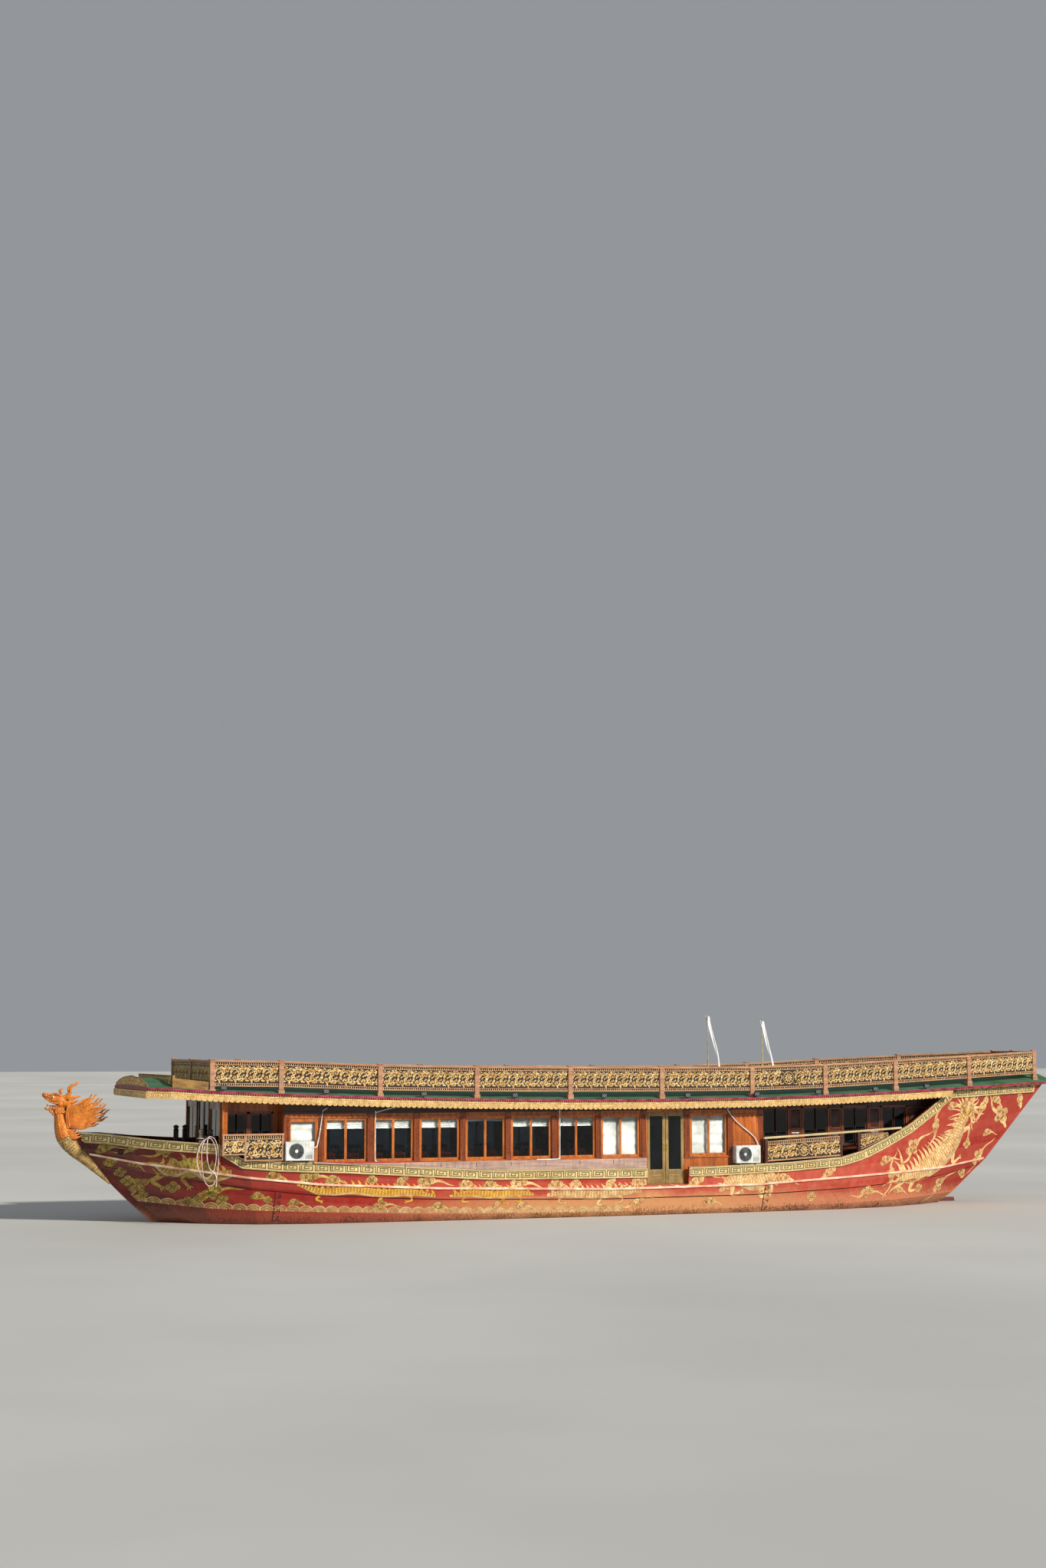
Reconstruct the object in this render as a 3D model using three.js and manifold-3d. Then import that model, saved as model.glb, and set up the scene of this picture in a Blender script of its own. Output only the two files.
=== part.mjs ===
// Wooden river passenger boat with a carved dragon figurehead, a glazed saloon and a railed roof deck.
// Millimetres. The bow points to -X, port is -Y, up is +Z. The origin is amidships on the waterline plane.
import * as THREE from 'three';
import { mergeVertices } from 'three/addons/utils/BufferGeometryUtils.js';
import Module from 'manifold-3d';

const wasm = await Module();
wasm.setup();

const GAP = 0.3; // between pieces that touch
const SIDES = [['port', -1], ['starboard', 1]];
const FAR = 30000; // past every end of the boat, for cutting bodies
const WIDE = 5000; // past either side
const WELD = 0.01; // vertices closer than this are one

const PAINT = {
  red: ['#b5362c', 0.45, 0],
  rawWood: ['#8d7f78', 0.8, 0],
  varnish: ['#8a4420', 0.35, 0],
  orangeWood: ['#c0691f', 0.35, 0],
  darkWood: ['#3a2016', 0.4, 0],
  gold: ['#d39a48', 0.5, 0],
  carvedOrange: ['#e08a2c', 0.5, 0],
  maroon: ['#7d1f35', 0.5, 0],
  green: ['#2c6b45', 0.7, 0],
  glass: ['#24313a', 0.05, 0],
  white: ['#e8e8e6', 0.5, 0],
  iron: ['#3b3d40', 0.5, 0.7],
  bronze: ['#a3803f', 0.35, 0.9],
  rope: ['#ddc9c6', 0.9, 0],
  cloth: ['#ece9f2', 0.9, 0],
};

const boat = new THREE.Group();

// Geometry helpers

function toSolid(geometry) {
  const bare = geometry.clone();
  bare.deleteAttribute('normal');
  bare.deleteAttribute('uv');
  const welded = mergeVertices(bare, WELD);
  return new wasm.Manifold(new wasm.Mesh({
    numProp: 3,
    vertProperties: new Float32Array(welded.attributes.position.array),
    triVerts: new Uint32Array(welded.index.array),
  }));
}

function toGeometry(solid) {
  const mesh = solid.getMesh();
  const geometry = new THREE.BufferGeometry();
  geometry.setAttribute('position', new THREE.Float32BufferAttribute(mesh.vertProperties, 3));
  geometry.setIndex(Array.from(mesh.triVerts));
  geometry.computeVertexNormals();
  return geometry;
}

function mirrored(geometry) {
  const twin = geometry.clone().scale(1, -1, 1);
  const corners = twin.index.array;
  for (let i = 0; i < corners.length; i += 3) {
    [corners[i], corners[i + 1]] = [corners[i + 1], corners[i]];
  }
  return twin;
}

function add(name, shape, [color, roughness, metalness]) {
  const geometry = shape.isBufferGeometry ? shape : toGeometry(shape);
  const mesh = new THREE.Mesh(geometry, new THREE.MeshStandardMaterial({ color, roughness, metalness }));
  mesh.name = name;
  boat.add(mesh);
}

// Makes the port piece and its mirror image.
function addPair(name, shape, paint) {
  const geometry = shape.isBufferGeometry ? shape : toGeometry(shape);
  add(`${name}_port`, geometry, paint);
  add(`${name}_starboard`, mirrored(geometry), paint);
}

function box([x0, x1], [y0, y1], [z0, z1]) {
  const geometry = new THREE.BoxGeometry(x1 - x0, y1 - y0, z1 - z0);
  return toSolid(geometry.translate((x0 + x1) / 2, (y0 + y1) / 2, (z0 + z1) / 2));
}

function joined(solids) {
  return solids.reduce((all, solid) => all.add(solid));
}

function cutBy(solid, tools) {
  return tools.reduce((rest, tool) => rest.subtract(tool), solid);
}

// Triangles that close a ring: a fan, or rungs across a ring whose second half mirrors its first.
const fan = (count) => Array.from({ length: count - 2 }, (_, i) => [0, i + 1, i + 2]);
const rungs = (count) => Array.from({ length: count / 2 - 1 }, (_, i) => [
  [i, i + 1, count - 2 - i], [i, count - 2 - i, count - 1 - i]]).flat();

// A solid through rings of points, each ring in the same order. Rings closed by rungs have both halves
// split into triangles alike, so that port and starboard are true mirror images.
function loft(rings, closing = fan) {
  const count = rings[0].length;
  const last = (rings.length - 1) * count;
  const faces = [];
  for (let r = 0; r < rings.length - 1; r += 1) {
    for (let i = 0; i < count; i += 1) {
      const a = r * count + i;
      const b = r * count + ((i + 1) % count);
      const second = closing === rungs && i >= count / 2;
      if (second) faces.push([a, b, b + count], [a, b + count, a + count]);
      else faces.push([a, b, a + count], [b, b + count, a + count]);
    }
  }
  for (const [a, b, c] of closing(count)) faces.push([a, c, b], [last + a, last + b, last + c]);
  const geometry = new THREE.BufferGeometry();
  geometry.setAttribute('position', new THREE.Float32BufferAttribute(rings.flat(2), 3));
  geometry.setIndex(faces.flat());
  const solid = toSolid(geometry);
  if (solid.volume() > 0) return solid;
  geometry.setIndex(faces.map(([a, b, c]) => [b, a, c]).flat());
  return toSolid(geometry);
}

// Drops the points of an outline that lie on a straight run.
function corners(outline) {
  return outline.filter(([x, z], i) => {
    const [px, pz] = outline[(i + outline.length - 1) % outline.length];
    const [nx, nz] = outline[(i + 1) % outline.length];
    return Math.abs((x - px) * (nz - z) - (z - pz) * (nx - x)) > 1;
  });
}

// A side view outline in X and Z, as a slab between two values of Y.
function slab(outline, [y0, y1]) {
  const shape = new THREE.Shape(corners(outline).map(([x, z]) => new THREE.Vector2(x, z)));
  const geometry = new THREE.ExtrudeGeometry(shape, { depth: y1 - y0, bevelEnabled: false });
  return toSolid(geometry.rotateX(Math.PI / 2).translate(0, y1, 0));
}

// A tapered limb: path rows are [x, y, z, half width, half height], round or flattened, with blunt ends.
function limb(path, sides = 8) {
  const centres = path.map(([x, y, z]) => new THREE.Vector3(x, y, z));
  const rings = path.map(([, , , wide, high], i) => {
    const along = centres[Math.min(i + 1, path.length - 1)].clone().sub(centres[Math.max(i - 1, 0)]).normalize();
    const side = new THREE.Vector3(0, 1, 0);
    side.addScaledVector(along, -side.dot(along)).normalize();
    const over = along.clone().cross(side);
    return Array.from({ length: sides }, (_, k) => {
      const turn = (2 * Math.PI * (k + 0.5)) / sides;
      const point = centres[i].clone().addScaledVector(side, wide * Math.cos(turn));
      return point.addScaledVector(over, high * Math.sin(turn)).toArray();
    });
  });
  return loft(rings);
}

// A straight rail between two points, upright in section: width across, height up from the points.
function rail(from, to, width, [low, high]) {
  const along = new THREE.Vector2(to[0] - from[0], to[1] - from[1]).normalize();
  const across = [-along.y * width / 2, along.x * width / 2];
  const ring = ([x, y, z]) => [
    [x - across[0], y - across[1], z + low], [x + across[0], y + across[1], z + low],
    [x + across[0], y + across[1], z + high], [x - across[0], y - across[1], z + high],
  ];
  return loft([ring(from), ring(to)]);
}

// Straight-line reading of a table of [x, value] rows.
function read(table, x) {
  const next = table.findIndex(([at]) => at >= x);
  if (next <= 0) return table[next === 0 ? 0 : table.length - 1][1];
  const [x0, v0] = table[next - 1];
  const [x1, v1] = table[next];
  return v0 + ((v1 - v0) * (x - x0)) / (x1 - x0);
}

// Side walls of the house stand on the deck inside the planking
const WALL_Y = 2300; // their inner face
const WALL_THICK = 60;

// Hull form

const HULL_TOP = 3700; // the lofted form goes on up to here and is cut back to the sheer
const WALL = 70; // side planking with its frames
const LAP = 30; // the upper strake of planking laps the lower one by this much
const TRANSOM = 80;

// Sections from stem to transom. x0 and x3 are the section plane's X at z 0 and at z 3000, bow is how far
// it curves aft or forward per square metre, then [half breadth, height] of keel side, bilge, chine, the
// lap line, the rub strake, and the half breadth at HULL_TOP.
const SECTIONS = [
  { x0: -12150, x3: -14760, bow: -110,
    keel: [20, -120], bilge: [30, -90], chine: [60, 550], lap: [60, 1520], strake: [70, 1830], top: 100 },
  { x0: -11600, x3: -13600, bow: -50,
    keel: [40, -330], bilge: [350, -220], chine: [640, 500], lap: [860, 1340], strake: [1010, 1610], top: 1520 },
  { x0: -10900, x3: -12400, bow: 0,
    keel: [60, -450], bilge: [950, -330], chine: [1320, 440], lap: [1560, 1190], strake: [1740, 1460], top: 2240 },
  { x0: -9800, x3: -10600, bow: 0,
    keel: [60, -500], bilge: [1500, -380], chine: [1920, 370], lap: [2120, 960], strake: [2260, 1250], top: 2600 },
  { x0: -8200, x3: -8300, bow: 0,
    keel: [60, -500], bilge: [1800, -400], chine: [2190, 290], lap: [2340, 760], strake: [2450, 1050], top: 2700 },
  { x0: -5000, x3: -5000, bow: 0,
    keel: [60, -500], bilge: [1900, -400], chine: [2280, 180], lap: [2410, 600], strake: [2500, 890], top: 2680 },
  { x0: 0, x3: 0, bow: 0,
    keel: [60, -500], bilge: [1950, -400], chine: [2300, 120], lap: [2430, 500], strake: [2520, 765], top: 2680 },
  { x0: 4500, x3: 4500, bow: 0,
    keel: [60, -500], bilge: [1900, -400], chine: [2260, 140], lap: [2400, 520], strake: [2500, 800], top: 2680 },
  { x0: 7500, x3: 7600, bow: 0,
    keel: [60, -480], bilge: [1700, -370], chine: [2110, 180], lap: [2270, 630], strake: [2380, 950], top: 2620 },
  { x0: 9300, x3: 9700, bow: 0,
    keel: [60, -400], bilge: [1350, -290], chine: [1770, 220], lap: [1960, 740], strake: [2080, 1040], top: 2420 },
  { x0: 10500, x3: 11900, bow: 0,
    keel: [50, -250], bilge: [900, -150], chine: [1300, 270], lap: [1500, 870], strake: [1620, 1120], top: 2060 },
  { x0: 11420, x3: 14375, bow: 55,
    keel: [30, -60], bilge: [450, -20], chine: [700, 320], lap: [850, 1110], strake: [930, 1320], top: 1150 },
];

function planeX(section, z) {
  return section.x0 + ((section.x3 - section.x0) * z) / 3000 + (section.bow * z * (3000 - z)) / 1e6;
}

function sectionRing(section, out, shift) {
  const half = [
    section.keel, section.bilge, section.chine, section.lap,
    [section.lap[0] + LAP, section.lap[1] + 4], section.strake, [section.top, HULL_TOP],
  ].map(([y, z]) => [Math.max(y + out, 15), z]);
  const port = half.map(([y, z]) => [planeX(section, z) + shift, -y, z]);
  const starboard = half.map(([y, z]) => [planeX(section, z) + shift, y, z]).reverse();
  return [...port, ...starboard];
}

// The hull's form, its sides moved out by `out`, its stem by `bowShift` along X, and its stern drawn out
// along its own lines by a share of the last bay.
function hullForm(out = 0, bowShift = 0, sternShare = 0) {
  const rings = SECTIONS.map((section, i) => sectionRing(section, out, i === 0 ? bowShift : 0));
  if (sternShare > 0) {
    const [before, last] = rings.slice(-2);
    rings.push(last.map((point, i) => point.map((v, axis) => v + (v - before[i][axis]) * sternShare)));
  }
  return loft(rings, rungs);
}

// Decks: the foredeck, the sunk saloon floor and the stern deck.
const FLOOR = 850;
const FOREDECK = 1550;
const STERN_DECK = 1550;
const FLOOR_FRONT = -10950;
const FLOOR_BACK = 10660;
const DECK_LINE = [[-FAR, FOREDECK], [FLOOR_FRONT, FOREDECK], [FLOOR_FRONT, FLOOR],
  [FLOOR_BACK, FLOOR], [FLOOR_BACK, STERN_DECK], [FAR, STERN_DECK]];

// Eave line of the roof, at the rail posts and the two ends: [x, z of the eave, half width of the eave].
const ROOF = [
  [-12900, 3600, 2480], [-12300, 3585, 2700], [-11270, 3515, 2780], [-9430, 3430, 2780], [-6720, 3335, 2780],
  [-3990, 3265, 2780], [-1270, 3222, 2780], [1480, 3210, 2780], [4280, 3232, 2780], [6620, 3290, 2760],
  [8980, 3380, 2660], [11690, 3500, 2270], [14580, 3610, 1370], [15150, 3632, 1150],
];
const CEILING_DROP = 40;
const CEILING = ROOF.map(([x, z]) => [x, z - CEILING_DROP]);

// Sheer: top edge of the carved band along the hull's side.
const SHEER = [
  [-15200, 2450], [-14490, 2420], [-13670, 2385], [-12620, 2260], [-11730, 2190], [-10970, 2140],
  [-10370, 1765], [-9300, 1670], [-7560, 1600], [-3500, 1350], [1060, 1320], [3000, 1330], [5540, 1410],
  [7200, 1520], [7900, 1690], [8700, 2010], [9500, 2400], [10230, 2830], [10900, 3330], [11100, 3700], [FAR, 3700],
];
const BAND = 270; // height of the band
const BAND_PROUD = 26;
const DOOR_GAP = [1060, 2330]; // boarding gap in the ship's side
const SILL = 70;

const UP = 9000;
const DOWN = -3000;
const above = (line) => slab([...line, [FAR, UP], [-FAR, UP]], [-WIDE, WIDE]);
const below = (line) => slab([...line, [FAR, DOWN], [-FAR, DOWN]], [-WIDE, WIDE]);
const moved = (line, up) => line.map(([x, z]) => [x, z + up]);
const toEnds = (line) => [[-FAR, line[0][1]], ...line, [FAR, line[line.length - 1][1]]];

const outer = hullForm();
const aboveSheer = above(toEnds(SHEER));
const aboveCeiling = above(toEnds(moved(CEILING, -GAP)));

// Engine pocket and rudder trunk in the hull
const ENGINE = { x: [6450, 7850], y: [-420, 420], z: [-240, 560] };
const POCKET = { x: [6300, 8000], y: [-560, 560], floor: -240 };
const HATCH_THICK = 60;
const HATCH_LIP = 60;
const RUDDER_X = 11900;
const STOCK_R = 38;
const TRUNK_R = 46;
const TILLER_Z = [STERN_DECK + 260, STERN_DECK + 330];

function cylinder(radius, low, high, sides = 16) {
  const geometry = new THREE.CylinderGeometry(radius, radius, high - low, sides);
  return toSolid(geometry.rotateX(Math.PI / 2).translate(0, 0, (low + high) / 2));
}

const HATCH = {
  x: [POCKET.x[0] - HATCH_LIP, POCKET.x[1] + HATCH_LIP],
  y: [POCKET.y[0] - HATCH_LIP, POCKET.y[1] + HATCH_LIP],
};
const HATCH_CLEAR = 6;
const trunk = () => cylinder(TRUNK_R, -1000, STERN_DECK + 100).translate(RUDDER_X, 0, 0);

// The planking is thicker at the stem, and its inner face runs on aft past the transom.
const STEM_WALL = 350;
const STERN_RUN = 0.3;

function makeHull() {
  const sideSlot = hullForm(300, -400, 0.2).subtract(hullForm(-WALL - GAP, STEM_WALL, STERN_RUN))
    .intersect(above(moved(DECK_LINE, -SILL - GAP))).subtract(box(DOOR_GAP, [-WIDE, WIDE], [DOWN, UP]));
  const body = outer.intersect(below(DECK_LINE)).subtract(sideSlot);
  const pocket = box(POCKET.x, POCKET.y, [POCKET.floor, FLOOR + 100]);
  const rebate = box([HATCH.x[0] - HATCH_CLEAR, HATCH.x[1] + HATCH_CLEAR],
    [HATCH.y[0] - HATCH_CLEAR, HATCH.y[1] + HATCH_CLEAR], [FLOOR - HATCH_THICK - GAP, FLOOR + 100]);
  add('hull_body', cutBy(body, [pocket, rebate, trunk()]), PAINT.red);
}

const BAND_ROOT = 130; // the band starts this far from the centreline, clear of the stem
const portOf = (y) => box([-FAR, FAR], [-WIDE, y], [DOWN, UP]);

// The band's lower edge keeps the same distance from the sheer on its steep run at the stern.
const SHEER_HIGH = SHEER.filter(([x]) => x < 11000).map(([x, z]) => [x, Math.min(z, read(CEILING, x))]);
const BAND_LOW = SHEER_HIGH.map(([x, z], i) => {
  const [px, pz] = SHEER_HIGH[Math.max(i - 1, 0)];
  const [nx, nz] = SHEER_HIGH[Math.min(i + 1, SHEER_HIGH.length - 1)];
  const run = Math.hypot(nx - px, nz - pz);
  const lean = x > 8000 && x < 10900 ? (nz - pz) / run : 0;
  return [x + BAND * lean, z - BAND * Math.sqrt(1 - lean * lean)];
});
const BAND_END = [[11400, read(CEILING, 11400) - BAND], [15200, read(CEILING, 15200) - BAND]];

// The side planking with its carved band, which stands proud along the sheer. The bow bulwark ends at the
// cabin's front, and the boarding gap parts the two topsides. A covering board caps the fore one.
function makeTopsides() {
  const deckUp = above(moved(DECK_LINE, -SILL));
  const shell = outer.subtract(hullForm(-WALL, STEM_WALL, STERN_RUN)).intersect(deckUp);
  const band = hullForm(BAND_PROUD, -BAND_PROUD).subtract(hullForm(-1, 1))
    .intersect(above(toEnds([...BAND_LOW, ...BAND_END]))).intersect(portOf(-BAND_ROOT));
  const whole = cutBy(shell.add(band), [aboveSheer, aboveCeiling]).intersect(portOf(-GAP / 2));
  const part = (from, to) => whole.intersect(box([from, to], [-WIDE, WIDE], [DOWN, UP]));
  addPair('bow_bulwark', part(-FAR, FLOOR_FRONT), PAINT.red);
  addPair('topside_fore', part(FLOOR_FRONT + GAP, DOOR_GAP[0] - GAP).add(coveringBoard()), PAINT.red);
  addPair('topside_aft', part(DOOR_GAP[1] + GAP, FAR), PAINT.red);
}

// Covering board between the saloon wall and the band
const LEDGE = { x: [-8520, 1040], y: [-2575, -WALL_Y - WALL_THICK - GAP], top: 1585, rise: 60 };

function coveringBoard() {
  const high = LEDGE.top + LEDGE.rise;
  return box(LEDGE.x, LEDGE.y, [FLOOR, high]).intersect(above(toEnds(moved(SHEER, -1))))
    .intersect(below([[-FAR, high], [LEDGE.x[0], high], [-3500, LEDGE.top], [FAR, LEDGE.top]]));
}

const STRAKE_PROUD = 35;
const STRAKE_HIGH = 55;
const STRAKE_ROOT = 100;
const STRAKE_LINE = SECTIONS.map((section) => [planeX(section, section.strake[1]), section.strake[1]]);

function makeStrakes() {
  const strip = hullForm(STRAKE_PROUD, -STRAKE_PROUD).subtract(hullForm(GAP, -GAP))
    .intersect(above(toEnds(moved(STRAKE_LINE, -STRAKE_HIGH / 2))))
    .intersect(below(toEnds(moved(STRAKE_LINE, STRAKE_HIGH / 2))));
  addPair('rub_strake', strip.intersect(portOf(-STRAKE_ROOT)), PAINT.red);
}

function makeTransom() {
  const end = SECTIONS[SECTIONS.length - 1];
  const board = loft([sectionRing(end, 0, GAP), sectionRing(end, 0, TRANSOM)], rungs);
  add('transom', cutBy(board, [aboveCeiling, trunk()]), PAINT.red);
}

// Stem, keel and skeg
const KEEL_HALF = 60;
const KEEL_DEEP = 110;
const STEM_DEEP = 130;
const STEM_LEVELS = [-230, 150, 400, 700, 1000, 1300, 1600, 1900, 2150, 2380];
const PROP = { x: 11250, z: -470, r: 245 };
const SKEG_END = 10900;
const SHOE = [-860, -790];
const SHOE_END = 12050;
const SHAFT_R = 35;

function makeKeel() {
  const under = SECTIONS.slice(0, -1).map((section) => [planeX(section, section.keel[1]), section.keel[1] - GAP]);
  const bottom = under.map(([x, z]) => [x, z - KEEL_DEEP]).reverse();
  const bar = slab([...under, ...bottom], [-KEEL_HALF, KEEL_HALF]);
  const endZ = read(under, SKEG_END) - GAP;
  const log = [PROP.z - 60, PROP.z + 60]; // the shaft's bearing
  const skeg = slab([[8600, -560], [9300, -450], [10400, -290], [SKEG_END - 500, -268], [SKEG_END - 500, log[1]],
    [SKEG_END, log[1]], [SKEG_END, log[0]], [SKEG_END - 250, log[0]], [SKEG_END - 250, SHOE[1]],
    [SHOE_END, SHOE[1]], [SHOE_END, SHOE[0]], [9900, SHOE[0]], [8600, -600]], [-KEEL_HALF + 5, KEEL_HALF - 5]);
  const back = STEM_LEVELS.map((z) => [planeX(SECTIONS[0], z) - GAP, z]);
  const front = STEM_LEVELS.map((z) => [planeX(SECTIONS[0], z) - STEM_DEEP, z]).reverse();
  const stem = slab([...back, ...front], [-KEEL_HALF, KEEL_HALF]);
  const foot = slab([[-12300, -230], [-11500, -420], [-11500, -350], [-12130, -130], [-12250, -130]],
    [-KEEL_HALF, KEEL_HALF]);
  const timbers = joined([bar, skeg.subtract(above([[-FAR, endZ], [FAR, endZ]])), stem, foot]);
  add('keel_and_stem', timbers.subtract(hullForm(GAP, -GAP)), PAINT.red);
}

function makeEngine() {
  add('engine', box(ENGINE.x, ENGINE.y, [POCKET.floor + GAP, ENGINE.z[1]]), PAINT.iron);
  add('engine_hatch', box(HATCH.x, HATCH.y, [FLOOR - HATCH_THICK, FLOOR]), PAINT.darkWood);
}

// Blade sections: [radius, half chord, half thickness, twist in radians]
const BLADE = [[40, 75, 12, 0.83], [120, 100, 10, 0.68], [190, 85, 8, 0.55], [PROP.r, 40, 6, 0.45]];

function makePropeller() {
  const hub = cylinder(60, -90, 90, 12);
  const shaft = cylinder(SHAFT_R, -(PROP.x - SKEG_END - GAP), 0, 12);
  const blade = loft(BLADE.map(([r, half, thick, twist]) => {
    const [c, s] = [Math.cos(twist), Math.sin(twist)];
    return [[-half, -thick], [half, -thick], [half, thick], [-half, thick]].map(
      ([a, b]) => [a * c - b * s, r, a * s + b * c]);
  }));
  const blades = [0, 120, 240].map((turn) => blade.rotate([0, 0, turn]));
  const geometry = toGeometry(joined([hub, shaft, ...blades]));
  geometry.rotateY(Math.PI / 2).translate(PROP.x, 0, PROP.z);
  add('propeller', geometry, PAINT.bronze);
}

function makeRudder() {
  const low = SHOE[1] + 40;
  const plate = slab([[RUDDER_X - 180, low], [RUDDER_X + 520, low], [RUDDER_X + 560, -350],
    [RUDDER_X + 430, 120], [RUDDER_X + 60, 120], [RUDDER_X - 180, -20]], [-22, 22]);
  const stock = cylinder(STOCK_R, SHOE[1] + GAP, TILLER_Z[1]).translate(RUDDER_X, 0, 0);
  const tiller = box([RUDDER_X - 900, RUDDER_X + 60], [-STOCK_R, STOCK_R], TILLER_Z);
  add('rudder', joined([plate, stock, tiller]), PAINT.iron);
}

// Carved dragon figurehead on the stem
const NECK = [
  // x, y, z, half width, half height
  [-13560, 0, 1050, 60, 45], [-13800, 0, 1330, 95, 85], [-14150, 0, 1680, 140, 135], [-14420, 0, 1980, 185, 185],
  [-14640, 0, 2280, 215, 225], [-14720, 0, 2560, 205, 215], [-14780, 0, 2800, 150, 165],
  [-14830, 0, 2960, 125, 140], [-14850, 0, 3110, 100, 110],
];
const HEAD = [
  [-14560, 0, 3170, 90, 110], [-14680, 0, 3200, 150, 190], [-14850, 0, 3220, 165, 200], [-15000, 0, 3260, 130, 140],
  [-15150, 0, 3340, 95, 85], [-15260, 0, 3400, 60, 50],
];
const JAW = [
  [-14900, 0, 3150, 110, 60], [-14980, 0, 3060, 95, 45], [-15130, 0, 3020, 60, 30], [-15200, 0, 3050, 30, 22],
];
const HORN = [
  [-14700, 80, 3330, 50, 50], [-14560, 130, 3420, 42, 42], [-14560, 160, 3560, 34, 34],
  [-14440, 175, 3660, 26, 26], [-14330, 185, 3760, 14, 14],
];
const HORN_SHORT = [[-14820, 70, 3360, 40, 40], [-14760, 95, 3480, 30, 30], [-14690, 105, 3560, 14, 14]];
const NAPE = [[-14620, 3180], [-14480, 3260], [-14330, 3420], [-14250, 3360], [-14330, 3120], [-14480, 3020]];
const MANE_ROOT = [-14620, 150];
const MANE_EDGE = [[-14640, 165, 2560, 45, 60], [-14620, 170, 2850, 50, 110], [-14600, 160, 3120, 45, 70]];
// Flame strands of a mane fin: [root z, tip x, tip z, thickness]
const STRANDS = [
  [3080, -13870, 3420, 80], [3000, -13700, 3300, 80], [2900, -13580, 3170, 85], [2800, -13520, 3010, 85],
  [2690, -13560, 2800, 80], [2600, -13800, 2620, 75],
];

// A strand bows outwards on its way from the root to the tip.
function strandPath([rootZ, tipX, tipZ, thick]) {
  const [x, y] = MANE_ROOT;
  const mid = (x + tipX) / 2;
  const lift = tipZ - rootZ;
  return [
    [x, y + 10, rootZ, 40, thick], [mid, y + 120, rootZ + lift * 0.3, 42, thick * 1.1],
    [mid + 250, y + 160, rootZ + lift * 0.75 - 30, 32, thick * 0.7], [tipX, y + 150, tipZ, 12, 14],
  ];
}

function makeDragon() {
  const stemTop = STEM_LEVELS[STEM_LEVELS.length - 1];
  const stemCut = slab([...STEM_LEVELS.map((z) => [planeX(SECTIONS[0], z) - STEM_DEEP - GAP, z]),
    [FAR, stemTop], [FAR, STEM_LEVELS[0]]], [-KEEL_HALF - GAP, KEEL_HALF + GAP]);
  const hullCut = hullForm(BAND_PROUD + GAP, -BAND_PROUD - GAP)
    .subtract(above([[-FAR, stemTop + 60], [FAR, stemTop + 60]]));
  add('dragon_neck', cutBy(limb(NECK, 10), [stemCut, hullCut]), PAINT.carvedOrange);
  const grown = (path) => path.map(([x, y, z, a, b]) => [x, y, z, a + GAP, b + GAP]);
  const onSide = (path, s) => path.map(([x, y, z, a, b]) => [x, s * y, z, a, b]);
  const [x, y, z, a, b] = NECK[NECK.length - 1];
  const neckCut = limb(grown([...NECK.slice(0, -1), [x, y, z + 2 * GAP, a, b]]), 10);
  const horns = [1, -1].flatMap((s) => [HORN, HORN_SHORT].map((row) => limb(onSide(row, s), 6)));
  const head = joined([limb(HEAD, 10), limb(JAW, 8), ...horns, slab(NAPE, [-30, 30])]).subtract(neckCut);
  add('dragon_head', head, PAINT.carvedOrange);
  const seats = [limb(grown(HEAD), 10), limb(grown(JAW), 8), neckCut];
  for (const [side, s] of SIDES) {
    const strands = STRANDS.map((row) => limb(onSide(strandPath(row), s), 6));
    const edge = limb(onSide(MANE_EDGE, s), 6);
    add(`dragon_mane_${side}`, cutBy(joined([...strands, edge]), seats), PAINT.carvedOrange);
  }
}

// Saloon walls

const LOBBY_Y = 1700; // the side wall steps in beside the fore and aft galleries
const HOUSE_Y = 1560;
const FRONT_X = -10940;
const SALOON = [-9290, 4740];
const HOUSE_END = 10600;
const SIDE_TOP = 3700;
const WINDOW_Z = [1620, 2790];
const PILASTER = 160;
// Window bays between pilaster centres, [from, to]
const BAYS = [[-9260, -8250], [-8250, -6910], [-6910, -5610], [-5610, -4300], [-4300, -2990], [-2990, -1640],
  [-1640, -330], [-330, 1010], [2380, 3700]];
const DOOR = { x: [1140, 2260], z: [FLOOR + 30, 2840] };
const DOOR_THICK = 40;
const LEAF_CLEAR = 6;
const PASSAGE = 840; // way through the saloon's aft wall, between its port and starboard halves
const PASSAGE_TOP = 2850;
const LOBBY_WINDOWS = [[-10700, -10150], [-10050, -9480]];
const THROUGH_SIDE = [-3000, -2000];
const HOUSE_WINDOWS = [[5100, 5900], [6400, 7200], [7700, 8500], [9000, 9800]];

const inside = hullForm(-WALL - GAP, STEM_WALL); // room between the ship's sides

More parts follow.
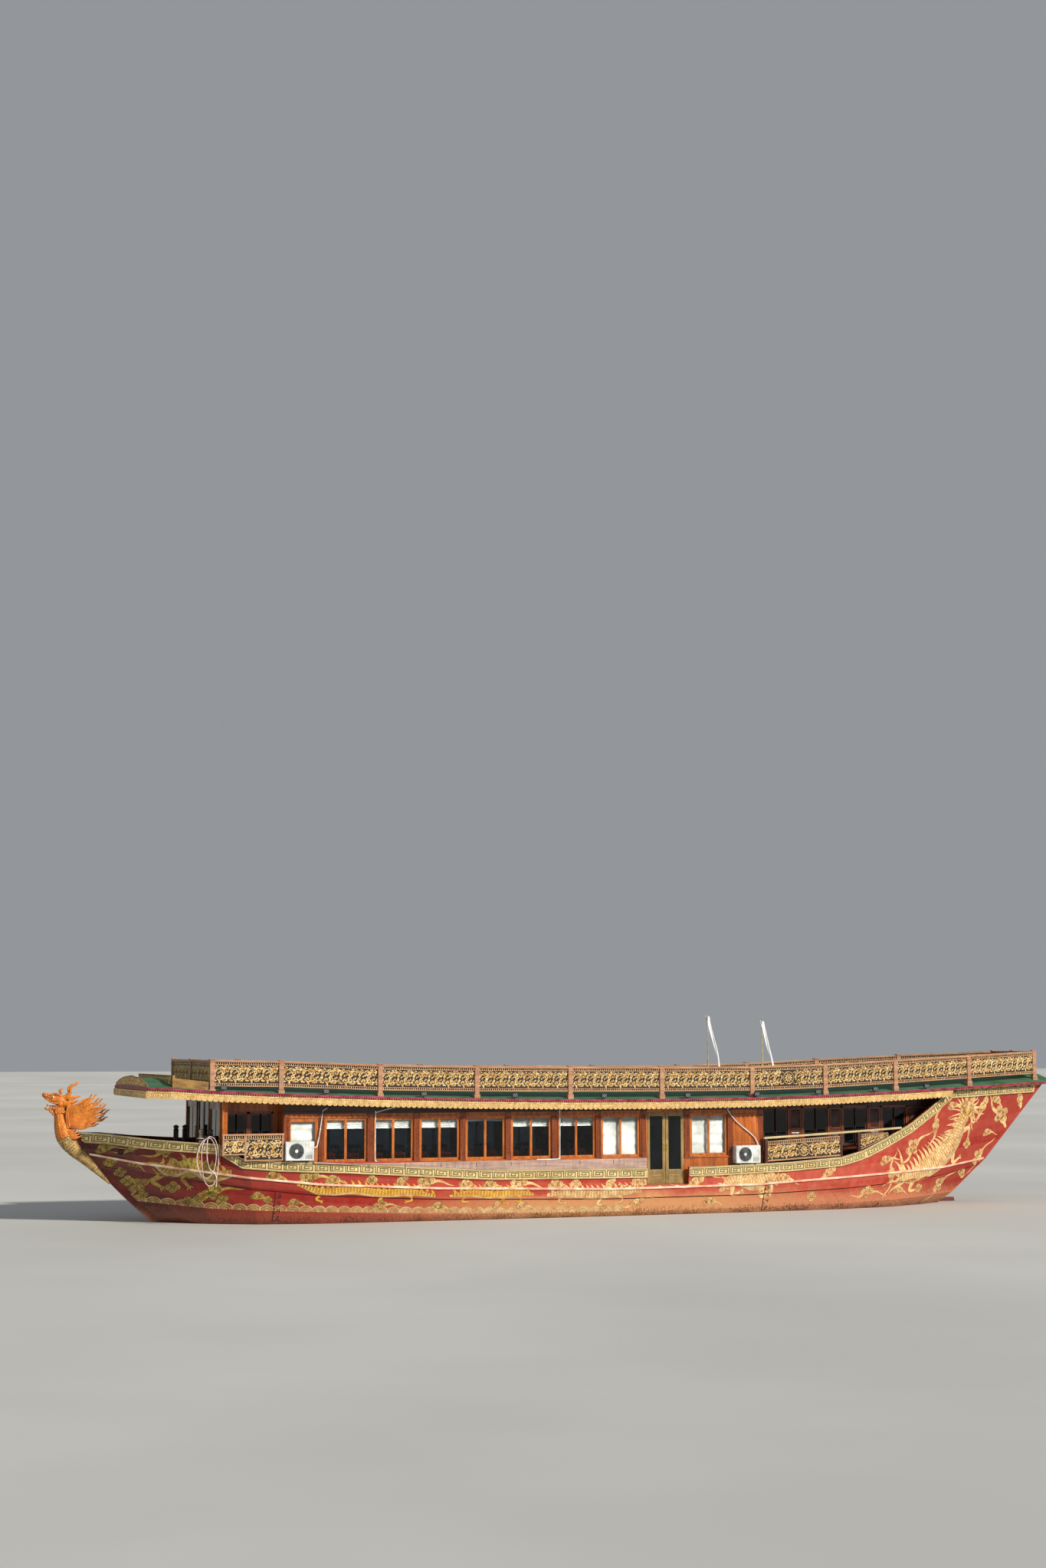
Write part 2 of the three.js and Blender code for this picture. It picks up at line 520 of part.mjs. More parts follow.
function makeSideWalls() {
  const y = [-WALL_Y - WALL_THICK, -WALL_Y];
  const z = [FLOOR + GAP, SIDE_TOP];
  const long = box(SALOON, y, z);
  const foreReturn = box([SALOON[0], SALOON[0] + WALL_THICK], [-WALL_Y - WALL_THICK, -LOBBY_Y], z);
  const lobby = box([FRONT_X + WALL_THICK + GAP, SALOON[0] + WALL_THICK], [-LOBBY_Y - WALL_THICK, -LOBBY_Y], z);
  const openings = BAYS.map(([a, b]) => box([a + PILASTER / 2, b - PILASTER / 2], THROUGH_SIDE, WINDOW_Z));
  const lobbyOpenings = LOBBY_WINDOWS.map((x) => box(x, [-LOBBY_Y - 200, -LOBBY_Y + 200], [1750, 2900]));
  const doorway = box([DOOR.x[0] - LEAF_CLEAR, DOOR.x[1] + LEAF_CLEAR], THROUGH_SIDE,
    [DOOR.z[0] - LEAF_CLEAR, DOOR.z[1] + LEAF_CLEAR]);
  const bulkhead = box([SALOON[1] - WALL_THICK, SALOON[1]], [-WALL_Y - WALL_THICK, -PASSAGE / 2], z);
  const lintel = box([SALOON[1] - WALL_THICK, SALOON[1]], [-PASSAGE / 2 - 1, -GAP / 2], [PASSAGE_TOP, SIDE_TOP]);
  const wall = cutBy(joined([long, foreReturn, lobby, bulkhead, lintel]),
    [...openings, ...lobbyOpenings, doorway, aboveCeiling]);
  addPair('saloon_wall', wall.intersect(inside), PAINT.varnish);
}

function makeHouseWalls() {
  const z = [FLOOR + GAP, SIDE_TOP];
  const side = box([SALOON[1] + GAP, HOUSE_END], [-HOUSE_Y - WALL_THICK, -HOUSE_Y], z);
  const openings = HOUSE_WINDOWS.map((x) => box(x, [-HOUSE_Y - 200, -HOUSE_Y + 200], [1800, 2900]));
  const bulkhead = box([HOUSE_END - WALL_THICK, HOUSE_END], [-WIDE, -GAP / 2], z);
  const house = side.add(bulkhead);
  addPair('aft_house_wall', cutBy(house, [...openings, aboveCeiling]).intersect(inside), PAINT.darkWood);
}

const FRONT_DOOR = { half: 640, z: [FOREDECK + 30, 3330] };

function makeFrontWall() {
  const z = [FLOOR + GAP, SIDE_TOP];
  const front = box([FRONT_X, FRONT_X + WALL_THICK], [GAP - WALL_Y, WALL_Y - GAP], z).intersect(inside);
  const doorway = box([-FAR, 0], [-FRONT_DOOR.half - LEAF_CLEAR, FRONT_DOOR.half + LEAF_CLEAR],
    [FRONT_DOOR.z[0] - LEAF_CLEAR, FRONT_DOOR.z[1] + LEAF_CLEAR]);
  const sideLights = [[-2100, -950], [950, 2100]].map((y) => box([-FAR, 0], y, [1800, 3300]));
  add('front_wall', cutBy(front, [doorway, ...sideLights, aboveCeiling]), PAINT.darkWood);
}

// Sliding sash frames, glass and roller blinds behind the window openings
const SASH_THICK = 30;
const GLASS_THICK = 8;
const SASH_RAIL = 60;

// Two sashes fill a bay, one a half bay.
function panesOf([from, to]) {
  const low = from + PILASTER / 2 + SASH_RAIL;
  const high = to - PILASTER / 2 - SASH_RAIL;
  const mid = (low + high) / 2;
  return high - low < 800 ? [[low, high]] : [[low, mid - SASH_RAIL], [mid + SASH_RAIL, high]];
}

function makeWindows() {
  const top = DOOR.z[1] + 90;
  const overDoor = [DOOR.x[0] - 60, DOOR.x[1] + 60];
  const runs = [[SALOON[0] + WALL_THICK + 20, DOOR.x[0] - 40], [DOOR.x[1] + 40, 3760]];
  const sashY = [-WALL_Y + GAP, -WALL_Y + SASH_THICK];
  const openings = BAYS.flatMap(panesOf).map(
    (x) => box(x, THROUGH_SIDE, [WINDOW_Z[0] + SASH_RAIL, WINDOW_Z[1] - SASH_RAIL]));
  const header = box(overDoor, sashY, [top - 60, top]);
  const frames = joined([...runs.map((x) => box(x, sashY, [WINDOW_Z[0] - 40, top])), header]);
  addPair('sashes', cutBy(frames, openings), PAINT.orangeWood);
  const glassY = [sashY[1] + GAP, sashY[1] + GAP + GLASS_THICK];
  const glass = runs.map((x) => box(x, glassY, [WINDOW_Z[0] - 20, top - 10]));
  const link = box(overDoor, glassY, [top - 55, top - 10]);
  addPair('window_glass', joined([...glass, link]), PAINT.glass);
}

// How far each bay's blinds hang down
const BLIND_DROPS = [1150, 230, 230, 230, 60, 230, 230, 1150, 1150];
const BLIND_TOP = 2760;
const BLIND_R = 24;

function makeBlinds() {
  const y = -WALL_Y + SASH_THICK + GLASS_THICK + 2 * GAP + BLIND_R;
  const tube = box([BAYS[0][0] + 100, BAYS[BAYS.length - 1][1] - 80], [y - BLIND_R, y + BLIND_R],
    [BLIND_TOP, BLIND_TOP + 2 * BLIND_R]);
  const cloths = BAYS.map(([a, b], i) => box([a + 110, b - 110], [y - 3, y + 3],
    [BLIND_TOP - BLIND_DROPS[i], BLIND_TOP + 10]));
  addPair('blinds', joined([tube, ...cloths]), PAINT.cloth);
}

// Chairs along the windows, on a floor runner
const CHAIR = { seat: 440, back: 1030, half: 240, wallSide: -2190, aisleSide: -1720 };
const CHAIR_X = [...Array.from({ length: 15 }, (_, i) => -8700 + 650 * i), 2720, 3380, 4040];

function makeChairs() {
  const runner = box([CHAIR_X[0] - 300, CHAIR_X[CHAIR_X.length - 1] + 300],
    [CHAIR.wallSide - 10, CHAIR.wallSide + 50], [FLOOR + GAP, FLOOR + 30]);
  const chairs = CHAIR_X.flatMap((x) => [
    box([x - CHAIR.half, x + CHAIR.half], [CHAIR.wallSide, CHAIR.aisleSide], [FLOOR + GAP, FLOOR + CHAIR.seat]),
    box([x - CHAIR.half + 10, x + CHAIR.half - 10], [CHAIR.wallSide, CHAIR.wallSide + 40],
      [FLOOR + CHAIR.seat - 40, FLOOR + CHAIR.back]),
  ]);
  addPair('chairs', joined([runner, ...chairs]), PAINT.varnish);
}

// Door leaves: a frame with a pane in it
function leaf(width, height, thick) {
  const frame = box([0, width], [0, thick], [0, height]);
  const pane = box([90, width - 90], [-10, thick + 10], [160, height - 90]);
  const glass = box([80, width - 80], [thick / 2 - 5, thick / 2 + 5], [150, height - 80]);
  return frame.subtract(pane).add(glass);
}

// A leaf hangs on knuckles at its outer corner. The pins stand in the 6 mm joint, just off the wall's face.
const PIN = { r: 8, off: 3, levels: [0.15, 0.85], high: 90 };

function hung(leafSolid, height) {
  const knuckles = PIN.levels.map((share) => {
    const low = height * share - PIN.high / 2;
    const barrel = cylinder(PIN.r, low, low + PIN.high, 8).rotate([0, 0, 22.5])
      .translate(-PIN.off, -PIN.r - GAP, 0);
    return barrel.add(box([-PIN.off, 40], [-3, 1], [low, low + PIN.high]));
  });
  return toGeometry(joined([leafSolid, ...knuckles]));
}

const LEAF_WIDTH = (DOOR.x[1] - DOOR.x[0] - LEAF_CLEAR) / 2;
const LEAF_HEIGHT = DOOR.z[1] - DOOR.z[0];

function flippedX(geometry) {
  return mirrored(geometry.clone().rotateZ(Math.PI / 2)).rotateZ(-Math.PI / 2);
}

function makeDoors() {
  const outside = -WALL_Y - WALL_THICK;
  const plain = hung(leaf(LEAF_WIDTH, LEAF_HEIGHT, DOOR_THICK), LEAF_HEIGHT);
  const fore = plain.clone().translate(DOOR.x[0], outside, DOOR.z[0]);
  const aft = flippedX(plain).translate(DOOR.x[1], outside, DOOR.z[0]);
  addPair('door_fore', fore, PAINT.gold);
  addPair('door_aft', aft, PAINT.gold);
  const width = FRONT_DOOR.half - LEAF_CLEAR / 2;
  const height = FRONT_DOOR.z[1] - FRONT_DOOR.z[0];
  const starboard = hung(leaf(width, height, DOOR_THICK), height).rotateZ(-Math.PI / 2)
    .translate(FRONT_X, FRONT_DOOR.half, FRONT_DOOR.z[0]);
  addPair('front_door', mirrored(starboard), PAINT.darkWood);
}

// Gallery rails beside the lobby and the aft house
const GALLERY = { from: -10960, step: -10330, to: -9300, y: [-2520, -2460], top: [2400, 2470] };
// Aft gallery: [x, half width, z of the rail's top], and the panels' ends with z and height
const AFT_POSTS = [[4760, 2490, 2090], [7200, 2405, 2210], [7800, 2385, 2240], [9180, 2330, 2310]];
const AFT_PANELS = [
  { from: [4800, -2490, 1480], to: [7180, -2420, 1560], z: [-60, 520] },
  { from: [7800, -2400, 1900], to: [8800, -2350, 2150], z: [-200, 100] },
];

function makeGalleryRails() {
  const clear = inside.add(above(toEnds(moved(SHEER, GAP))));
  const { from, step, to, y, top } = GALLERY;
  const fore = joined([
    slab([[step, read(SHEER, step) + 12], [to, read(SHEER, to) + GAP], [to, top[0]], [step, top[0] + 20]], y),
    box([from, to], [y[0] - 20, y[1] + 20], top),
    box([from, step], y, [2160, top[0] + 20]),
    box([FRONT_X, FRONT_X + 140], [-2440, -WALL_Y], [FLOOR + GAP, SIDE_TOP]).subtract(aboveCeiling),
    box([to - 90, to], [y[0], -WALL_Y - WALL_THICK - 5], [FLOOR + GAP, top[0]]),
  ]);
  addPair('fore_gallery_rail', fore.intersect(clear), PAINT.gold);
  const posts = AFT_POSTS.map(([x, half, z]) => box([x - 45, x + 45], [-half - 20, -half + 50], [FLOOR + GAP, z]));
  const panels = AFT_PANELS.map((panel) => rail(panel.from, panel.to, 50, panel.z));
  const hand = rail([4700, -2490, 2060], [9230, -2330, 2290], 90, [0, 60]);
  addPair('aft_gallery_rail', joined([hand, ...panels, ...posts]).intersect(clear), PAINT.gold);
}

// Roof deck, its eave and the scalloped valance
const CAMBER = [[0, 250], [0.45, 205], [0.8, 110], [1, 0]]; // [share of half width, rise]

function roofRing([x, z, half]) {
  const top = CAMBER.map(([share, rise]) => [x, half * share, z + rise]).reverse();
  const topPort = CAMBER.slice(1).map(([share, rise]) => [x, -half * share, z + rise]);
  return [[x, half, z - CEILING_DROP], ...top, ...topPort, [x, -half, z - CEILING_DROP]];
}

const EAVE = { wide: 50, rise: 15, drop: 75 };
const VALANCE = { thick: 28, drop: 265, end: 10950 };

// A band round the roof's edge, from `inner` to `outer` past it and from `low` to `high` past the eave line
function edgeBand(inner, outer, low, high) {
  const body = (out, from, to) => loft(ROOF.map(([x, z, half], i) => {
    const along = x + (i === 0 ? -out : 0) + (i === ROOF.length - 1 ? out : 0);
    const y = half + out;
    return [[along, -y, z + from], [along, y, z + from], [along, y, z + to], [along, -y, z + to]];
  }));
  return body(outer, low, high).subtract(body(inner, -900, 900));
}

function makeRoof() {
  add('roof_deck', loft(ROOF.map(roofRing)), PAINT.green);
  add('eave', edgeBand(GAP, EAVE.wide, -EAVE.drop, EAVE.rise), PAINT.maroon);
  const valance = edgeBand(EAVE.wide - VALANCE.thick, EAVE.wide, -VALANCE.drop, -EAVE.drop - GAP);
  add('valance', valance.intersect(box([-FAR, VALANCE.end], [-WIDE, WIDE], [0, UP])), PAINT.gold);
}

// Railing round the roof deck. Posts: [x, half width, z of the rail's top]
const RAIL_POSTS = [
  [-11270, 2600, 4330], [-9430, 2600, 4300], [-6720, 2600, 4195], [-3990, 2600, 4150], [-1270, 2600, 4130],
  [1480, 2600, 4115], [4280, 2600, 4120], [6620, 2580, 4185], [8980, 2480, 4300], [11690, 2090, 4430],
  [14580, 1140, 4550],
];
// Post and its wider base, then a bay's four members: [width, low, high] from the rail's top
const POST = { half: 65, base: 85, baseTop: -760, cap: 25 };
const MEMBERS = [[120, -95, 0], [70, -190, -150], [30, -680, -180], [70, -680, -615]];
const RAIL_FOOT = -1300; // the railing is cut off at the roof

// The roof with everything under it, raised by the gap: cutting with it seats a piece on the roof.
const roofBody = () => loft(ROOF.map(([x, z, half]) => roofRing([x, z + GAP, half])))
  .add(below(toEnds(moved(CEILING, 2 * GAP))));

const bay = (from, to) => MEMBERS.map(([width, low, high]) => rail(from, to, width, [low, high]));

function post([x, y, z]) {
  const square = (half, high) => box([x - half, x + half], [y - half, y + half], [z + RAIL_FOOT, z + high]);
  return square(POST.half, POST.cap).add(square(POST.base, POST.baseTop));
}

function makeRailings() {
  const seat = roofBody();
  const cut = (solid) => solid.subtract(seat);
  const port = RAIL_POSTS.map(([x, half, z]) => [x, -half, z]);
  const bays = port.slice(1).flatMap((to, i) => bay(port[i], to));
  addPair('roof_rail', cut(joined([...bays, ...port.map(post)])), PAINT.gold);
  for (const [name, i] of [['roof_rail_front', 0], ['roof_rail_stern', RAIL_POSTS.length - 1]]) {
    const [x, half, z] = RAIL_POSTS[i];
    const reach = half - POST.base - GAP;
    const marks = i === 0 ? [-reach, 0, reach] : [-reach, reach];
    const spans = marks.slice(1).flatMap((y, k) => bay([x, marks[k], z], [x, y, z]));
    const stiles = [-reach, reach - 40].map((y) => box([x - 30, x + 30], [y, y + 40], [z - 1000, z - 50]));
    add(name, cut(joined([...spans, ...stiles, ...(i === 0 ? [post([x, 0, z])] : [])])), PAINT.gold);
  }
}

// Low carved board round the roof's front
const CREST = { x: -12250, back: -11360, half: 2480, backHalf: 2600, z: 3800, backZ: 3700 };

function makeCrest() {
  const { x, back, half, backHalf, z, backZ } = CREST;
  const sides = [-1, 1].map((s) => rail([x, s * half, z], [back, s * backHalf, backZ], 50, [-180, 60]));
  const front = rail([x, -half - 20, z], [x, half + 20, z], 60, [-210, 130]);
  add('roof_crest', joined([...sides, front]).subtract(roofBody()), PAINT.gold);
}

// Cooling units on the ship's side
const COOLERS = [['fore', -9280, 1690], ['aft', 3760, 1400]];
const COOLER = { wide: 770, deep: 250, high: 500, off: 20, feet: [85, 625] };

function makeCoolers() {
  for (const [place, x, z] of COOLERS) {
    const back = -WALL_Y - WALL_THICK;
    const front = back - COOLER.off - COOLER.deep;
    const body = box([x, x + COOLER.wide], [front, back - COOLER.off], [z, z + COOLER.high]);
    const feet = COOLER.feet.map((from) => box([x + from, x + from + 60], [front + 20, back - GAP],
      [z - COOLER.off, z]));
    addPair(`cooler_${place}`, joined([body, ...feet]), PAINT.white);
  }
}

// Twin mooring bitts inside the bulwark
const BITT = { x: [-11350, -11100], y: -1690, half: 65, top: 2520, foot: [90, 70, 90] };

function makeBitts() {
  const y = [BITT.y - BITT.half, BITT.y + BITT.half];
  const posts = BITT.x.map((x) => box([x - BITT.half, x + BITT.half], y, [FOREDECK + GAP, BITT.top]));
  const [along, across, high] = BITT.foot;
  const foot = box([BITT.x[0] - along, BITT.x[1] + along], [BITT.y - across, BITT.y + across],
    [FOREDECK + GAP, FOREDECK + high]);
  addPair('bitts', joined([...posts, foot]), PAINT.darkWood);
}

// Two pennant canes on the roof with their cloths, which hang down aft of them
const FLAGS = [[4030, -200, 5640], [5780, -260, 5500]]; // [x, y, top]
const FLAG_FOOT = 3440;
const FLAG_STEP_Y = -230; // plank that both canes stand in
const CANE_R = 13;

function makeFlags() {
  const cane = ([x, y, top], radius) => cylinder(radius, FLAG_FOOT, top, 8).translate(x, y, 0);
  const step = box([FLAGS[0][0] - 80, FLAGS[1][0] + 80], [FLAG_STEP_Y - 90, FLAG_STEP_Y + 90],
    [FLAG_FOOT, FLAG_FOOT + 100]);
  const poles = joined([step, ...FLAGS.map((flag) => cane(flag, CANE_R))]);
  add('flag_poles', poles.subtract(roofBody()), PAINT.rawWood);
  FLAGS.forEach((flag, i) => {
    const [x, y, top] = flag;
    const cloth = limb([[x + 45, y, top - 60, 18, 40], [x + 160, y, top - 500, 22, 90],
      [x + 330, y, top - 1000, 25, 80], [x + 420, y, FLAG_FOOT + 280, 20, 60]], 8);
    add(`flag_cloth_${i + 1}`, cloth.subtract(cane(flag, CANE_R + GAP)), PAINT.cloth);
  });
}

// Mooring line hung up in a hank over the bulwark, with a turn round the bitts
const HANK = [
  [-11620, 2180], [-11510, 2250], [-11060, 2250], [-10960, 2150], [-10990, 1500], [-11100, 1080],
  [-11320, 1000], [-11500, 1180], [-11620, 1700],
];
const HANK_Y = [-2380, -2300];
const TURN = { x: [-11400, -11050], z: [2190, 2250] };

function makeRope() {
  const turn = box(TURN.x, [HANK_Y[0], BITT.y - BITT.half - GAP], TURN.z);
  const wall = hullForm(BAND_PROUD + GAP).subtract(above(toEnds(moved(SHEER, GAP))));
  add('rope_hank', slab(HANK, HANK_Y).add(turn).subtract(wall), PAINT.rope);
}

makeHull();
makeTopsides();
makeStrakes();
makeTransom();
makeKeel();
makeEngine();
makePropeller();
makeRudder();
makeDragon();
makeSideWalls();
makeHouseWalls();
makeFrontWall();
makeWindows();
makeBlinds();
makeChairs();
makeDoors();
makeGalleryRails();
makeRoof();
makeRailings();
makeCrest();
makeCoolers();
makeBitts();
makeFlags();
makeRope();

export default boat;
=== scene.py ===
import math

import bmesh
import bpy
import numpy as np
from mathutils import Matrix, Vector
from mathutils.bvhtree import BVHTree


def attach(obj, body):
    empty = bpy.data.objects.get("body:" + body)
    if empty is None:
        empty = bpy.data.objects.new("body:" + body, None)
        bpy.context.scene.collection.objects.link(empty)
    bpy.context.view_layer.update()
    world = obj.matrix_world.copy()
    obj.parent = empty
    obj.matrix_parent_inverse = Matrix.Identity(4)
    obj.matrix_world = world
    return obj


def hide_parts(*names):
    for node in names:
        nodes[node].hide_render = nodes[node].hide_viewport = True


# Dragon boat: a wooden river passenger boat. Metres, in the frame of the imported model: the bow points to -X,
# port is -Y, and z 0 is the plane the boat floats at.
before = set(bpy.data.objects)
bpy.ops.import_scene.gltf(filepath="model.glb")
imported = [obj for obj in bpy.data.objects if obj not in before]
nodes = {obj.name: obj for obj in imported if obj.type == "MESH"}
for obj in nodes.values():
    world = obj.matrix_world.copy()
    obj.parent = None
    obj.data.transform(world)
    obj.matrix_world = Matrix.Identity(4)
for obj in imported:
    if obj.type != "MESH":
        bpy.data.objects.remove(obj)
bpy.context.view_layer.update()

# Studio
# A pale floor at the waterline, a soft sun from the stern side of the viewer, and the camera where the
# photograph was taken: on the water level with the roof, 20 degrees forward of the beam.
CAMERA_AT = (-23.247, -59.201, 4.6)
CAMERA_PITCH = 6.949
CAMERA_YAW = -20.0
SUN_TURN = (60.0, 0.0, 30.0)
FLOOR_HALF = 400.0

scene = bpy.context.scene
camera = bpy.data.objects.new("camera", bpy.data.cameras.new("camera"))
camera.data.lens = 50
camera.data.sensor_fit = "VERTICAL"
camera.data.sensor_height = 36
camera.data.clip_end = 1500
camera.location = CAMERA_AT
camera.rotation_euler = (math.radians(90 + CAMERA_PITCH), 0, math.radians(CAMERA_YAW))
scene.collection.objects.link(camera)
scene.camera = camera
scene.view_settings.view_transform = "Standard"

sun = bpy.data.objects.new("key_sun", bpy.data.lights.new("key_sun", "SUN"))
sun.data.energy = 4.1
sun.data.angle = math.radians(4)
sun.data.color = (1.0, 0.94, 0.84)
sun.rotation_euler = [math.radians(v) for v in SUN_TURN]
scene.collection.objects.link(sun)
sky = bpy.data.worlds.new("sky")
scene.world = sky
sky.use_nodes = True
sky_light = sky.node_tree.nodes["Background"].inputs
sky_light["Color"].default_value = (0.86, 0.9, 0.95, 1)
sky_light["Strength"].default_value = 0.34


def tone(code):
    """Linear colour from a six digit hex code."""
    parts = [int(code[i:i + 2], 16) / 255 for i in (0, 2, 4)]
    return tuple((v / 12.92 if v <= 0.04045 else ((v + 0.055) / 1.055) ** 2.4) for v in parts) + (1.0,)


def put(tree, kind, sockets=(), **settings):
    """Adds a shader node. Sockets maps an input to a value or to another node's output."""
    made = tree.nodes.new("ShaderNode" + kind)
    for key, value in settings.items():
        setattr(made, key, value)
    for key, value in dict(sockets).items():
        if isinstance(value, bpy.types.NodeSocket):
            tree.links.new(value, made.inputs[key])
        else:
            made.inputs[key].default_value = value
    return made


def blend(tree, factor, a, b):
    return put(tree, "Mix", {0: factor, 6: a, 7: b}, data_type="RGBA").outputs[2]


def spread(tree, value, low, high, to_low=0.0, to_high=1.0):
    return put(tree, "MapRange", {0: value, 1: low, 2: high, 3: to_low, 4: to_high}).outputs[0]


def noise(tree, vector, scale, detail=4.0, rough=0.55):
    sockets = {"Vector": vector, "Scale": scale, "Detail": detail, "Roughness": rough}
    return put(tree, "TexNoise", sockets).outputs[0]


def new_material(name, rough, **values):
    """A Principled material: itself, its tree, its shader and the place on the object in metres."""
    mat = bpy.data.materials.new(name)
    mat.use_nodes = True
    tree = mat.node_tree
    shader = tree.nodes["Principled BSDF"]
    for key, value in {"Roughness": rough, **values}.items():
        shader.inputs[key.replace("_", " ")].default_value = value
    return mat, tree, shader, put(tree, "TexCoord").outputs["Object"]


def dress(tree, shader, colour, rough=None, height=None, depth=0.001):
    """Feeds a shader its colour, and its roughness and the height of its bumps where they vary."""
    tree.links.new(colour, shader.inputs["Base Color"])
    if rough is not None:
        tree.links.new(rough, shader.inputs["Roughness"])
    if height is not None:
        relief = put(tree, "Bump", {"Height": height, "Distance": depth, "Strength": 0.6})
        tree.links.new(relief.outputs[0], shader.inputs["Normal"])


floor_paint, tree, shader, place = new_material("pale_floor", 0.8)
mottle = spread(tree, noise(tree, place, 0.05), 0.36, 0.66)
colour = blend(tree, mottle, tone("b9bab8"), tone("c6c7c5"))
dress(tree, shader, colour, spread(tree, mottle, 0, 1, 0.8, 0.95), mottle, 0.0001)
floor_mesh = bpy.data.meshes.new("floor")
floor_mesh.from_pydata([(FLOOR_HALF * a, FLOOR_HALF * b, 0) for a, b in ((-1, -1), (1, -1), (1, 1), (-1, 1))],
                       [], [(0, 1, 2, 3)])
floor_mesh.materials.append(floor_paint)
floor = bpy.data.objects.new("floor", floor_mesh)
scene.collection.objects.link(floor)

# Mooring rope
# A pinkish white laid rope, 25 mm thick, turned round the twin bitts and hung over the bulwark in a hank of
# three long loops. Its bare end hangs down the planking.
ROPE_THICK = 0.025
ROPE_ROUTE = [
    (-11.10, -1.60, 2.26), (-11.00, -1.69, 2.262), (-11.10, -1.79, 2.264), (-11.24, -1.69, 2.268),
    (-11.36, -1.60, 2.27), (-11.45, -1.69, 2.272), (-11.38, -1.80, 2.274), (-11.24, -1.80, 2.27),
    (-11.28, -2.00, 2.268), (-11.34, -2.20, 2.262), (-11.40, -2.290, 2.245), (-11.47, -2.340, 2.16),
    (-11.55, -2.350, 1.98), (-11.58, -2.352, 1.76), (-11.54, -2.350, 1.52), (-11.44, -2.345, 1.33),
    (-11.31, -2.340, 1.27), (-11.18, -2.340, 1.36), (-11.10, -2.340, 1.56), (-11.07, -2.345, 1.80),
    (-11.09, -2.345, 2.02), (-11.14, -2.335, 2.18), (-11.20, -2.285, 2.275), (-11.26, -2.270, 2.305),
    (-11.34, -2.300, 2.275), (-11.42, -2.350, 2.16), (-11.46, -2.368, 1.94), (-11.45, -2.372, 1.66),
    (-11.42, -2.372, 1.40), (-11.36, -2.370, 1.18), (-11.25, -2.368, 1.07), (-11.13, -2.368, 1.12),
    (-11.05, -2.368, 1.32), (-11.02, -2.370, 1.60), (-11.02, -2.368, 1.90), (-11.06, -2.355, 2.14),
    (-11.12, -2.300, 2.285), (-11.17, -2.245, 2.32), (-11.22, -2.24, 2.335), (-11.27, -2.29, 2.32),
    (-11.31, -2.36, 2.23), (-11.33, -2.395, 2.05), (-11.32, -2.397, 1.80), (-11.28, -2.396, 1.60),
    (-11.22, -2.395, 1.48), (-11.15, -2.394, 1.44), (-11.09, -2.394, 1.36), (-11.06, -2.394, 1.22),
    (-11.07, -2.392, 1.05),
]


def bend(points, count):
    """A smooth line of count points through a few given ones."""
    points = np.asarray(points, float)
    padded = np.vstack([2 * points[0] - points[1], points, 2 * points[-1] - points[-2]])
    at = np.linspace(0, len(points) - 1, count)
    line = []
    for t in at:
        i = min(int(t), len(points) - 2)
        f = t - i
        a, b, c, d = padded[i:i + 4]
        line.append(0.5 * (2 * b + (c - a) * f + (2 * a - 5 * b + 4 * c - d) * f ** 2
                           + (3 * b - a - 3 * c + d) * f ** 3))
    return np.array(line)


rope_curve = bpy.data.curves.new("mooring_rope", "CURVE")
rope_curve.dimensions = "3D"
rope_curve.bevel_depth = ROPE_THICK / 2
rope_curve.bevel_resolution = 2
rope_curve.use_fill_caps = True
rope_line = bend(ROPE_ROUTE, 6 * len(ROPE_ROUTE))
spline = rope_curve.splines.new("POLY")
spline.points.add(len(rope_line) - 1)
for knot, p in zip(spline.points, rope_line):
    knot.co = (*p, 1)


def calc(tree, operation, a, b=0.0, clamp=False):
    return put(tree, "Math", {0: a, 1: b}, operation=operation, use_clamp=clamp).outputs[0]


def times(tree, value, *factors):
    """The product of several values."""
    for factor in factors:
        value = calc(tree, "MULTIPLY", value, factor)
    return value


def stretched(tree, vector, by):
    return put(tree, "VectorMath", {0: vector, 1: by}, operation="MULTIPLY").outputs[0]


def new_group(name, inputs, outputs):
    """An empty shader group; inputs map a socket's name to its kind and value."""
    group = bpy.data.node_groups.new(name, "ShaderNodeTree")
    for socket, (kind, value) in inputs.items():
        made = group.interface.new_socket(socket, in_out="INPUT", socket_type="NodeSocket" + kind)
        if value is not None:
            made.default_value = value
    for socket in outputs:
        group.interface.new_socket(socket, in_out="OUTPUT", socket_type="NodeSocketFloat")
    return group, group.nodes.new("NodeGroupInput").outputs, group.nodes.new("NodeGroupOutput").inputs


# Uneven paint: soft patches, streaks that run down, and broad grime
uneven, given, out = new_group(
    "uneven_paint", {"Vector": ("Vector", None), "Scale": ("Float", 3.0)}, ("Mottle", "Streaks", "Grime"))
for key, vector, factor in (
        ("Mottle", given["Vector"], 1.0),
        ("Streaks", stretched(uneven, given["Vector"], (6, 6, 0.7)), 1.0),
        ("Grime", given["Vector"], 0.35)):
    field = noise(uneven, vector, calc(uneven, "MULTIPLY", given["Scale"], factor))
    uneven.links.new(spread(uneven, field, 0.36, 0.66), out[key])


def use(tree, group, sockets):
    """Places a shared group in a material, with that material's own values."""
    return put(tree, "Group", sockets, node_tree=group).outputs


rope_fibre, tree, shader, place = new_material("rope_fibre", 0.85)
lay = {"Vector": stretched(tree, place, (1, 1, 0.6)), "Scale": 22.0, "Distortion": 1.5}
strands = put(tree, "TexWave", lay, bands_direction="DIAGONAL").outputs["Fac"]
soil = use(tree, uneven, {"Vector": place, "Scale": 6.0})["Mottle"]
colour = blend(tree, soil, tone("b89a92"), tone("efe0dc"))
colour = blend(tree, spread(tree, strands, 0, 1, 0.0, 0.35), colour, tone("a98f86"))
dress(tree, shader, colour, None, strands, 0.003)
rope_curve.materials.append(rope_fibre)

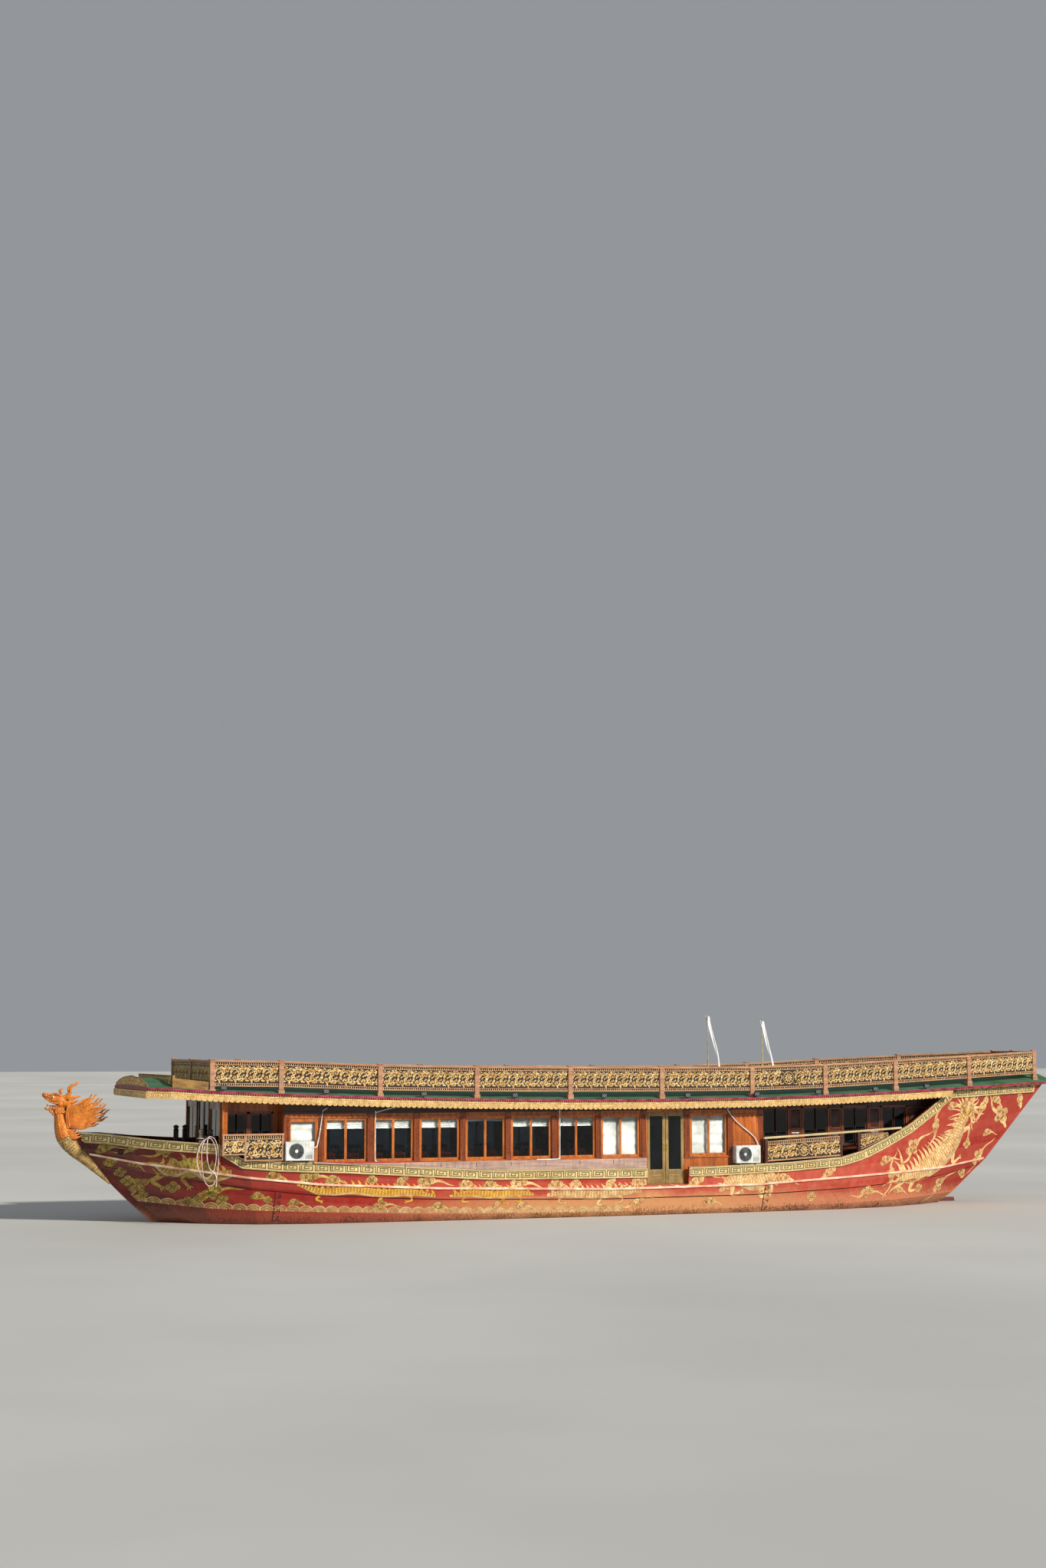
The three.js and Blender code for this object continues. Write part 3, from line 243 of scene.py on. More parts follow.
rope = bpy.data.objects.new("mooring_rope", rope_curve)
scene.collection.objects.link(rope)
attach(rope, "root")
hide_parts("rope_hank")

# Hull
# Carvel planking on frames under red oil paint: glossy crimson at the bow, darkened towards the stem as
# painted shade, bright amidships and faded salmon aft, chalky and rust brown along the waterline, with brown
# red antifouling below it.

# Board seams: the joint between boards of one pitch, and a value of its own for each board
boards, given, out = new_group(
    "board_seams", {"Across": ("Float", 0.0), "Pitch": ("Float", 0.15), "Seam": ("Float", 0.05)},
    ("Seam", "Board"))
count = calc(boards, "DIVIDE", given["Across"], given["Pitch"])
edge = calc(boards, "ABSOLUTE", calc(boards, "SUBTRACT", calc(boards, "FRACT", count), 0.5))
boards.links.new(
    calc(boards, "GREATER_THAN", edge, calc(boards, "SUBTRACT", 0.5, given["Seam"])), out["Seam"])
number = put(boards, "TexWhiteNoise", {"W": calc(boards, "FLOOR", count)}, noise_dimensions="1D")
boards.links.new(number.outputs[0], out["Board"])


def upward(tree):
    """How far the surface looks up, from -1 to 1."""
    return put(tree, "SeparateXYZ", {0: put(tree, "NewGeometry").outputs["Normal"]}).outputs[2]


def hull_paint(name, seams=True):
    """The hull's red paint, aged by place along the boat and by height over the water. Its darkening
    towards the stem is painted shade.
    """
    mat, tree, shader, place = new_material(name, 0.35, Coat_Roughness=0.25, Specular_IOR_Level=0.3)
    x, y, z = put(tree, "SeparateXYZ", {0: place}).outputs
    soft = use(tree, uneven, {"Vector": place, "Scale": 1.3})
    fine = use(tree, uneven, {"Vector": place, "Scale": 5.0})
    drift = calc(tree, "ADD", x, spread(tree, soft["Mottle"], 0, 1, -1.2, 1.2))
    # Darker towards the stem: the bow's deep crimson is darkened further as painted shade
    colour = tone("38050a")
    for start, end, shade in ((-13.5, -9.8, "8c0a0c"), (-9.5, -5.0, "ab2414"), (-4.0, 3.0, "b33c2b"),
                              (8.5, 11.0, "9c1f13")):
        colour = blend(tree, spread(tree, drift, start, end), colour, tone(shade))
    fade = times(tree, fine["Mottle"], spread(tree, x, -11.0, 2.0, 0.05, 0.36))
    fade = times(tree, fade, spread(tree, x, 7.0, 10.0, 1.0, 0.4))
    colour = blend(tree, fade, colour, tone("d07a62"))
    colour = blend(tree, times(tree, soft["Streaks"], 0.22), colour, tone("8e2c20"))
    height = fine["Mottle"]
    if seams:
        rise = times(tree, x, x, 0.0052)
        planks = use(tree, boards, {"Across": calc(tree, "SUBTRACT", z, rise), "Pitch": 0.24, "Seam": 0.012})
        seam = times(tree, planks["Seam"], spread(tree, fine["Grime"], 0, 1, 0.15, 0.6))
        colour = blend(tree, seam, colour, tone("5a130e"))
        tint = times(tree, planks["Board"], 0.16)
        colour = blend(tree, tint, colour, tone("de7f66"))
        height = calc(tree, "SUBTRACT", height, planks["Seam"])
    salt = calc(tree, "ADD", z, spread(tree, fine["Streaks"], 0, 1, -0.16, 0.1))
    chalk = times(tree, spread(tree, salt, 0.5, 0.12), spread(tree, x, -8.0, 0.0, 0.25, 0.8))
    colour = blend(tree, chalk, colour, tone("cf8f6c"))
    below_lap = calc(tree, "ADD", z, spread(tree, soft["Mottle"], 0, 1, -0.1, 0.1))
    amidships = times(tree, spread(tree, x, -6.5, -2.0, 0.0, 0.75),
                     spread(tree, x, 3.0, 7.0, 1.0, 0.2))
    bleached = times(tree, spread(tree, below_lap, 0.72, 0.5), amidships)
    colour = blend(tree, bleached, colour, tone("d7a06c"))
    scum = times(tree, spread(tree, salt, 0.2, -0.02),
                spread(tree, soft["Mottle"], 0, 1, 0.5, 1.0))
    colour = blend(tree, scum, colour, tone("5b3320"))
    colour = blend(tree, spread(tree, z, 0.03, -0.02), colour, tone("4a1d16"))
    up = upward(tree)
    deck = use(tree, boards, {"Across": y, "Pitch": 0.14, "Seam": 0.05})
    timber = blend(tree, deck["Board"], tone("5f4330"), tone("a07a58"))
    timber = blend(tree, times(tree, soft["Grime"], 0.5), timber, tone("8d8478"))
    timber = blend(tree, deck["Seam"], timber, tone("1c120c"))
    colour = blend(tree, spread(tree, up, 0.86, 0.94), colour, timber)
    gloss = spread(tree, drift, -11.0, -7.5, 0.2, 0.5)
    gloss = calc(tree, "ADD", gloss, times(tree, fine["Mottle"], 0.15))
    dress(tree, shader, colour, gloss, height, 0.004)
    tree.links.new(spread(tree, drift, -10.5, -8.0, 0.15, 0.0), shader.inputs["Coat Weight"])
    return mat


def repaint(names, *mats):
    """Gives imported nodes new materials."""
    for name in names:
        nodes[name].data.materials.clear()
        for mat in mats:
            nodes[name].data.materials.append(mat)


def both(*names):
    return [f"{name}_{side}" for name in names for side in ("port", "starboard")]


hull_red = hull_paint("hull_red")
repaint(["hull_body", "transom", *both("bow_bulwark", "topside_fore", "topside_aft")], hull_red)
repaint(["keel_and_stem"], hull_paint("stem_red", seams=False))
# Rub strake: pale on all but its downward faces, which keep the hull red; the pale is a painted highlight
strake_highlight_paint, tree, shader, place = new_material("strake_highlight_paint", 0.4)
brushed = use(tree, uneven, {"Vector": place, "Scale": 3.0})
up = upward(tree)
pale = blend(tree, brushed["Mottle"], tone("e5a085"), tone("fbe8cf"))
colour = blend(tree, spread(tree, up, -0.85, -0.65), tone("a5281c"), pale)
dress(tree, shader, colour, None, brushed["Mottle"], 0.002)
repaint(both("rub_strake"), strake_highlight_paint)

# Side view of the port planking, for what lies on it
outside_names = ["hull_body", "bow_bulwark_port", "topside_fore_port", "topside_aft_port"]
skin_points, skin_faces = [], []
for name in outside_names:
    first = len(skin_points)
    skin_points += [v.co.copy() for v in nodes[name].data.vertices]
    skin_faces += [tuple(first + i for i in p.vertices) for p in nodes[name].data.polygons]
skin_tree = BVHTree.FromPolygons(skin_points, skin_faces)


def skin(x, z, off=0.0):
    """The port planking's outer face at a place in side view, moved out by off."""
    hit = skin_tree.ray_cast(Vector((x, -6.0, z)), Vector((0, 1, 0)))
    if hit[0] is None or hit[0].y > 0.2:
        return (x, 0.0, z)
    return (x, hit[0].y - off, z)


# Stem cheeks
# Thin red boards bent over the joint between the stem and the planking, nailed to both and painted with the
# hull. Each closes the gap from the waterline up to the rail.
class Stock:
    """Gathers points and faces until they are one mesh in place. Starboard is port mirrored."""

    def __init__(self):
        self.points, self.faces, self.paints = [], [], []

    def add(self, part, paint=0):
        points, faces = part
        first = len(self.points)
        self.points += [tuple(map(float, p)) for p in points]
        self.faces += [tuple(first + i for i in face) for face in faces]
        self.paints += paint if isinstance(paint, list) else [paint] * len(faces)
        return self

    def mirrored(self):
        twin = Stock()
        twin.points = [(x, -y, z) for x, y, z in self.points]
        twin.faces = [face[::-1] for face in self.faces]
        twin.paints = list(self.paints)
        return twin

    def facing(self, way):
        """Turns each face so that it looks along way, for skins with one side."""
        points = np.array(self.points)
        for i, face in enumerate(self.faces):
            a, b, c = points[face[0]], points[face[1]], points[face[2]]
            if np.dot(np.cross(b - a, c - a), way) < 0:
                self.faces[i] = face[::-1]
        return self

    def piece(self, name, mats, body="root", slot=None, replaces=(), smooth=None):
        mesh = bpy.data.meshes.new(name)
        mesh.from_pydata(self.points, [], self.faces)
        mats = mats if isinstance(mats, (list, tuple)) else [mats]
        for mat in mats:
            mesh.materials.append(mat)
        mesh.polygons.foreach_set("material_index", self.paints)
        if smooth:
            mesh.shade_smooth()
            mesh.set_sharp_from_angle(angle=math.radians(smooth))
        mesh.validate()
        made = bpy.data.objects.new(name, mesh)
        scene.collection.objects.link(made)
        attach(made, body)
        if replaces:
            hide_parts(*replaces)
        return made

    def pair(self, name, mats, slot=None, replaces=(), smooth=None, body=None):
        """The port piece and its mirror image. Replaces and body are names without the side."""
        made = []
        for side, stock in (("port", self), ("starboard", self.mirrored())):
            made.append(stock.piece(
                f"{name}_{side}", mats, f"{body}_{side}" if body else "root", slot,
                [f"{r}_{side}" for r in replaces], smooth))
        return made


def grid(rows, closed=False, caps=False):
    """Faces over rows of points, each row the same length; closed rows come round to their start."""
    count, long = len(rows), len(rows[0])
    faces = []
    for r in range(count - 1):
        for i in range(long if closed else long - 1):
            a, b = r * long + i, r * long + (i + 1) % long
            faces.append((a, b, b + long, a + long))
    if caps:
        faces += [tuple(range(long))[::-1], tuple(range((count - 1) * long, count * long))]
    return [p for row in rows for p in row], faces


cheeks = Stock()
rows = []
for z in np.linspace(0.0, 2.4, 40):
    stem = -12.15 - 0.87 * z - 0.11 * z * (3 - z)
    rows.append([(stem - 0.075, -0.0605, z), (stem - 0.07, -0.066, z), (stem, -0.072, z),
                 skin(stem + 0.1, z, 0.008), skin(stem + 0.106, z)])
cheeks.add(grid(rows))
cheeks.pair("stem_cheeks", hull_red, slot="hull_paint", smooth=40)

# Key pattern band
# A cream board nailed along the sheer, with a bead along both edges and a painted dark green key pattern.
# The board follows the sheer down to the waist and up the stern's steep sweep to the roof.
SHEER = [  # x and z of the band's top edge
    (-14.62, 2.42), (-14.49, 2.42), (-13.67, 2.385), (-12.62, 2.26), (-11.73, 2.19), (-10.97, 2.14),
    (-10.37, 1.765), (-9.3, 1.67), (-7.56, 1.60), (-3.5, 1.35), (1.06, 1.32), (3.0, 1.33), (5.54, 1.41),
    (7.2, 1.52), (7.9, 1.69), (8.7, 2.01), (9.5, 2.40), (10.23, 2.83), (10.9, 3.33), (11.05, 3.43),
    (11.69, 3.46), (14.58, 3.57), (14.85, 3.58),
]
BAND = 0.27
KEY_PITCH = 0.4
KEY_LINE = 0.021
KEY_MARGIN = 0.06
KEY_PROUD = 0.015
BEAD_WIDE = 0.035
BAND_STEP = 0.06
BAND_RUNS = [(-14.45, -10.97), (-10.955, 1.055), (2.335, 14.55)]


def read(table, x, column=1):
    """Straight-line reading of a table of rows that start with x."""
    return float(np.interp(x, [row[0] for row in table], [row[column] for row in table]))


def band_frame(x):
    """Top edge of the band at x, and the way down across it."""
    slope = (read(SHEER, x + 0.12) - read(SHEER, x - 0.12)) / 0.24
    lean = slope / math.hypot(1, slope) if 8.0 < x < 10.95 else 0.0
    return read(SHEER, x), np.array([lean, -math.sqrt(1 - lean * lean)])


def on_band(x, down, off):
    """A place on the band, set out from the proudest planking close by."""
    z, way = band_frame(x)
    x, z = x + way[0] * down, z + way[1] * down
    return (x, min(skin(x + step, z)[1] for step in (-0.025, 0, 0.025)) - off, z)


def band_strip(run, ups, offs):
    """A strip along the band through several lines: how far down each lies and how far out it stands."""
    rows = []
    for x in np.linspace(*run, max(int((run[1] - run[0]) / BAND_STEP), 2)):
        face = [on_band(x, min(max(u, 0.012), BAND - 0.012), 0.0) for u in ups]
        line = []
        for u, off, p in zip(ups, offs, face):
            z, way = band_frame(x)
            line.append((x + way[0] * u, p[1] - off, z + way[1] * u))
        rows.append(line)
    return grid(rows)


def key_unit(width, high):
    """Centre lines of one unit of the key pattern, in a box of width by high."""
    line = [(0, 0), (0, 1), (0.82, 1), (0.82, 0.24), (0.3, 0.24), (0.3, 0.68), (0.58, 0.68), (0.58, 0.46)]
    back = [(0.12, 0.8), (0.12, 0.0), (1, 0.0)]
    return [[(u * width, v * high) for u, v in run] for run in (line, back)]


# Wood grain: fine streaks and a broad figure along the stretched way
grain, given, out = new_group(
    "wood_grain", {"Vector": ("Vector", None), "Stretch": ("Vector", (1, 8, 8))}, ("Grain", "Figure"))
along = stretched(grain, given["Vector"], given["Stretch"])
grain.links.new(spread(grain, noise(grain, along, 9.0, 6.0, 0.7), 0.3, 0.7), out["Grain"])
grain.links.new(spread(grain, noise(grain, along, 1.7, 2.0), 0.35, 0.65), out["Figure"])

# Worn edges: where the surface turns sharply, in patches
worn, given, out = new_group(
    "worn_edges", {"Radius": ("Float", 0.01), "Vector": ("Vector", None)}, ("Wear",))
round_edge = put(worn, "Bevel", {"Radius": given["Radius"]}, samples=4).outputs[0]
plain = put(worn, "NewGeometry").outputs["Normal"]
turn = put(worn, "VectorMath", {0: round_edge, 1: plain}, operation="DOT_PRODUCT").outputs["Value"]
patchy = spread(worn, noise(worn, given["Vector"], 22.0), 0.42, 0.6)
worn.links.new(calc(worn, "MULTIPLY", spread(worn, turn, 0.97, 0.75), patchy, True), out["Wear"])


def finish(name, dark, light, rough=(0.45, 0.7), scale=3.0, stretch=None, seams=None, dirt=None, wear=None,
           depth=0.002, **values):
    """A finish between two tones. Stretch gives wood grain, seams = (axis, pitch) board joints,
    dirt = (colour, amount) grime and streaks, and wear = (colour, radius) worn edges."""
    mat, tree, shader, place = new_material(name, rough[0], **values)
    paint = use(tree, uneven, {"Vector": place, "Scale": scale})
    height = paint["Mottle"]
    factor = paint["Mottle"]
    if stretch:
        wood = use(tree, grain, {"Vector": place, "Stretch": stretch})
        factor = calc(tree, "ADD", times(tree, wood["Grain"], 0.6),
                      times(tree, wood["Figure"], 0.5), True)
        height = wood["Grain"]
    colour = blend(tree, factor, tone(dark), tone(light))
    if seams:
        axis, pitch = seams
        split = put(tree, "SeparateXYZ", {0: place}).outputs[axis]
        planks = use(tree, boards, {"Across": split, "Pitch": pitch, "Seam": 0.008 / pitch})
        shade = spread(tree, planks["Board"], 0, 1, 0.72, 1.12)
        shade = times(tree, shade, spread(tree, planks["Seam"], 0, 1, 1.0, 0.3))
        colour = put(tree, "VectorMath", {0: colour, "Scale": shade}, operation="SCALE").outputs[0]
        height = calc(tree, "SUBTRACT", height, times(tree, planks["Seam"], 2.0))
    if dirt:
        mask = times(tree, paint["Grime"], paint["Streaks"], dirt[1])
        colour = blend(tree, mask, colour, tone(dirt[0]))
    if wear:
        edges = use(tree, worn, {"Radius": wear[1], "Vector": place})
        colour = blend(tree, edges["Wear"], colour, tone(wear[0]))
    dress(tree, shader, colour, spread(tree, paint["Mottle"], 0, 1, *rough), height, depth)
    return mat


cream_board = finish("cream_board", "c8a661", "f6dfa6", rough=(0.5, 0.75), scale=2.2, stretch=(0.8, 7, 7),
                     dirt=("6d5f40", 0.45), depth=0.002)
key_green = finish("key_green", "55502c", "7d7344", rough=(0.5, 0.8), scale=6.0)
cap_wood = finish("cap_wood", "8d7848", "d8c48d", rough=(0.5, 0.8), scale=3.0, stretch=(0.8, 8, 8),
                  wear=("efe2b8", 0.01))

band_board = Stock()
key_lines = Stock()
for run in BAND_RUNS:
    inner = BEAD_WIDE - 0.005
    band_board.add(band_strip(run, [inner, 0.05, BAND / 2, BAND - 0.05, BAND - inner], [0.009] * 5))
    for edge in (0.0, BAND - BEAD_WIDE):
        bead = [edge, edge + 0.004, edge + 0.017, edge + 0.031, edge + BEAD_WIDE]
        band_board.add(band_strip(run, bead, [0.0, 0.016, 0.021, 0.016, 0.0]), 1)
    clear = run[1] - run[0] - KEY_MARGIN
    units = int(clear / KEY_PITCH)
    for n in range(units):
        start = run[0] + KEY_MARGIN / 2 + n * clear / units
        for bar in key_unit(clear / units, BAND - 2 * KEY_MARGIN):
            for ends in zip(bar, bar[1:]):
                (left, top), (right, foot) = np.min(ends, 0) - KEY_LINE / 2, np.max(ends, 0) + KEY_LINE / 2
                cells = max(int((right - left) / BAND_STEP), 1)
                key_lines.add(grid([[on_band(start + u, KEY_MARGIN + v, KEY_PROUD) for v in (top, foot)]
                                    for u in np.linspace(left, right, cells + 1)]))
band_board.pair("band_board", [cream_board, cap_wood], slot="gold_carving", smooth=40)
key_lines.pair("band_key", key_green, slot="gold_carving")

# Painted ornament
# Clouds, dragons and a band of wave scallops, brushed on the planking in gold, khaki and bright yellow.
# Each layer of paint is a thin skin that follows the planks, laid over the one before.
def directions(line):
    """The way of a line at each of its points."""
    ways = np.gradient(line, axis=0)
    return ways / np.maximum(np.linalg.norm(ways, axis=1), 1e-9)[:, None]


def around(count):
    """Angles at an even pitch round a circle."""
    return np.arange(count) * math.tau / count


def ribbon(line, widths):
    """A brush stroke in side view: a line with a width at each point."""
    line = np.asarray(line, float)
    widths = np.broadcast_to(np.asarray(widths, float), (len(line),))
    ways = directions(line)
    normals = np.stack([-ways[:, 1], ways[:, 0]], 1)
    return grid([[p - n * w / 2, p, p + n * w / 2] for p, n, w in zip(line, normals, widths)])


def disc(centre, radius, count=14, squash=1.0):
    """A round dab of paint."""
    turns = around(count)
    rows = [[(centre[0] + math.cos(t) * radius * k, centre[1] + math.sin(t) * radius * k * squash)
             for t in turns] for k in (0.02, 0.55, 1.0)]
    points, faces = grid(rows, True)
    return points, faces + [tuple(range(count))]


def curl(centre, radius, turns, start, hand=1, count=18):
    """A spiral line that winds in towards its centre."""
    steps = np.linspace(0, 1, count)
    return [(centre[0] + math.cos(start + hand * t * turns * math.tau) * radius * (1 - 0.85 * t),
             centre[1] + math.sin(start + hand * t * turns * math.tau) * radius * (1 - 0.85 * t))
            for t in steps]


def wave_line(start, angle, long, swing, waves=1.0, count=10):
    """A tail that swings to and fro on its way."""
    way = np.array([math.cos(angle), math.sin(angle)])
    side = np.array([-way[1], way[0]])
    return [np.array(start) + way * long * t + side * swing * math.sin(math.tau * waves * t)
            for t in np.linspace(0, 1, count)]


class Brush:
    """Gathers painted shapes in side view, by colour, and lays them on the planking."""

    def __init__(self):
        self.layers = []

    def dab(self, shape, colour, level):
        self.layers.append((shape, colour, level))

    def skins(self, on, fits):
        """The shapes laid on a surface, without the faces that don't fit on it."""
        laid = Stock()
        for (points, faces), colour, level in self.layers:
            points, faces = refined(points, faces, 0.09)
            placed = [on(a, b, 0.0015 + 0.0012 * level) for a, b in points]
            laid.add((placed, [f for f in faces if all(fits(placed[i]) for i in f)]), colour)
        return laid

    def lay(self, name, mats, slot):
        on_planks = self.skins(skin, lambda point: point[1] < -0.03)
        on_planks.facing((0, -1, 0)).pair(name, mats, slot=slot)


def refined(points, faces, limit):
    """Splits long edges, so that a flat shape can follow a curved side."""
    sheet = bmesh.new()
    corners = [sheet.verts.new((p[0], 0, p[1])) for p in points]
    for face in faces:
        if len(set(face)) == len(face):
            try:
                sheet.faces.new([corners[i] for i in face])
            except ValueError:
                continue
    for _ in range(5):
        long_edges = [e for e in sheet.edges if e.calc_length() > limit]
        if not long_edges:
            break
        bmesh.ops.subdivide_edges(sheet, edges=long_edges, cuts=1, use_grid_fill=True)
    bmesh.ops.triangulate(sheet, faces=sheet.faces[:])
    sheet.verts.index_update()
    result = [(v.co.x, v.co.z) for v in sheet.verts], [tuple(v.index for v in f.verts) for f in sheet.faces]
    sheet.free()
    return result


GOLD, KHAKI, YELLOW, PALE = range(4)


def cloud(brush, centre, size, lobes, tails, turn=0.0):
    """A cloud of round lobes with a curl in each, and tails: (x, z, size) and (x, z, angle, length)."""
    c, s = math.cos(turn), math.sin(turn)
    place = lambda x, z: (centre[0] + (x * c - z * s) * size, centre[1] + (x * s + z * c) * size)
    for x, z, angle, long in tails:
        line = wave_line(place(x, z), angle + turn, long * size, 0.11 * size, 0.8, 12)
        taper = np.linspace(0.34, 0.03, 12) * size * 0.62
        brush.dab(ribbon(line, taper + 0.008), KHAKI, 0)
        brush.dab(ribbon(line, taper), GOLD, 1)
    for x, z, r in lobes:
        brush.dab(disc(place(x, z), r * size + 0.006, 14, 0.92), KHAKI, 0)
    for x, z, r in lobes:
        brush.dab(disc(place(x, z), r * size - 0.008, 14, 0.92), GOLD, 2)
    for i, (x, z, r) in enumerate(lobes):
        line = curl(place(x, z), r * size * 0.74, 1.3, i * 1.7, 1 if i % 2 else -1)
        brush.dab(ribbon(line, np.linspace(0.022, 0.01, len(line))), KHAKI, 3)


PLUME = ([(0, 0, 0.3), (-0.34, 0.08, 0.24), (0.34, 0.1, 0.25), (0.04, 0.34, 0.22), (0.0, -0.26, 0.18)],
         [(0.3, 0.0, -0.1, 1.5), (-0.3, -0.1, 3.3, 1.2)])
PUFF = ([(0, 0, 0.34), (-0.3, -0.12, 0.22), (0.32, -0.06, 0.24)], [(0.2, -0.15, -0.25, 1.2)])
TWIST = ([(0, 0, 0.3), (0.26, 0.24, 0.22), (-0.24, -0.26, 0.2)],
         [(0.2, 0.3, 0.5, 1.4), (-0.2, -0.3, 3.6, 1.4)])
KNOT = ([(0, 0.2, 0.24), (0.24, 0, 0.22), (0, -0.2, 0.22), (-0.24, 0, 0.22)], [])

# The lines that the ornament follows along port: rub strake and lap
STRAKE_LINE = [
    (-13.98, 1.83), (-12.785, 1.61), (-11.63, 1.46), (-10.133, 1.25), (-8.235, 1.05), (-5, 0.89), (0, 0.765),
    (4.5, 0.8), (7.532, 0.95), (9.439, 1.04), (11.023, 1.12), (12.842, 1.32),
]
LAP_LINE = [
    (-13.7, 1.52), (-12.6, 1.34), (-11.495, 1.19), (-10.056, 0.96), (-8.225, 0.76), (-5, 0.6), (0, 0.5),
    (4.5, 0.52), (7.521, 0.63), (9.399, 0.74), (10.906, 0.87), (12.6, 1.11),
]


def above_strake(x, share=0.5):
    """A height between the rub strake and the key band."""
    low, high = read(STRAKE_LINE, x) + 0.03, read(SHEER, x) - BAND
    return low + (high - low) * share


def above_lap(x, share=0.5):
    """A height between the lap and the rub strake."""
    low, high = read(LAP_LINE, x), read(STRAKE_LINE, x) - 0.03
    return low + (high - low) * share


# Clouds of the bow and stern: kind, x, z, size, turn. Those amidships stand in a row above the rub strake.
CLOUDS = [
    (PUFF, -13.7, 2.0, 0.38, 0.4), (TWIST, -13.05, 2.0, 0.3, -0.3), (PLUME, -12.25, 1.95, 0.42, 0.1),
    (KNOT, -13.5, 1.62, 0.36, 0.2), (KNOT, -13.22, 1.36, 0.34, 0.4), (KNOT, -13.02, 1.13, 0.36, 0.1),
    (PLUME, -12.72, 0.98, 0.44, 0.6), (KNOT, -12.62, 0.74, 0.32, 0.3), (PUFF, -12.95, 1.6, 0.26, -0.2),
    (KNOT, -11.95, 0.98, 0.4, 0.0), (KNOT, -11.55, 0.6, 0.34, 0.3), (KNOT, -11.28, 0.7, 0.36, 0.0),
    (PLUME, -11.0, 0.84, 0.44, 0.3), (KNOT, -10.74, 0.66, 0.34, 0.5), (PUFF, -9.9, 0.78, 0.34, -0.1),
    (KNOT, -9.62, 0.66, 0.26, 0.0), (PUFF, -8.95, 0.6, 0.3, 0.1), (PLUME, -6.6, 0.44, 0.34, 0.1),
    (PUFF, -5.0, 0.42, 0.36, 0.0), (TWIST, -3.3, 0.42, 0.3, -0.2), (PUFF, -2.6, 0.38, 0.32, 0.1),
    (TWIST, 0.8, 0.38, 0.4, -0.4), (TWIST, 2.55, 0.92, 0.46, -0.4), (PUFF, 3.02, 0.36, 0.38, 0.1),
    (PUFF, 5.3, 0.98, 0.4, 0.0), (KNOT, 6.3, 0.4, 0.36, 0.0), (TWIST, 6.8, 1.1, 0.44, -0.2),
    (PLUME, 8.2, 0.46, 0.42, 0.0), (PUFF, 8.75, 1.4, 0.4, 0.4), (TWIST, 9.0, 0.95, 0.42, 0.8),
    (PUFF, 9.35, 0.52, 0.36, 0.0), (PLUME, 9.75, 1.72, 0.5, 0.7), (TWIST, 10.6, 2.35, 0.42, 0.7),
    (PUFF, 11.15, 2.95, 0.36, 0.3), (PLUME, 11.1, 0.56, 0.46, 0.7), (KNOT, 11.95, 1.78, 0.36, 0.0),
    (TWIST, 12.4, 2.9, 0.54, 0.3), (PLUME, 13.25, 2.62, 0.6, -0.9), (PUFF, 12.95, 3.12, 0.4, -0.4),
    (TWIST, 14.0, 3.1, 0.46, 1.1), (PLUME, 12.6, 1.36, 0.46, 0.9), (PUFF, 12.05, 0.92, 0.4, -0.7),
    (PUFF, 12.8, 2.12, 0.34, 0.2), (KNOT, 10.2, 0.52, 0.34, 0.4),
]
KINDS = [PUFF, PLUME, PUFF, KNOT, TWIST, PLUME, PUFF]
for n, x in enumerate(np.arange(-9.55, 1.0, 0.86)):
    CLOUDS.append((KINDS[n % 7], x + 0.14 * math.sin(n * 2.3), above_strake(x, 0.46),
                   0.4 + 0.05 * math.sin(n * 1.7), 0.12 * math.sin(n * 3.1)))
SCALE_PITCH = 0.085
BODY_STEPS = 70


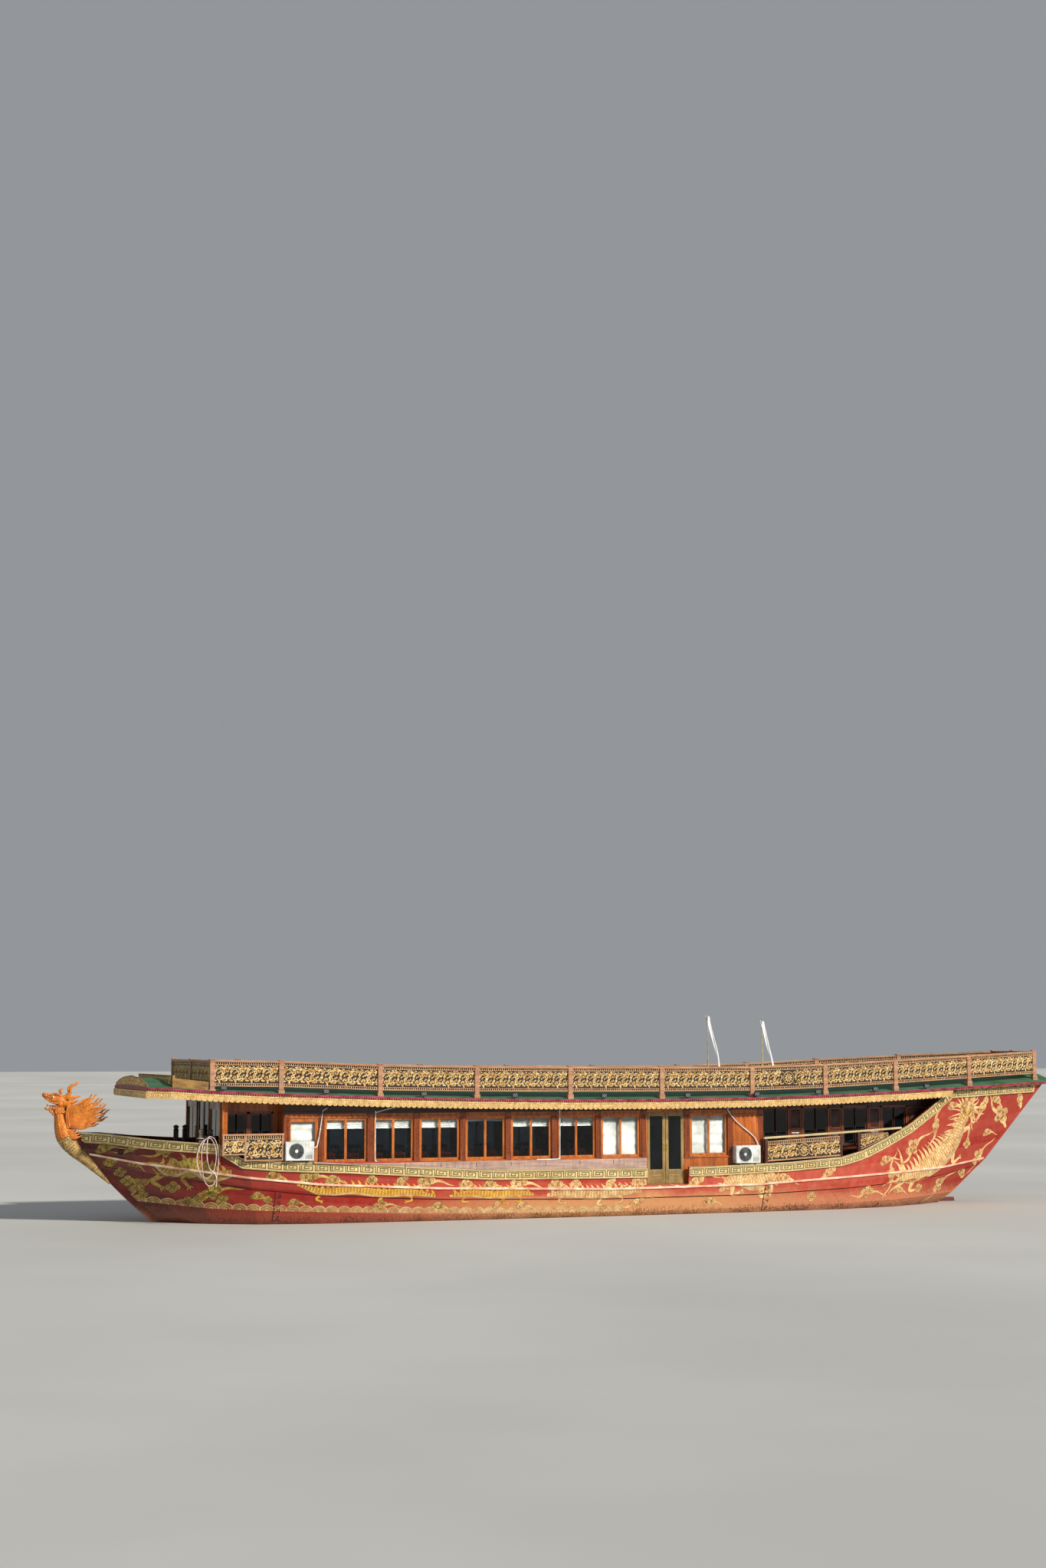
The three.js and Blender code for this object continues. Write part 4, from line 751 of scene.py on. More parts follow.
def dragon(brush, route, girths, fill, head=None, legs=1.0, flames=1.0):
    """A scaled dragon body along a route, with a comb of flames on its back and legs with claws."""
    line = bend(route, BODY_STEPS)
    widths = np.interp(np.linspace(0, 1, BODY_STEPS), np.linspace(0, 1, len(girths)), girths)
    ways = directions(line)
    up = np.stack([-ways[:, 1], ways[:, 0]], 1)
    brush.dab(ribbon(line, widths + 0.018), KHAKI, 1)
    brush.dab(ribbon(line, widths), fill, 2)
    belly = line - up * (widths * 0.36)[:, None]
    brush.dab(ribbon(belly, widths * 0.2), PALE, 3)
    lengths = np.concatenate([[0], np.cumsum(np.linalg.norm(np.diff(line, axis=0), axis=1))])
    count = int(lengths[-1] / SCALE_PITCH)
    for k in range(1, count):
        at = lengths[-1] * k / count
        p = np.array([np.interp(at, lengths, line[:, a]) for a in (0, 1)])
        way = np.array([np.interp(at, lengths, ways[:, a]) for a in (0, 1)])
        normal = np.array([np.interp(at, lengths, up[:, a]) for a in (0, 1)])
        girth = np.interp(at, lengths, widths)
        for row in (0.32, 0.06, -0.18):
            shift = row * girth + (0.12 if k % 2 else 0.0) * girth * 0.5
            middle = p + normal * shift
            arc = [middle + normal * girth * 0.13 * math.sin(t) + way * SCALE_PITCH * 0.5 * math.cos(t)
                   for t in np.linspace(-1.5, 1.5, 5)]
            brush.dab(ribbon(arc, 0.012), KHAKI, 4)
        if k % 2 == 0:
            root = p + normal * girth * 0.46
            tip = root + (normal * (0.1 + girth * 0.32) - way * 0.08) * flames
            flame = bend([root, (root + tip) / 2 + way * 0.03, tip], 5)
            brush.dab(ribbon(flame, np.linspace(0.11, 0.006, 5) * max(flames, 1.0)), fill, 1)
    for share, hand in ((0.2, -1), (0.62, -1), (0.8, 1)):
        i = int(share * (BODY_STEPS - 1))
        root = line[i] - up[i] * widths[i] * 0.4
        knee = root + (ways[i] * 0.16 * hand - up[i] * 0.26) * legs
        foot = knee - (up[i] * 0.08 + ways[i] * 0.26 * hand) * legs
        leg = bend([root, knee, foot], 9)
        brush.dab(ribbon(leg, np.linspace(0.16, 0.06, 9) * legs + 0.02), KHAKI, 1)
        brush.dab(ribbon(leg, np.linspace(0.16, 0.06, 9) * legs), fill, 2)
        for claw in (-0.7, 0.0, 0.7):
            way = (foot - knee) / np.linalg.norm(foot - knee)
            way = np.array([way[0] * math.cos(claw) - way[1] * math.sin(claw),
                            way[0] * math.sin(claw) + way[1] * math.cos(claw)])
            claw_line = [foot, foot + way * 0.07 * legs, foot + way * 0.13 * legs]
            brush.dab(ribbon(claw_line, [0.05, 0.03, 0.004]), fill, 2)
        tuft = wave_line(root, math.atan2(*(-ways[i])[::-1]), 0.36 * legs, 0.05 * legs, 0.7, 8)
        brush.dab(ribbon(tuft, np.linspace(0.08, 0.005, 8) * legs), fill, 1)
    if head:
        x, z, size, turn = head
        for k in range(11):
            angle = turn + math.pi + (k - 5) * 0.33
            flame = wave_line((x, z), angle, size * (1.45 + 0.25 * (k % 2)), 0.07 * size, 0.9, 9)
            brush.dab(ribbon(flame, np.linspace(0.2, 0.01, 9) * size), fill, 1)
        mask(brush, (x, z), size, turn)


def mask(brush, centre, size, tilt):
    """A dragon's face seen from the front: brow, eyes, nose, grin, horns and beard."""
    c, s = math.cos(tilt), math.sin(tilt)
    place = lambda a, b: (centre[0] + (a * c - b * s) * size, centre[1] + (a * s + b * c) * size)

    def stroke(line, widths, paint, level):
        swelling = np.interp(np.linspace(0, 1, 12), np.linspace(0, 1, len(widths)), widths) * size
        brush.dab(ribbon(bend([place(*p) for p in line], 12), swelling), paint, level)

    for edge, paint, level in ((0.05, KHAKI, 2), (0.0, GOLD, 3)):
        for hand in (-1, 1):
            stroke([(0.2 * hand, 0.3), (0.32 * hand, 0.62), (0.56 * hand, 0.8), (0.5 * hand, 1.02)],
                   (0.2 + edge, 0.14 + edge, 0.1 + edge, 0.02), paint, level)
        for a, b, r in ((0, 0.05, 0.46), (-0.3, -0.2, 0.24), (0.3, -0.2, 0.24), (0, -0.36, 0.3)):
            brush.dab(disc(place(a, b), (r + edge) * size, 18), paint, level)
    for a in (-0.2, -0.07, 0.07, 0.2):
        stroke([(a, -0.5), (a * 1.5, -0.66), (a * 1.3, -0.84)], (0.1, 0.08, 0.02), YELLOW, 4)
    brush.dab(disc(place(0, -0.12), 0.15 * size, 14), YELLOW, 5)
    for hand in (-1, 1):
        brush.dab(disc(place(0.11 * hand, -0.15), 0.07 * size, 10), YELLOW, 5)
        brush.dab(disc(place(0.09 * hand, -0.17), 0.03 * size, 8), KHAKI, 6)
        for r, paint, level in ((0.12, KHAKI, 4), (0.1, PALE, 5), (0.045, KHAKI, 6)):
            brush.dab(disc(place(0.2 * hand, 0.1), r * size, 12), paint, level)
        stroke([(0.06 * hand, 0.2), (0.24 * hand, 0.28), (0.42 * hand, 0.2)], (0.05, 0.07, 0.02), KHAKI, 5)
        stroke(curl((0.32 * hand, -0.2), 0.13, 1.0, 0.5, hand, 9), (0.03, 0.02), KHAKI, 5)
    stroke([(-0.3, -0.32), (0, -0.42), (0.3, -0.32)], (0.03, 0.09, 0.03), KHAKI, 5)
    for a in (-0.16, -0.06, 0.06, 0.16):
        stroke([(a, -0.35), (a, -0.4), (a, -0.44)], (0.06, 0.05, 0.02), PALE, 6)


def gold_with_painted_bow_shade(name, bow, stern, rubbed):
    """Oil gold, darkened to olive at the bow as painted shade and bleached to cream aft, rubbed through to the
    red.
    """
    mat, tree, shader, place = new_material(name, 0.6)
    x = put(tree, "SeparateXYZ", {0: place}).outputs[0]
    brushed = use(tree, uneven, {"Vector": place, "Scale": 6.0})
    aft = spread(tree, x, -10.0, -3.0)
    colour = blend(tree, brushed["Mottle"], blend(tree, aft, tone(bow[0]), tone(stern[0])),
                   blend(tree, aft, tone(bow[1]), tone(stern[1])))
    bare = times(tree, brushed["Grime"], brushed["Streaks"], rubbed)
    colour = blend(tree, bare, colour, tone("b04a38"))
    dress(tree, shader, colour, spread(tree, brushed["Mottle"], 0, 1, 0.5, 0.8), brushed["Mottle"])
    return mat


# The olive bow tones of both golds are painted shade
paint_gold = gold_with_painted_bow_shade("ornament_gold", ("8d7a2e", "c9b050"), ("d3a865", "f6dca0"), 0.7)
paint_khaki = gold_with_painted_bow_shade("ornament_khaki", ("4d4216", "77682a"), ("93602f", "b98a4a"), 0.5)
paint_yellow = finish("ornament_yellow", "d79a22", "f2c14a", rough=(0.45, 0.7), scale=7.0,
                      dirt=("b5713a", 0.6), depth=0.001)
paint_pale = finish("ornament_pale", "b08f5e", "dcc393", rough=(0.5, 0.8), scale=6.0, dirt=("b0654d", 0.6),
                    depth=0.001)
ORNAMENT = [paint_gold, paint_khaki, paint_yellow, paint_pale]

sky_brush = Brush()
for (lobes, tails), x, z, size, turn in CLOUDS:
    cloud(sky_brush, (x, z), size, lobes, tails, turn)
sky_brush.lay("painted_clouds", ORNAMENT, "hull_paint")

# Dragons in side view: at the bow, amidships above the lap, abaft the boarding gap, and the great one aft
beast = Brush()
dragon(beast, [(-12.5, 1.62), (-12.05, 1.42), (-11.6, 1.58), (-11.1, 1.3), (-10.6, 1.36)],
       [0.08, 0.36, 0.4, 0.34, 0.2], GOLD)
tail = bend([(-12.5, 1.62), (-12.8, 1.6), (-13.0, 1.68)], 16)
for more, paint in ((0.016, KHAKI), (0.0, GOLD)):
    beast.dab(ribbon(tail, np.linspace(0.1, 0.02, 16) + more), paint, 0 if more else 1)
for route, girths, paint, legs in (
        (((-8.9, 0.9), (-8.2, 0.35), (-7.4, 0.65), (-6.6, 0.4), (-5.8, 0.6), (-5.1, 0.3)),
         [0.05, 0.2, 0.22, 0.22, 0.2, 0.06], YELLOW, 0.5),
        (((-4.7, 0.3), (-4.1, 0.6), (-3.4, 0.4), (-2.8, 0.65), (-2.3, 0.5)), [0.05, 0.2, 0.22, 0.2, 0.06],
         YELLOW, 0.5),
        (((-1.9, 0.4), (-1.3, 0.65), (-0.6, 0.4), (0.1, 0.7), (0.9, 0.95)), [0.08, 0.22, 0.24, 0.24, 0.16],
         GOLD, 0.6)):
    dragon(beast, [(x, above_lap(x, share)) for x, share in route], girths, paint, legs=legs)
dragon(beast, [(3.3, 0.62), (3.75, 0.98), (4.35, 0.84), (4.85, 1.0), (5.15, 0.8)],
       [0.1, 0.36, 0.44, 0.34, 0.14], GOLD)
dragon(beast, [(9.2, 0.8), (9.8, 0.9), (10.35, 1.1), (10.9, 1.42), (11.35, 1.85), (11.5, 2.3), (11.62, 2.62)],
       [0.06, 0.36, 0.62, 0.64, 0.5, 0.4, 0.34], GOLD, head=(11.74, 2.84, 0.46, -0.25), flames=1.35)
for (x, z), turns, reach in (((9.6, 0.92), (3.0, 3.5, 2.5, 3.9, 2.1), 0.8),
                             ((11.82, 2.72), (1.9, 1.35, 0.9, 0.45, 0.0, -0.5, -1.0), 0.62)):
    for n, turn in enumerate(turns):
        line = wave_line((x, z), turn, reach * (1.0 + 0.18 * math.sin(n * 2.1)), 0.05, 0.9, 12)
        beast.dab(ribbon(line, np.linspace(0.17, 0.01, 12)), GOLD, 1)
beast.lay("painted_dragons", ORNAMENT, "hull_paint")

# Wave scallops along the bow, above the waterline: five arcs in each, pale and gold by turns
SCALLOP_LINE = [(-13.0, 0.6), (-11.0, 0.42), (-9.0, 0.34), (-6.0, 0.24), (-3.0, 0.17), (0.6, 0.13)]
SCALLOP_RUN = (-12.85, 0.6)
SCALLOP_PITCH = 0.34
SCALLOP_ARCS = [(0.19, PALE, 0.032), (0.147, GOLD, 0.02), (0.112, PALE, 0.022), (0.072, GOLD, 0.02),
                (0.036, PALE, 0.03)]
waves = Brush()
for n in range(int((SCALLOP_RUN[1] - SCALLOP_RUN[0]) / SCALLOP_PITCH)):
    x = SCALLOP_RUN[0] + (n + 0.5) * SCALLOP_PITCH
    z = read(SCALLOP_LINE, x)
    slope = (read(SCALLOP_LINE, x + 0.2) - read(SCALLOP_LINE, x - 0.2)) / 0.4
    for r, paint, wide in SCALLOP_ARCS:
        arc = [(x + r * math.cos(t), z + 0.85 * r * math.sin(t) + slope * r * math.cos(t))
               for t in np.linspace(0.05, math.pi - 0.05, 9)]
        waves.dab(ribbon(arc, wide), paint, 1 + n % 2)
waves.lay("painted_waves", ORNAMENT, "hull_paint")

# On the transom: a mask in a ring of flames over clouds
transom_tree = BVHTree.FromPolygons([v.co for v in nodes["transom"].data.vertices],
                                    [p.vertices for p in nodes["transom"].data.polygons])


def on_transom(y, z, off):
    """The transom's outer face at a place seen from astern, moved out by off."""
    hit = transom_tree.ray_cast(Vector((20, y, z)), Vector((-1, 0, 0)))
    return (hit[0].x + off * 1.3, y, z - off * 1.3) if hit[0] else (0.0, y, z)


stern_brush = Brush()
for k in range(22):
    tongue = wave_line((0.0, 2.1), k * math.pi / 11, 0.78 + 0.12 * (k % 2), 0.045, 0.9, 10)
    stern_brush.dab(ribbon(tongue, np.linspace(0.16, 0.01, 10)), GOLD, 0)
mask(stern_brush, (0.0, 2.1), 0.5, 0.0)
for hand in (-1, 1):
    for (lobes, tails), y, z, size in ((PUFF, 0.5, 0.95, 0.4), (TWIST, 0.62, 3.05, 0.36),
                                       (KNOT, 0.0, 0.7, 0.2)):
        shape = ([(a * hand, b, r) for a, b, r in lobes],
                 [(a * hand, b, angle if hand > 0 else math.pi - angle, long) for a, b, angle, long in tails])
        cloud(stern_brush, (y * hand, z), size, *shape)
stern_skins = stern_brush.skins(on_transom, lambda point: point[0] > 1.0)
stern_skins.facing((1, 0, -1)).piece("painted_transom", ORNAMENT, slot="hull_paint")

# Roof deck
# Cambered boards painted green on top and brown below. The edge carries a maroon band with round tile ends,
# and under it hangs a gilt valance board cut in scallops.
ROOF = [  # x, height of the deck's top and half width
    (-12.9, 3.6, 2.48), (-12.3, 3.585, 2.7), (-11.27, 3.515, 2.78), (-9.43, 3.43, 2.78), (-6.72, 3.335, 2.78),
    (-3.99, 3.265, 2.78), (-1.27, 3.222, 2.78), (1.48, 3.21, 2.78), (4.28, 3.232, 2.78), (6.62, 3.29, 2.76),
    (8.98, 3.38, 2.66), (11.69, 3.5, 2.27), (14.58, 3.61, 1.37), (15.15, 3.632, 1.15),
]
VALANCE_END = 10.95
SCALLOP_WIDE = 0.145
TILE_PITCH = 0.064
TILE_SIDES = 6

# Faces of a low point over four corners
PYRAMID = [(0, 4, 1), (1, 4, 2), (2, 4, 3), (3, 4, 0)]


def roof_edge(out, until=None):
    """The port half of the roof's edge, from the middle of the bow round the corner to the stern."""
    rows = [r for r in ROOF if until is None or r[0] < until]
    if until:
        rows = rows + [(until, read(ROOF, until), read(ROOF, until, 2))]
    line = [(ROOF[0][0] - out, 0, ROOF[0][1]), (ROOF[0][0] - out, -ROOF[0][2] * 0.5, ROOF[0][1])]
    for x, z, half in rows:
        line.append((x - out, -half - out * 0.4, z) if x < -12.8 else (x, -half - out, z))
    if not until:
        line += [(ROOF[-1][0] + out, -ROOF[-1][2] * 0.6, ROOF[-1][1]), (ROOF[-1][0] + out, 0, ROOF[-1][1])]
    return np.array(line, float)


def stations(line, pitch):
    """Points at an even pitch along a line, each with its way."""
    steps = np.linalg.norm(np.diff(line, axis=0), axis=1)
    far = np.concatenate([[0], np.cumsum(steps)])
    count = max(int(far[-1] / pitch), 1)
    at = (np.arange(count) + 0.5) * far[-1] / count
    points = np.stack([np.interp(at, far, line[:, k]) for k in range(3)], 1)
    which = np.clip(np.searchsorted(far, at) - 1, 0, len(steps) - 1)
    return zip(points, (np.diff(line, axis=0) / steps[:, None])[which])


def sweep(path, section):
    """Carries an upright section [(across, up), ...] along a path; across is to the right hand of the way."""
    path = np.asarray(path, float)
    rows = []
    for i, p in enumerate(path):
        way = path[min(i + 1, len(path) - 1)] - path[max(i - 1, 0)]
        right = np.array([way[1], -way[0], 0.0])
        right /= np.linalg.norm(right)
        rows.append([p + right * a + np.array([0, 0, b]) for a, b in section])
    return grid(rows, True, True)


roof_paint, tree, shader, place = new_material("roof_paint", 0.75)
x, y, z = put(tree, "SeparateXYZ", {0: place}).outputs
soil = use(tree, uneven, {"Vector": place, "Scale": 2.4})
planks = use(tree, boards, {"Across": y, "Pitch": 0.16, "Seam": 0.05})
wood = use(tree, grain, {"Vector": place, "Stretch": (0.6, 7, 7)})
green = blend(tree, soil["Mottle"], tone("1d5636"), tone("337449"))
green = blend(tree, times(tree, soil["Grime"], 0.5), green, tone("5f7458"))
under = blend(tree, wood["Grain"], tone("3a2114"), tone("6b4026"))
up = upward(tree)
colour = blend(tree, calc(tree, "GREATER_THAN", up, 0.15), under, green)
colour = blend(tree, times(tree, planks["Seam"], 0.7), colour, tone("14301f"))
relief = calc(tree, "SUBTRACT", wood["Grain"], times(tree, planks["Seam"], 2.0))
dress(tree, shader, colour, None, relief, 0.003)
repaint(["roof_deck"], roof_paint)

maroon_paint = finish("maroon_paint", "7a1636", "c23c63", rough=(0.3, 0.55), scale=4.0, dirt=("4a2320", 0.4),
                      wear=("c46a7c", 0.006), depth=0.001)
tile_ends = finish("tile_ends", "3c1a16", "7d3a2c", rough=(0.4, 0.7), scale=9.0, depth=0.001)
tooth_gold = finish("tooth_gold", "5d3f22", "b58a4c", rough=(0.4, 0.7), scale=9.0, depth=0.001)
edge_band = Stock()
band_section = [(0.0, -0.04), (0.034, -0.04), (0.04, 0.002), (0.046, 0.006), (0.046, 0.015), (0.0, 0.015)]
edge_band.add(sweep(roof_edge(0.0), band_section))
edge_band.add(sweep(roof_edge(0.0), [(0.0, -0.075), (0.022, -0.075), (0.022, -0.0405), (0.0, -0.0405)]), 1)
for p, way in stations(roof_edge(0.034), TILE_PITCH):
    right = np.array([way[1], -way[0], 0])
    ring = [(math.cos(t) * 0.024, math.sin(t) * 0.024) for t in around(TILE_SIDES)]
    rows = [[p + way * a + np.array([0, 0, b - 0.02]) + right * out for a, b in ring] for out in (0.0, 0.016)]
    points, faces = grid(rows, True)
    edge_band.add((points, faces + [tuple(range(TILE_SIDES, 2 * TILE_SIDES))]))
    tooth = [p + way * a + np.array([0, 0, b]) + right * out for out in (-0.012, 0.004)
             for a, b in ((-0.02, -0.041), (0.02, -0.041), (0.014, -0.072), (-0.014, -0.072))]
    edge_band.add((tooth, [(0, 1, 5, 4), (1, 2, 6, 5), (2, 3, 7, 6), (3, 0, 4, 7), (4, 5, 6, 7)]), 2)
edge_band.pair("eave_band", [maroon_paint, tile_ends, tooth_gold], slot="maroon", smooth=35)
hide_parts("eave")

gilt = finish("gilt", "d19a48", "ffe8ae", rough=(0.35, 0.6), scale=11.0, dirt=("5f3a17", 0.6),
              wear=("fbe3a6", 0.006), depth=0.002)
old_gilt = finish("old_gilt", "a8803e", "f0ca86", rough=(0.45, 0.7), scale=7.0, stretch=(5, 5, 0.8),
                  dirt=("6b4c24", 0.5), depth=0.002)
valance = Stock()
half = SCALLOP_WIDE * 0.505
drop = [(half * math.cos(t), -0.202 - 0.062 * math.sin(t) ** 0.8) for t in np.linspace(0, math.pi, 8)]
outline = [(half, -0.0755), *drop, (-half, -0.0755)]
front, back = tuple(range(len(outline))), tuple(range(len(outline), 2 * len(outline)))
for p, way in stations(roof_edge(0.05, VALANCE_END), SCALLOP_WIDE):
    right = np.array([way[1], -way[0], 0])
    place = lambda u, v, out: p + way * u + np.array([0, 0, v]) + right * (out - 0.028)
    points, faces = grid([[place(u, v, out) for u, v in outline] for out in (0.0, 0.02)])
    valance.add((points, faces + [front, back[::-1]]), 1)
    for lean, root in ((0.0, -0.245), (-0.55, -0.215), (0.55, -0.215)):
        petal = [(lean * 0.05, -0.118), (lean * 0.08 + 0.018, -0.165), (lean * 0.11, root),
                 (lean * 0.08 - 0.018, -0.165)]
        points = [place(u, v, 0.021) for u, v in petal] + [place(lean * 0.08, -0.17, 0.031)]
        valance.add((points, PYRAMID))
for low, high, out in ((-0.1, -0.082, 0.034), (-0.112, -0.104, 0.028)):
    bead = [(-0.01, low), (out - 0.028, low), (out - 0.028, high), (-0.01, high)]
    valance.add(sweep(roof_edge(0.05, VALANCE_END), bead))
valance.pair("valance_boards", [gilt, old_gilt], slot="gold_carving", smooth=35)
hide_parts("valance")

# Roof beams
# Square beams in varnished brown wood that run from eave to eave under the deck. They are let into the tops
# of the house sides and carry the deck boards.
BEAM_PITCH = 0.62

# Faces of a box with its edges taken off: its corners, then the sides and edges along each axis
BLOCK_FACES = [
    (2, 1, 0), (3, 4, 5), (6, 7, 8), (11, 10, 9), (12, 13, 14), (17, 16, 15), (20, 19, 18), (21, 22, 23),
    (3, 9, 6, 0), (2, 14, 13, 1), (4, 16, 17, 5), (12, 18, 21, 15), (7, 19, 20, 8), (11, 23, 22, 10),
    (1, 13, 16, 4), (0, 6, 8, 2), (5, 11, 9, 3), (10, 22, 19, 7), (14, 20, 18, 12), (15, 21, 23, 17),
    (8, 20, 14, 2), (1, 4, 3, 0), (6, 9, 10, 7), (5, 17, 23, 11), (12, 15, 16, 13), (19, 22, 21, 18),
]


def block(low, high, chamfer):
    """A box with its edges taken off."""
    low, high = np.minimum(low, high), np.maximum(low, high)
    cut = min(chamfer, min(high - low) * 0.45)
    points = []
    for corner in np.ndindex(2, 2, 2):
        place = np.where(corner, high, low)
        pull = np.where(corner, -cut, cut)
        points += [place + pull * (np.arange(3) != axis) for axis in range(3)]
    return points, BLOCK_FACES


beams = Stock()
for x in np.arange(-12.4, 14.4, BEAM_PITCH):
    z, half = read(ROOF, x) - 0.045, read(ROOF, x, 2) - 0.1
    beams.add(block((x - 0.035, -half, z - 0.075), (x + 0.035, 0.0, z), 0.008))
dark_brown = finish("dark_varnish", "24110b", "5a3020", rough=(0.25, 0.5), scale=3.0, stretch=(6, 6, 0.7),
                    depth=0.001)
beams.pair("roof_beams", dark_brown, slot="dark_wood")

# Roof railing
# Brown posts on wider feet and a flat top rail. Between them are carved and gilt panels of scrolls, seen from
# both sides, on a dark board that is painted shade for the gaps of the openwork, with rows of small gilt
# turned balusters above and below.
RAIL_CORNERS = [  # x, y and the height of the rail's top
    (-11.27, -2.6, 4.33), (-9.43, -2.6, 4.30), (-6.72, -2.6, 4.195), (-3.99, -2.6, 4.15), (-1.27, -2.6, 4.13),
    (1.48, -2.6, 4.115), (4.28, -2.6, 4.12), (6.62, -2.58, 4.185), (8.98, -2.48, 4.30), (11.69, -2.09, 4.43),
    (14.58, -1.14, 4.55),
]
POST_HALF = 0.065
FOOT_HALF = 0.085
FOOT_TOP = -0.76
PANEL = (-0.594, -0.13)
TILE = 0.47
TILE_HIGH = 0.42
SPRIGS = [  # along, up and the way each loose leaf points
    (0.03, 0.1, 0.5), (0.22, 0.25, 1.2), (0.24, 0.18, -2.0), (0.45, 0.32, 2.4), (0.3, 0.05, 0.2),
    (0.13, 0.36, 0.1), (0.1, 0.05, -0.3), (0.38, 0.1, 2.8), (0.02, 0.26, 1.9), (0.46, 0.38, 3.6),
    (0.12, 0.24, 0.6), (0.3, 0.33, 2.6), (0.17, 0.06, 0.9), (0.33, 0.13, 1.5), (0.42, 0.05, 0.4),
    (0.05, 0.4, -0.6), (0.27, 0.4, -0.4), (0.36, 0.39, 0.2), (0.0, 0.15, 1.0), (0.24, 0.1, 0.3),
]


def ridge(line, widths, high):
    """A carved strand lying on a board: (along, up, out) with a raised middle."""
    line = np.asarray(line, float)
    widths = np.broadcast_to(np.asarray(widths, float), (len(line),))
    ways = directions(line)
    sides = np.stack([-ways[:, 1], ways[:, 0]], 1)
    rows = []
    for p, side, w in zip(line, sides, widths):
        a, b = p - side * w / 2, p + side * w / 2
        rows.append([(a[0], a[1], 0), (*p, high * (0.5 + 0.5 * w / widths.max())), (b[0], b[1], 0)])
    return grid(rows)


def leaf(root, angle, long, wide, high=0.012):
    """A pointed leaf with a raised middle."""
    c, s = math.cos(angle), math.sin(angle)
    at = lambda u, v, h: (root[0] + u * c - v * s, root[1] + u * s + v * c, h)
    points = [at(0, 0, 0), at(long * 0.45, wide / 2, 0), at(long, 0, 0.002), at(long * 0.45, -wide / 2, 0),
              at(long * 0.42, 0, high)]
    return points, PYRAMID


def boss(at, radius, high=0.014):
    """A low round berry with eight sides."""
    rows = [[(at[0] + r * math.cos(t), at[1] + r * math.sin(t), h) for t in around(8)]
            for r, h in ((radius, 0), (radius * 0.6, high))]
    points, faces = grid(rows, True)
    return points, [f[::-1] for f in faces] + [tuple(range(8, 16))]


def scroll_tile(high):
    """One unit of the carved vine, as high as the panel: scrolls, leaves and berries."""
    vine = [(u, high * (0.5 + 0.3 * math.sin(math.tau * u / TILE))) for u in np.linspace(0, TILE, 12)]
    work = [ridge(vine, 0.03, 0.014)]
    for x, share, start in ((0.12, 0.3, 0.9), (0.355, 0.7, 4.04)):
        z, r = share * high, 0.088
        work.append(ridge(curl((x, z), r, 1.35, start, -1, 15), np.linspace(0.04, 0.024, 15), 0.018))
        work.append(boss((x, z), 0.018))
        for k in range(6):
            angle = start + k * 1.05
            root = (x + r * 1.02 * math.cos(angle), z + r * 1.02 * math.sin(angle))
            work.append(leaf(root, angle - 0.7, 0.075, 0.045))
    for x, share, r, start, hand in ((0.03, 0.83, 0.045, 2.5, 1), (0.215, 0.86, 0.042, 5.6, -1),
                                     (0.25, 0.14, 0.045, 5.6, 1), (0.44, 0.17, 0.042, 2.4, -1)):
        z = share * high
        work.append(ridge(curl((x, z), r, 1.1, start, hand, 9), np.linspace(0.03, 0.018, 9), 0.014))
        work.append(leaf((x, z + r), 0.9, 0.05, 0.024))
    for x, z, angle in SPRIGS:
        work.append(leaf((x, z * high / TILE_HIGH), angle, 0.075, 0.042))
    return work


def pressed(work, drawn, high, margin=0.0):
    """Carved work drawn for one height, pressed into another and kept clear of both edges by a margin."""
    return [([(u, (margin + (1 - 2 * margin) * v / drawn) * high, h) for u, v, h in points], faces)
            for points, faces in work]


def pressed_scroll(high):
    """The carved vine, pressed flat for a low board."""
    return pressed(scroll_tile(TILE_HIGH), TILE_HIGH, high, 0.05)


def medallion(high):
    """A lotus in a ring, for the middle of a bay."""
    c = (TILE / 2, high / 2)
    ring = [(c[0] + 0.17 * math.cos(t), c[1] + 0.17 * math.sin(t)) for t in np.linspace(0, math.tau, 25)]
    work = [ridge(ring, 0.03, 0.018), boss(c, 0.035, 0.02)]
    for k in range(10):
        angle = k * math.pi / 5
        root = (c[0] + 0.035 * math.cos(angle), c[1] + 0.035 * math.sin(angle))
        work.append(leaf(root, angle, 0.11, 0.05, 0.018))
    top, far = high - 0.06, TILE - 0.03
    for x, z, angle in ((0.03, 0.06, 0.7), (0.03, top, -0.7), (far, 0.06, 2.4), (far, top, -2.4),
                        (0.02, high / 2, 1.5), (TILE - 0.02, high / 2, 1.5)):
        work.append(leaf((x, z), angle, 0.07, 0.034))
        work.append(boss((x, z), 0.014))
    return work


def span(start, end):
    """Turns (along, up, out) of a bay into a place; out is to the right hand of the way."""
    start, end = np.array(start, float), np.array(end, float)
    flat = end - start
    flat[2] = 0
    long = np.linalg.norm(flat)
    way = (end - start) / long
    right = np.array([flat[1], -flat[0], 0]) / long
    return (lambda u, v, out=0.0: start + way * u + right * out + np.array([0, 0, v])), long


def box_between(place, u, v, out):
    """A straight bar of a bay, from low to high along, up and out."""
    corners = ((v[0], out[0]), (v[1], out[0]), (v[1], out[1]), (v[0], out[1]))
    return grid([[place(a, b, c) for b, c in corners] for a in u], True, True)


def carve(stock, place, long, low, high, depth, kind=scroll_tile, faces=(1, -1), middle=None):
    """Lays carved tiles over a board's faces from low to high; middle is the work for the middle tile."""
    count = max(round(long / TILE), 1)
    stretch = long / (count * TILE)
    for face in faces:
        for n in range(count):
            work = middle if middle and count % 2 and n == count // 2 else kind
            for points, polys in work(high - low):
                shown = [place((n * TILE + (u if face > 0 else TILE - u)) * stretch, low + v,
                               face * (depth + h)) for u, v, h in points]
                stock.add((shown, [p[::-1] for p in polys] if face > 0 else polys))


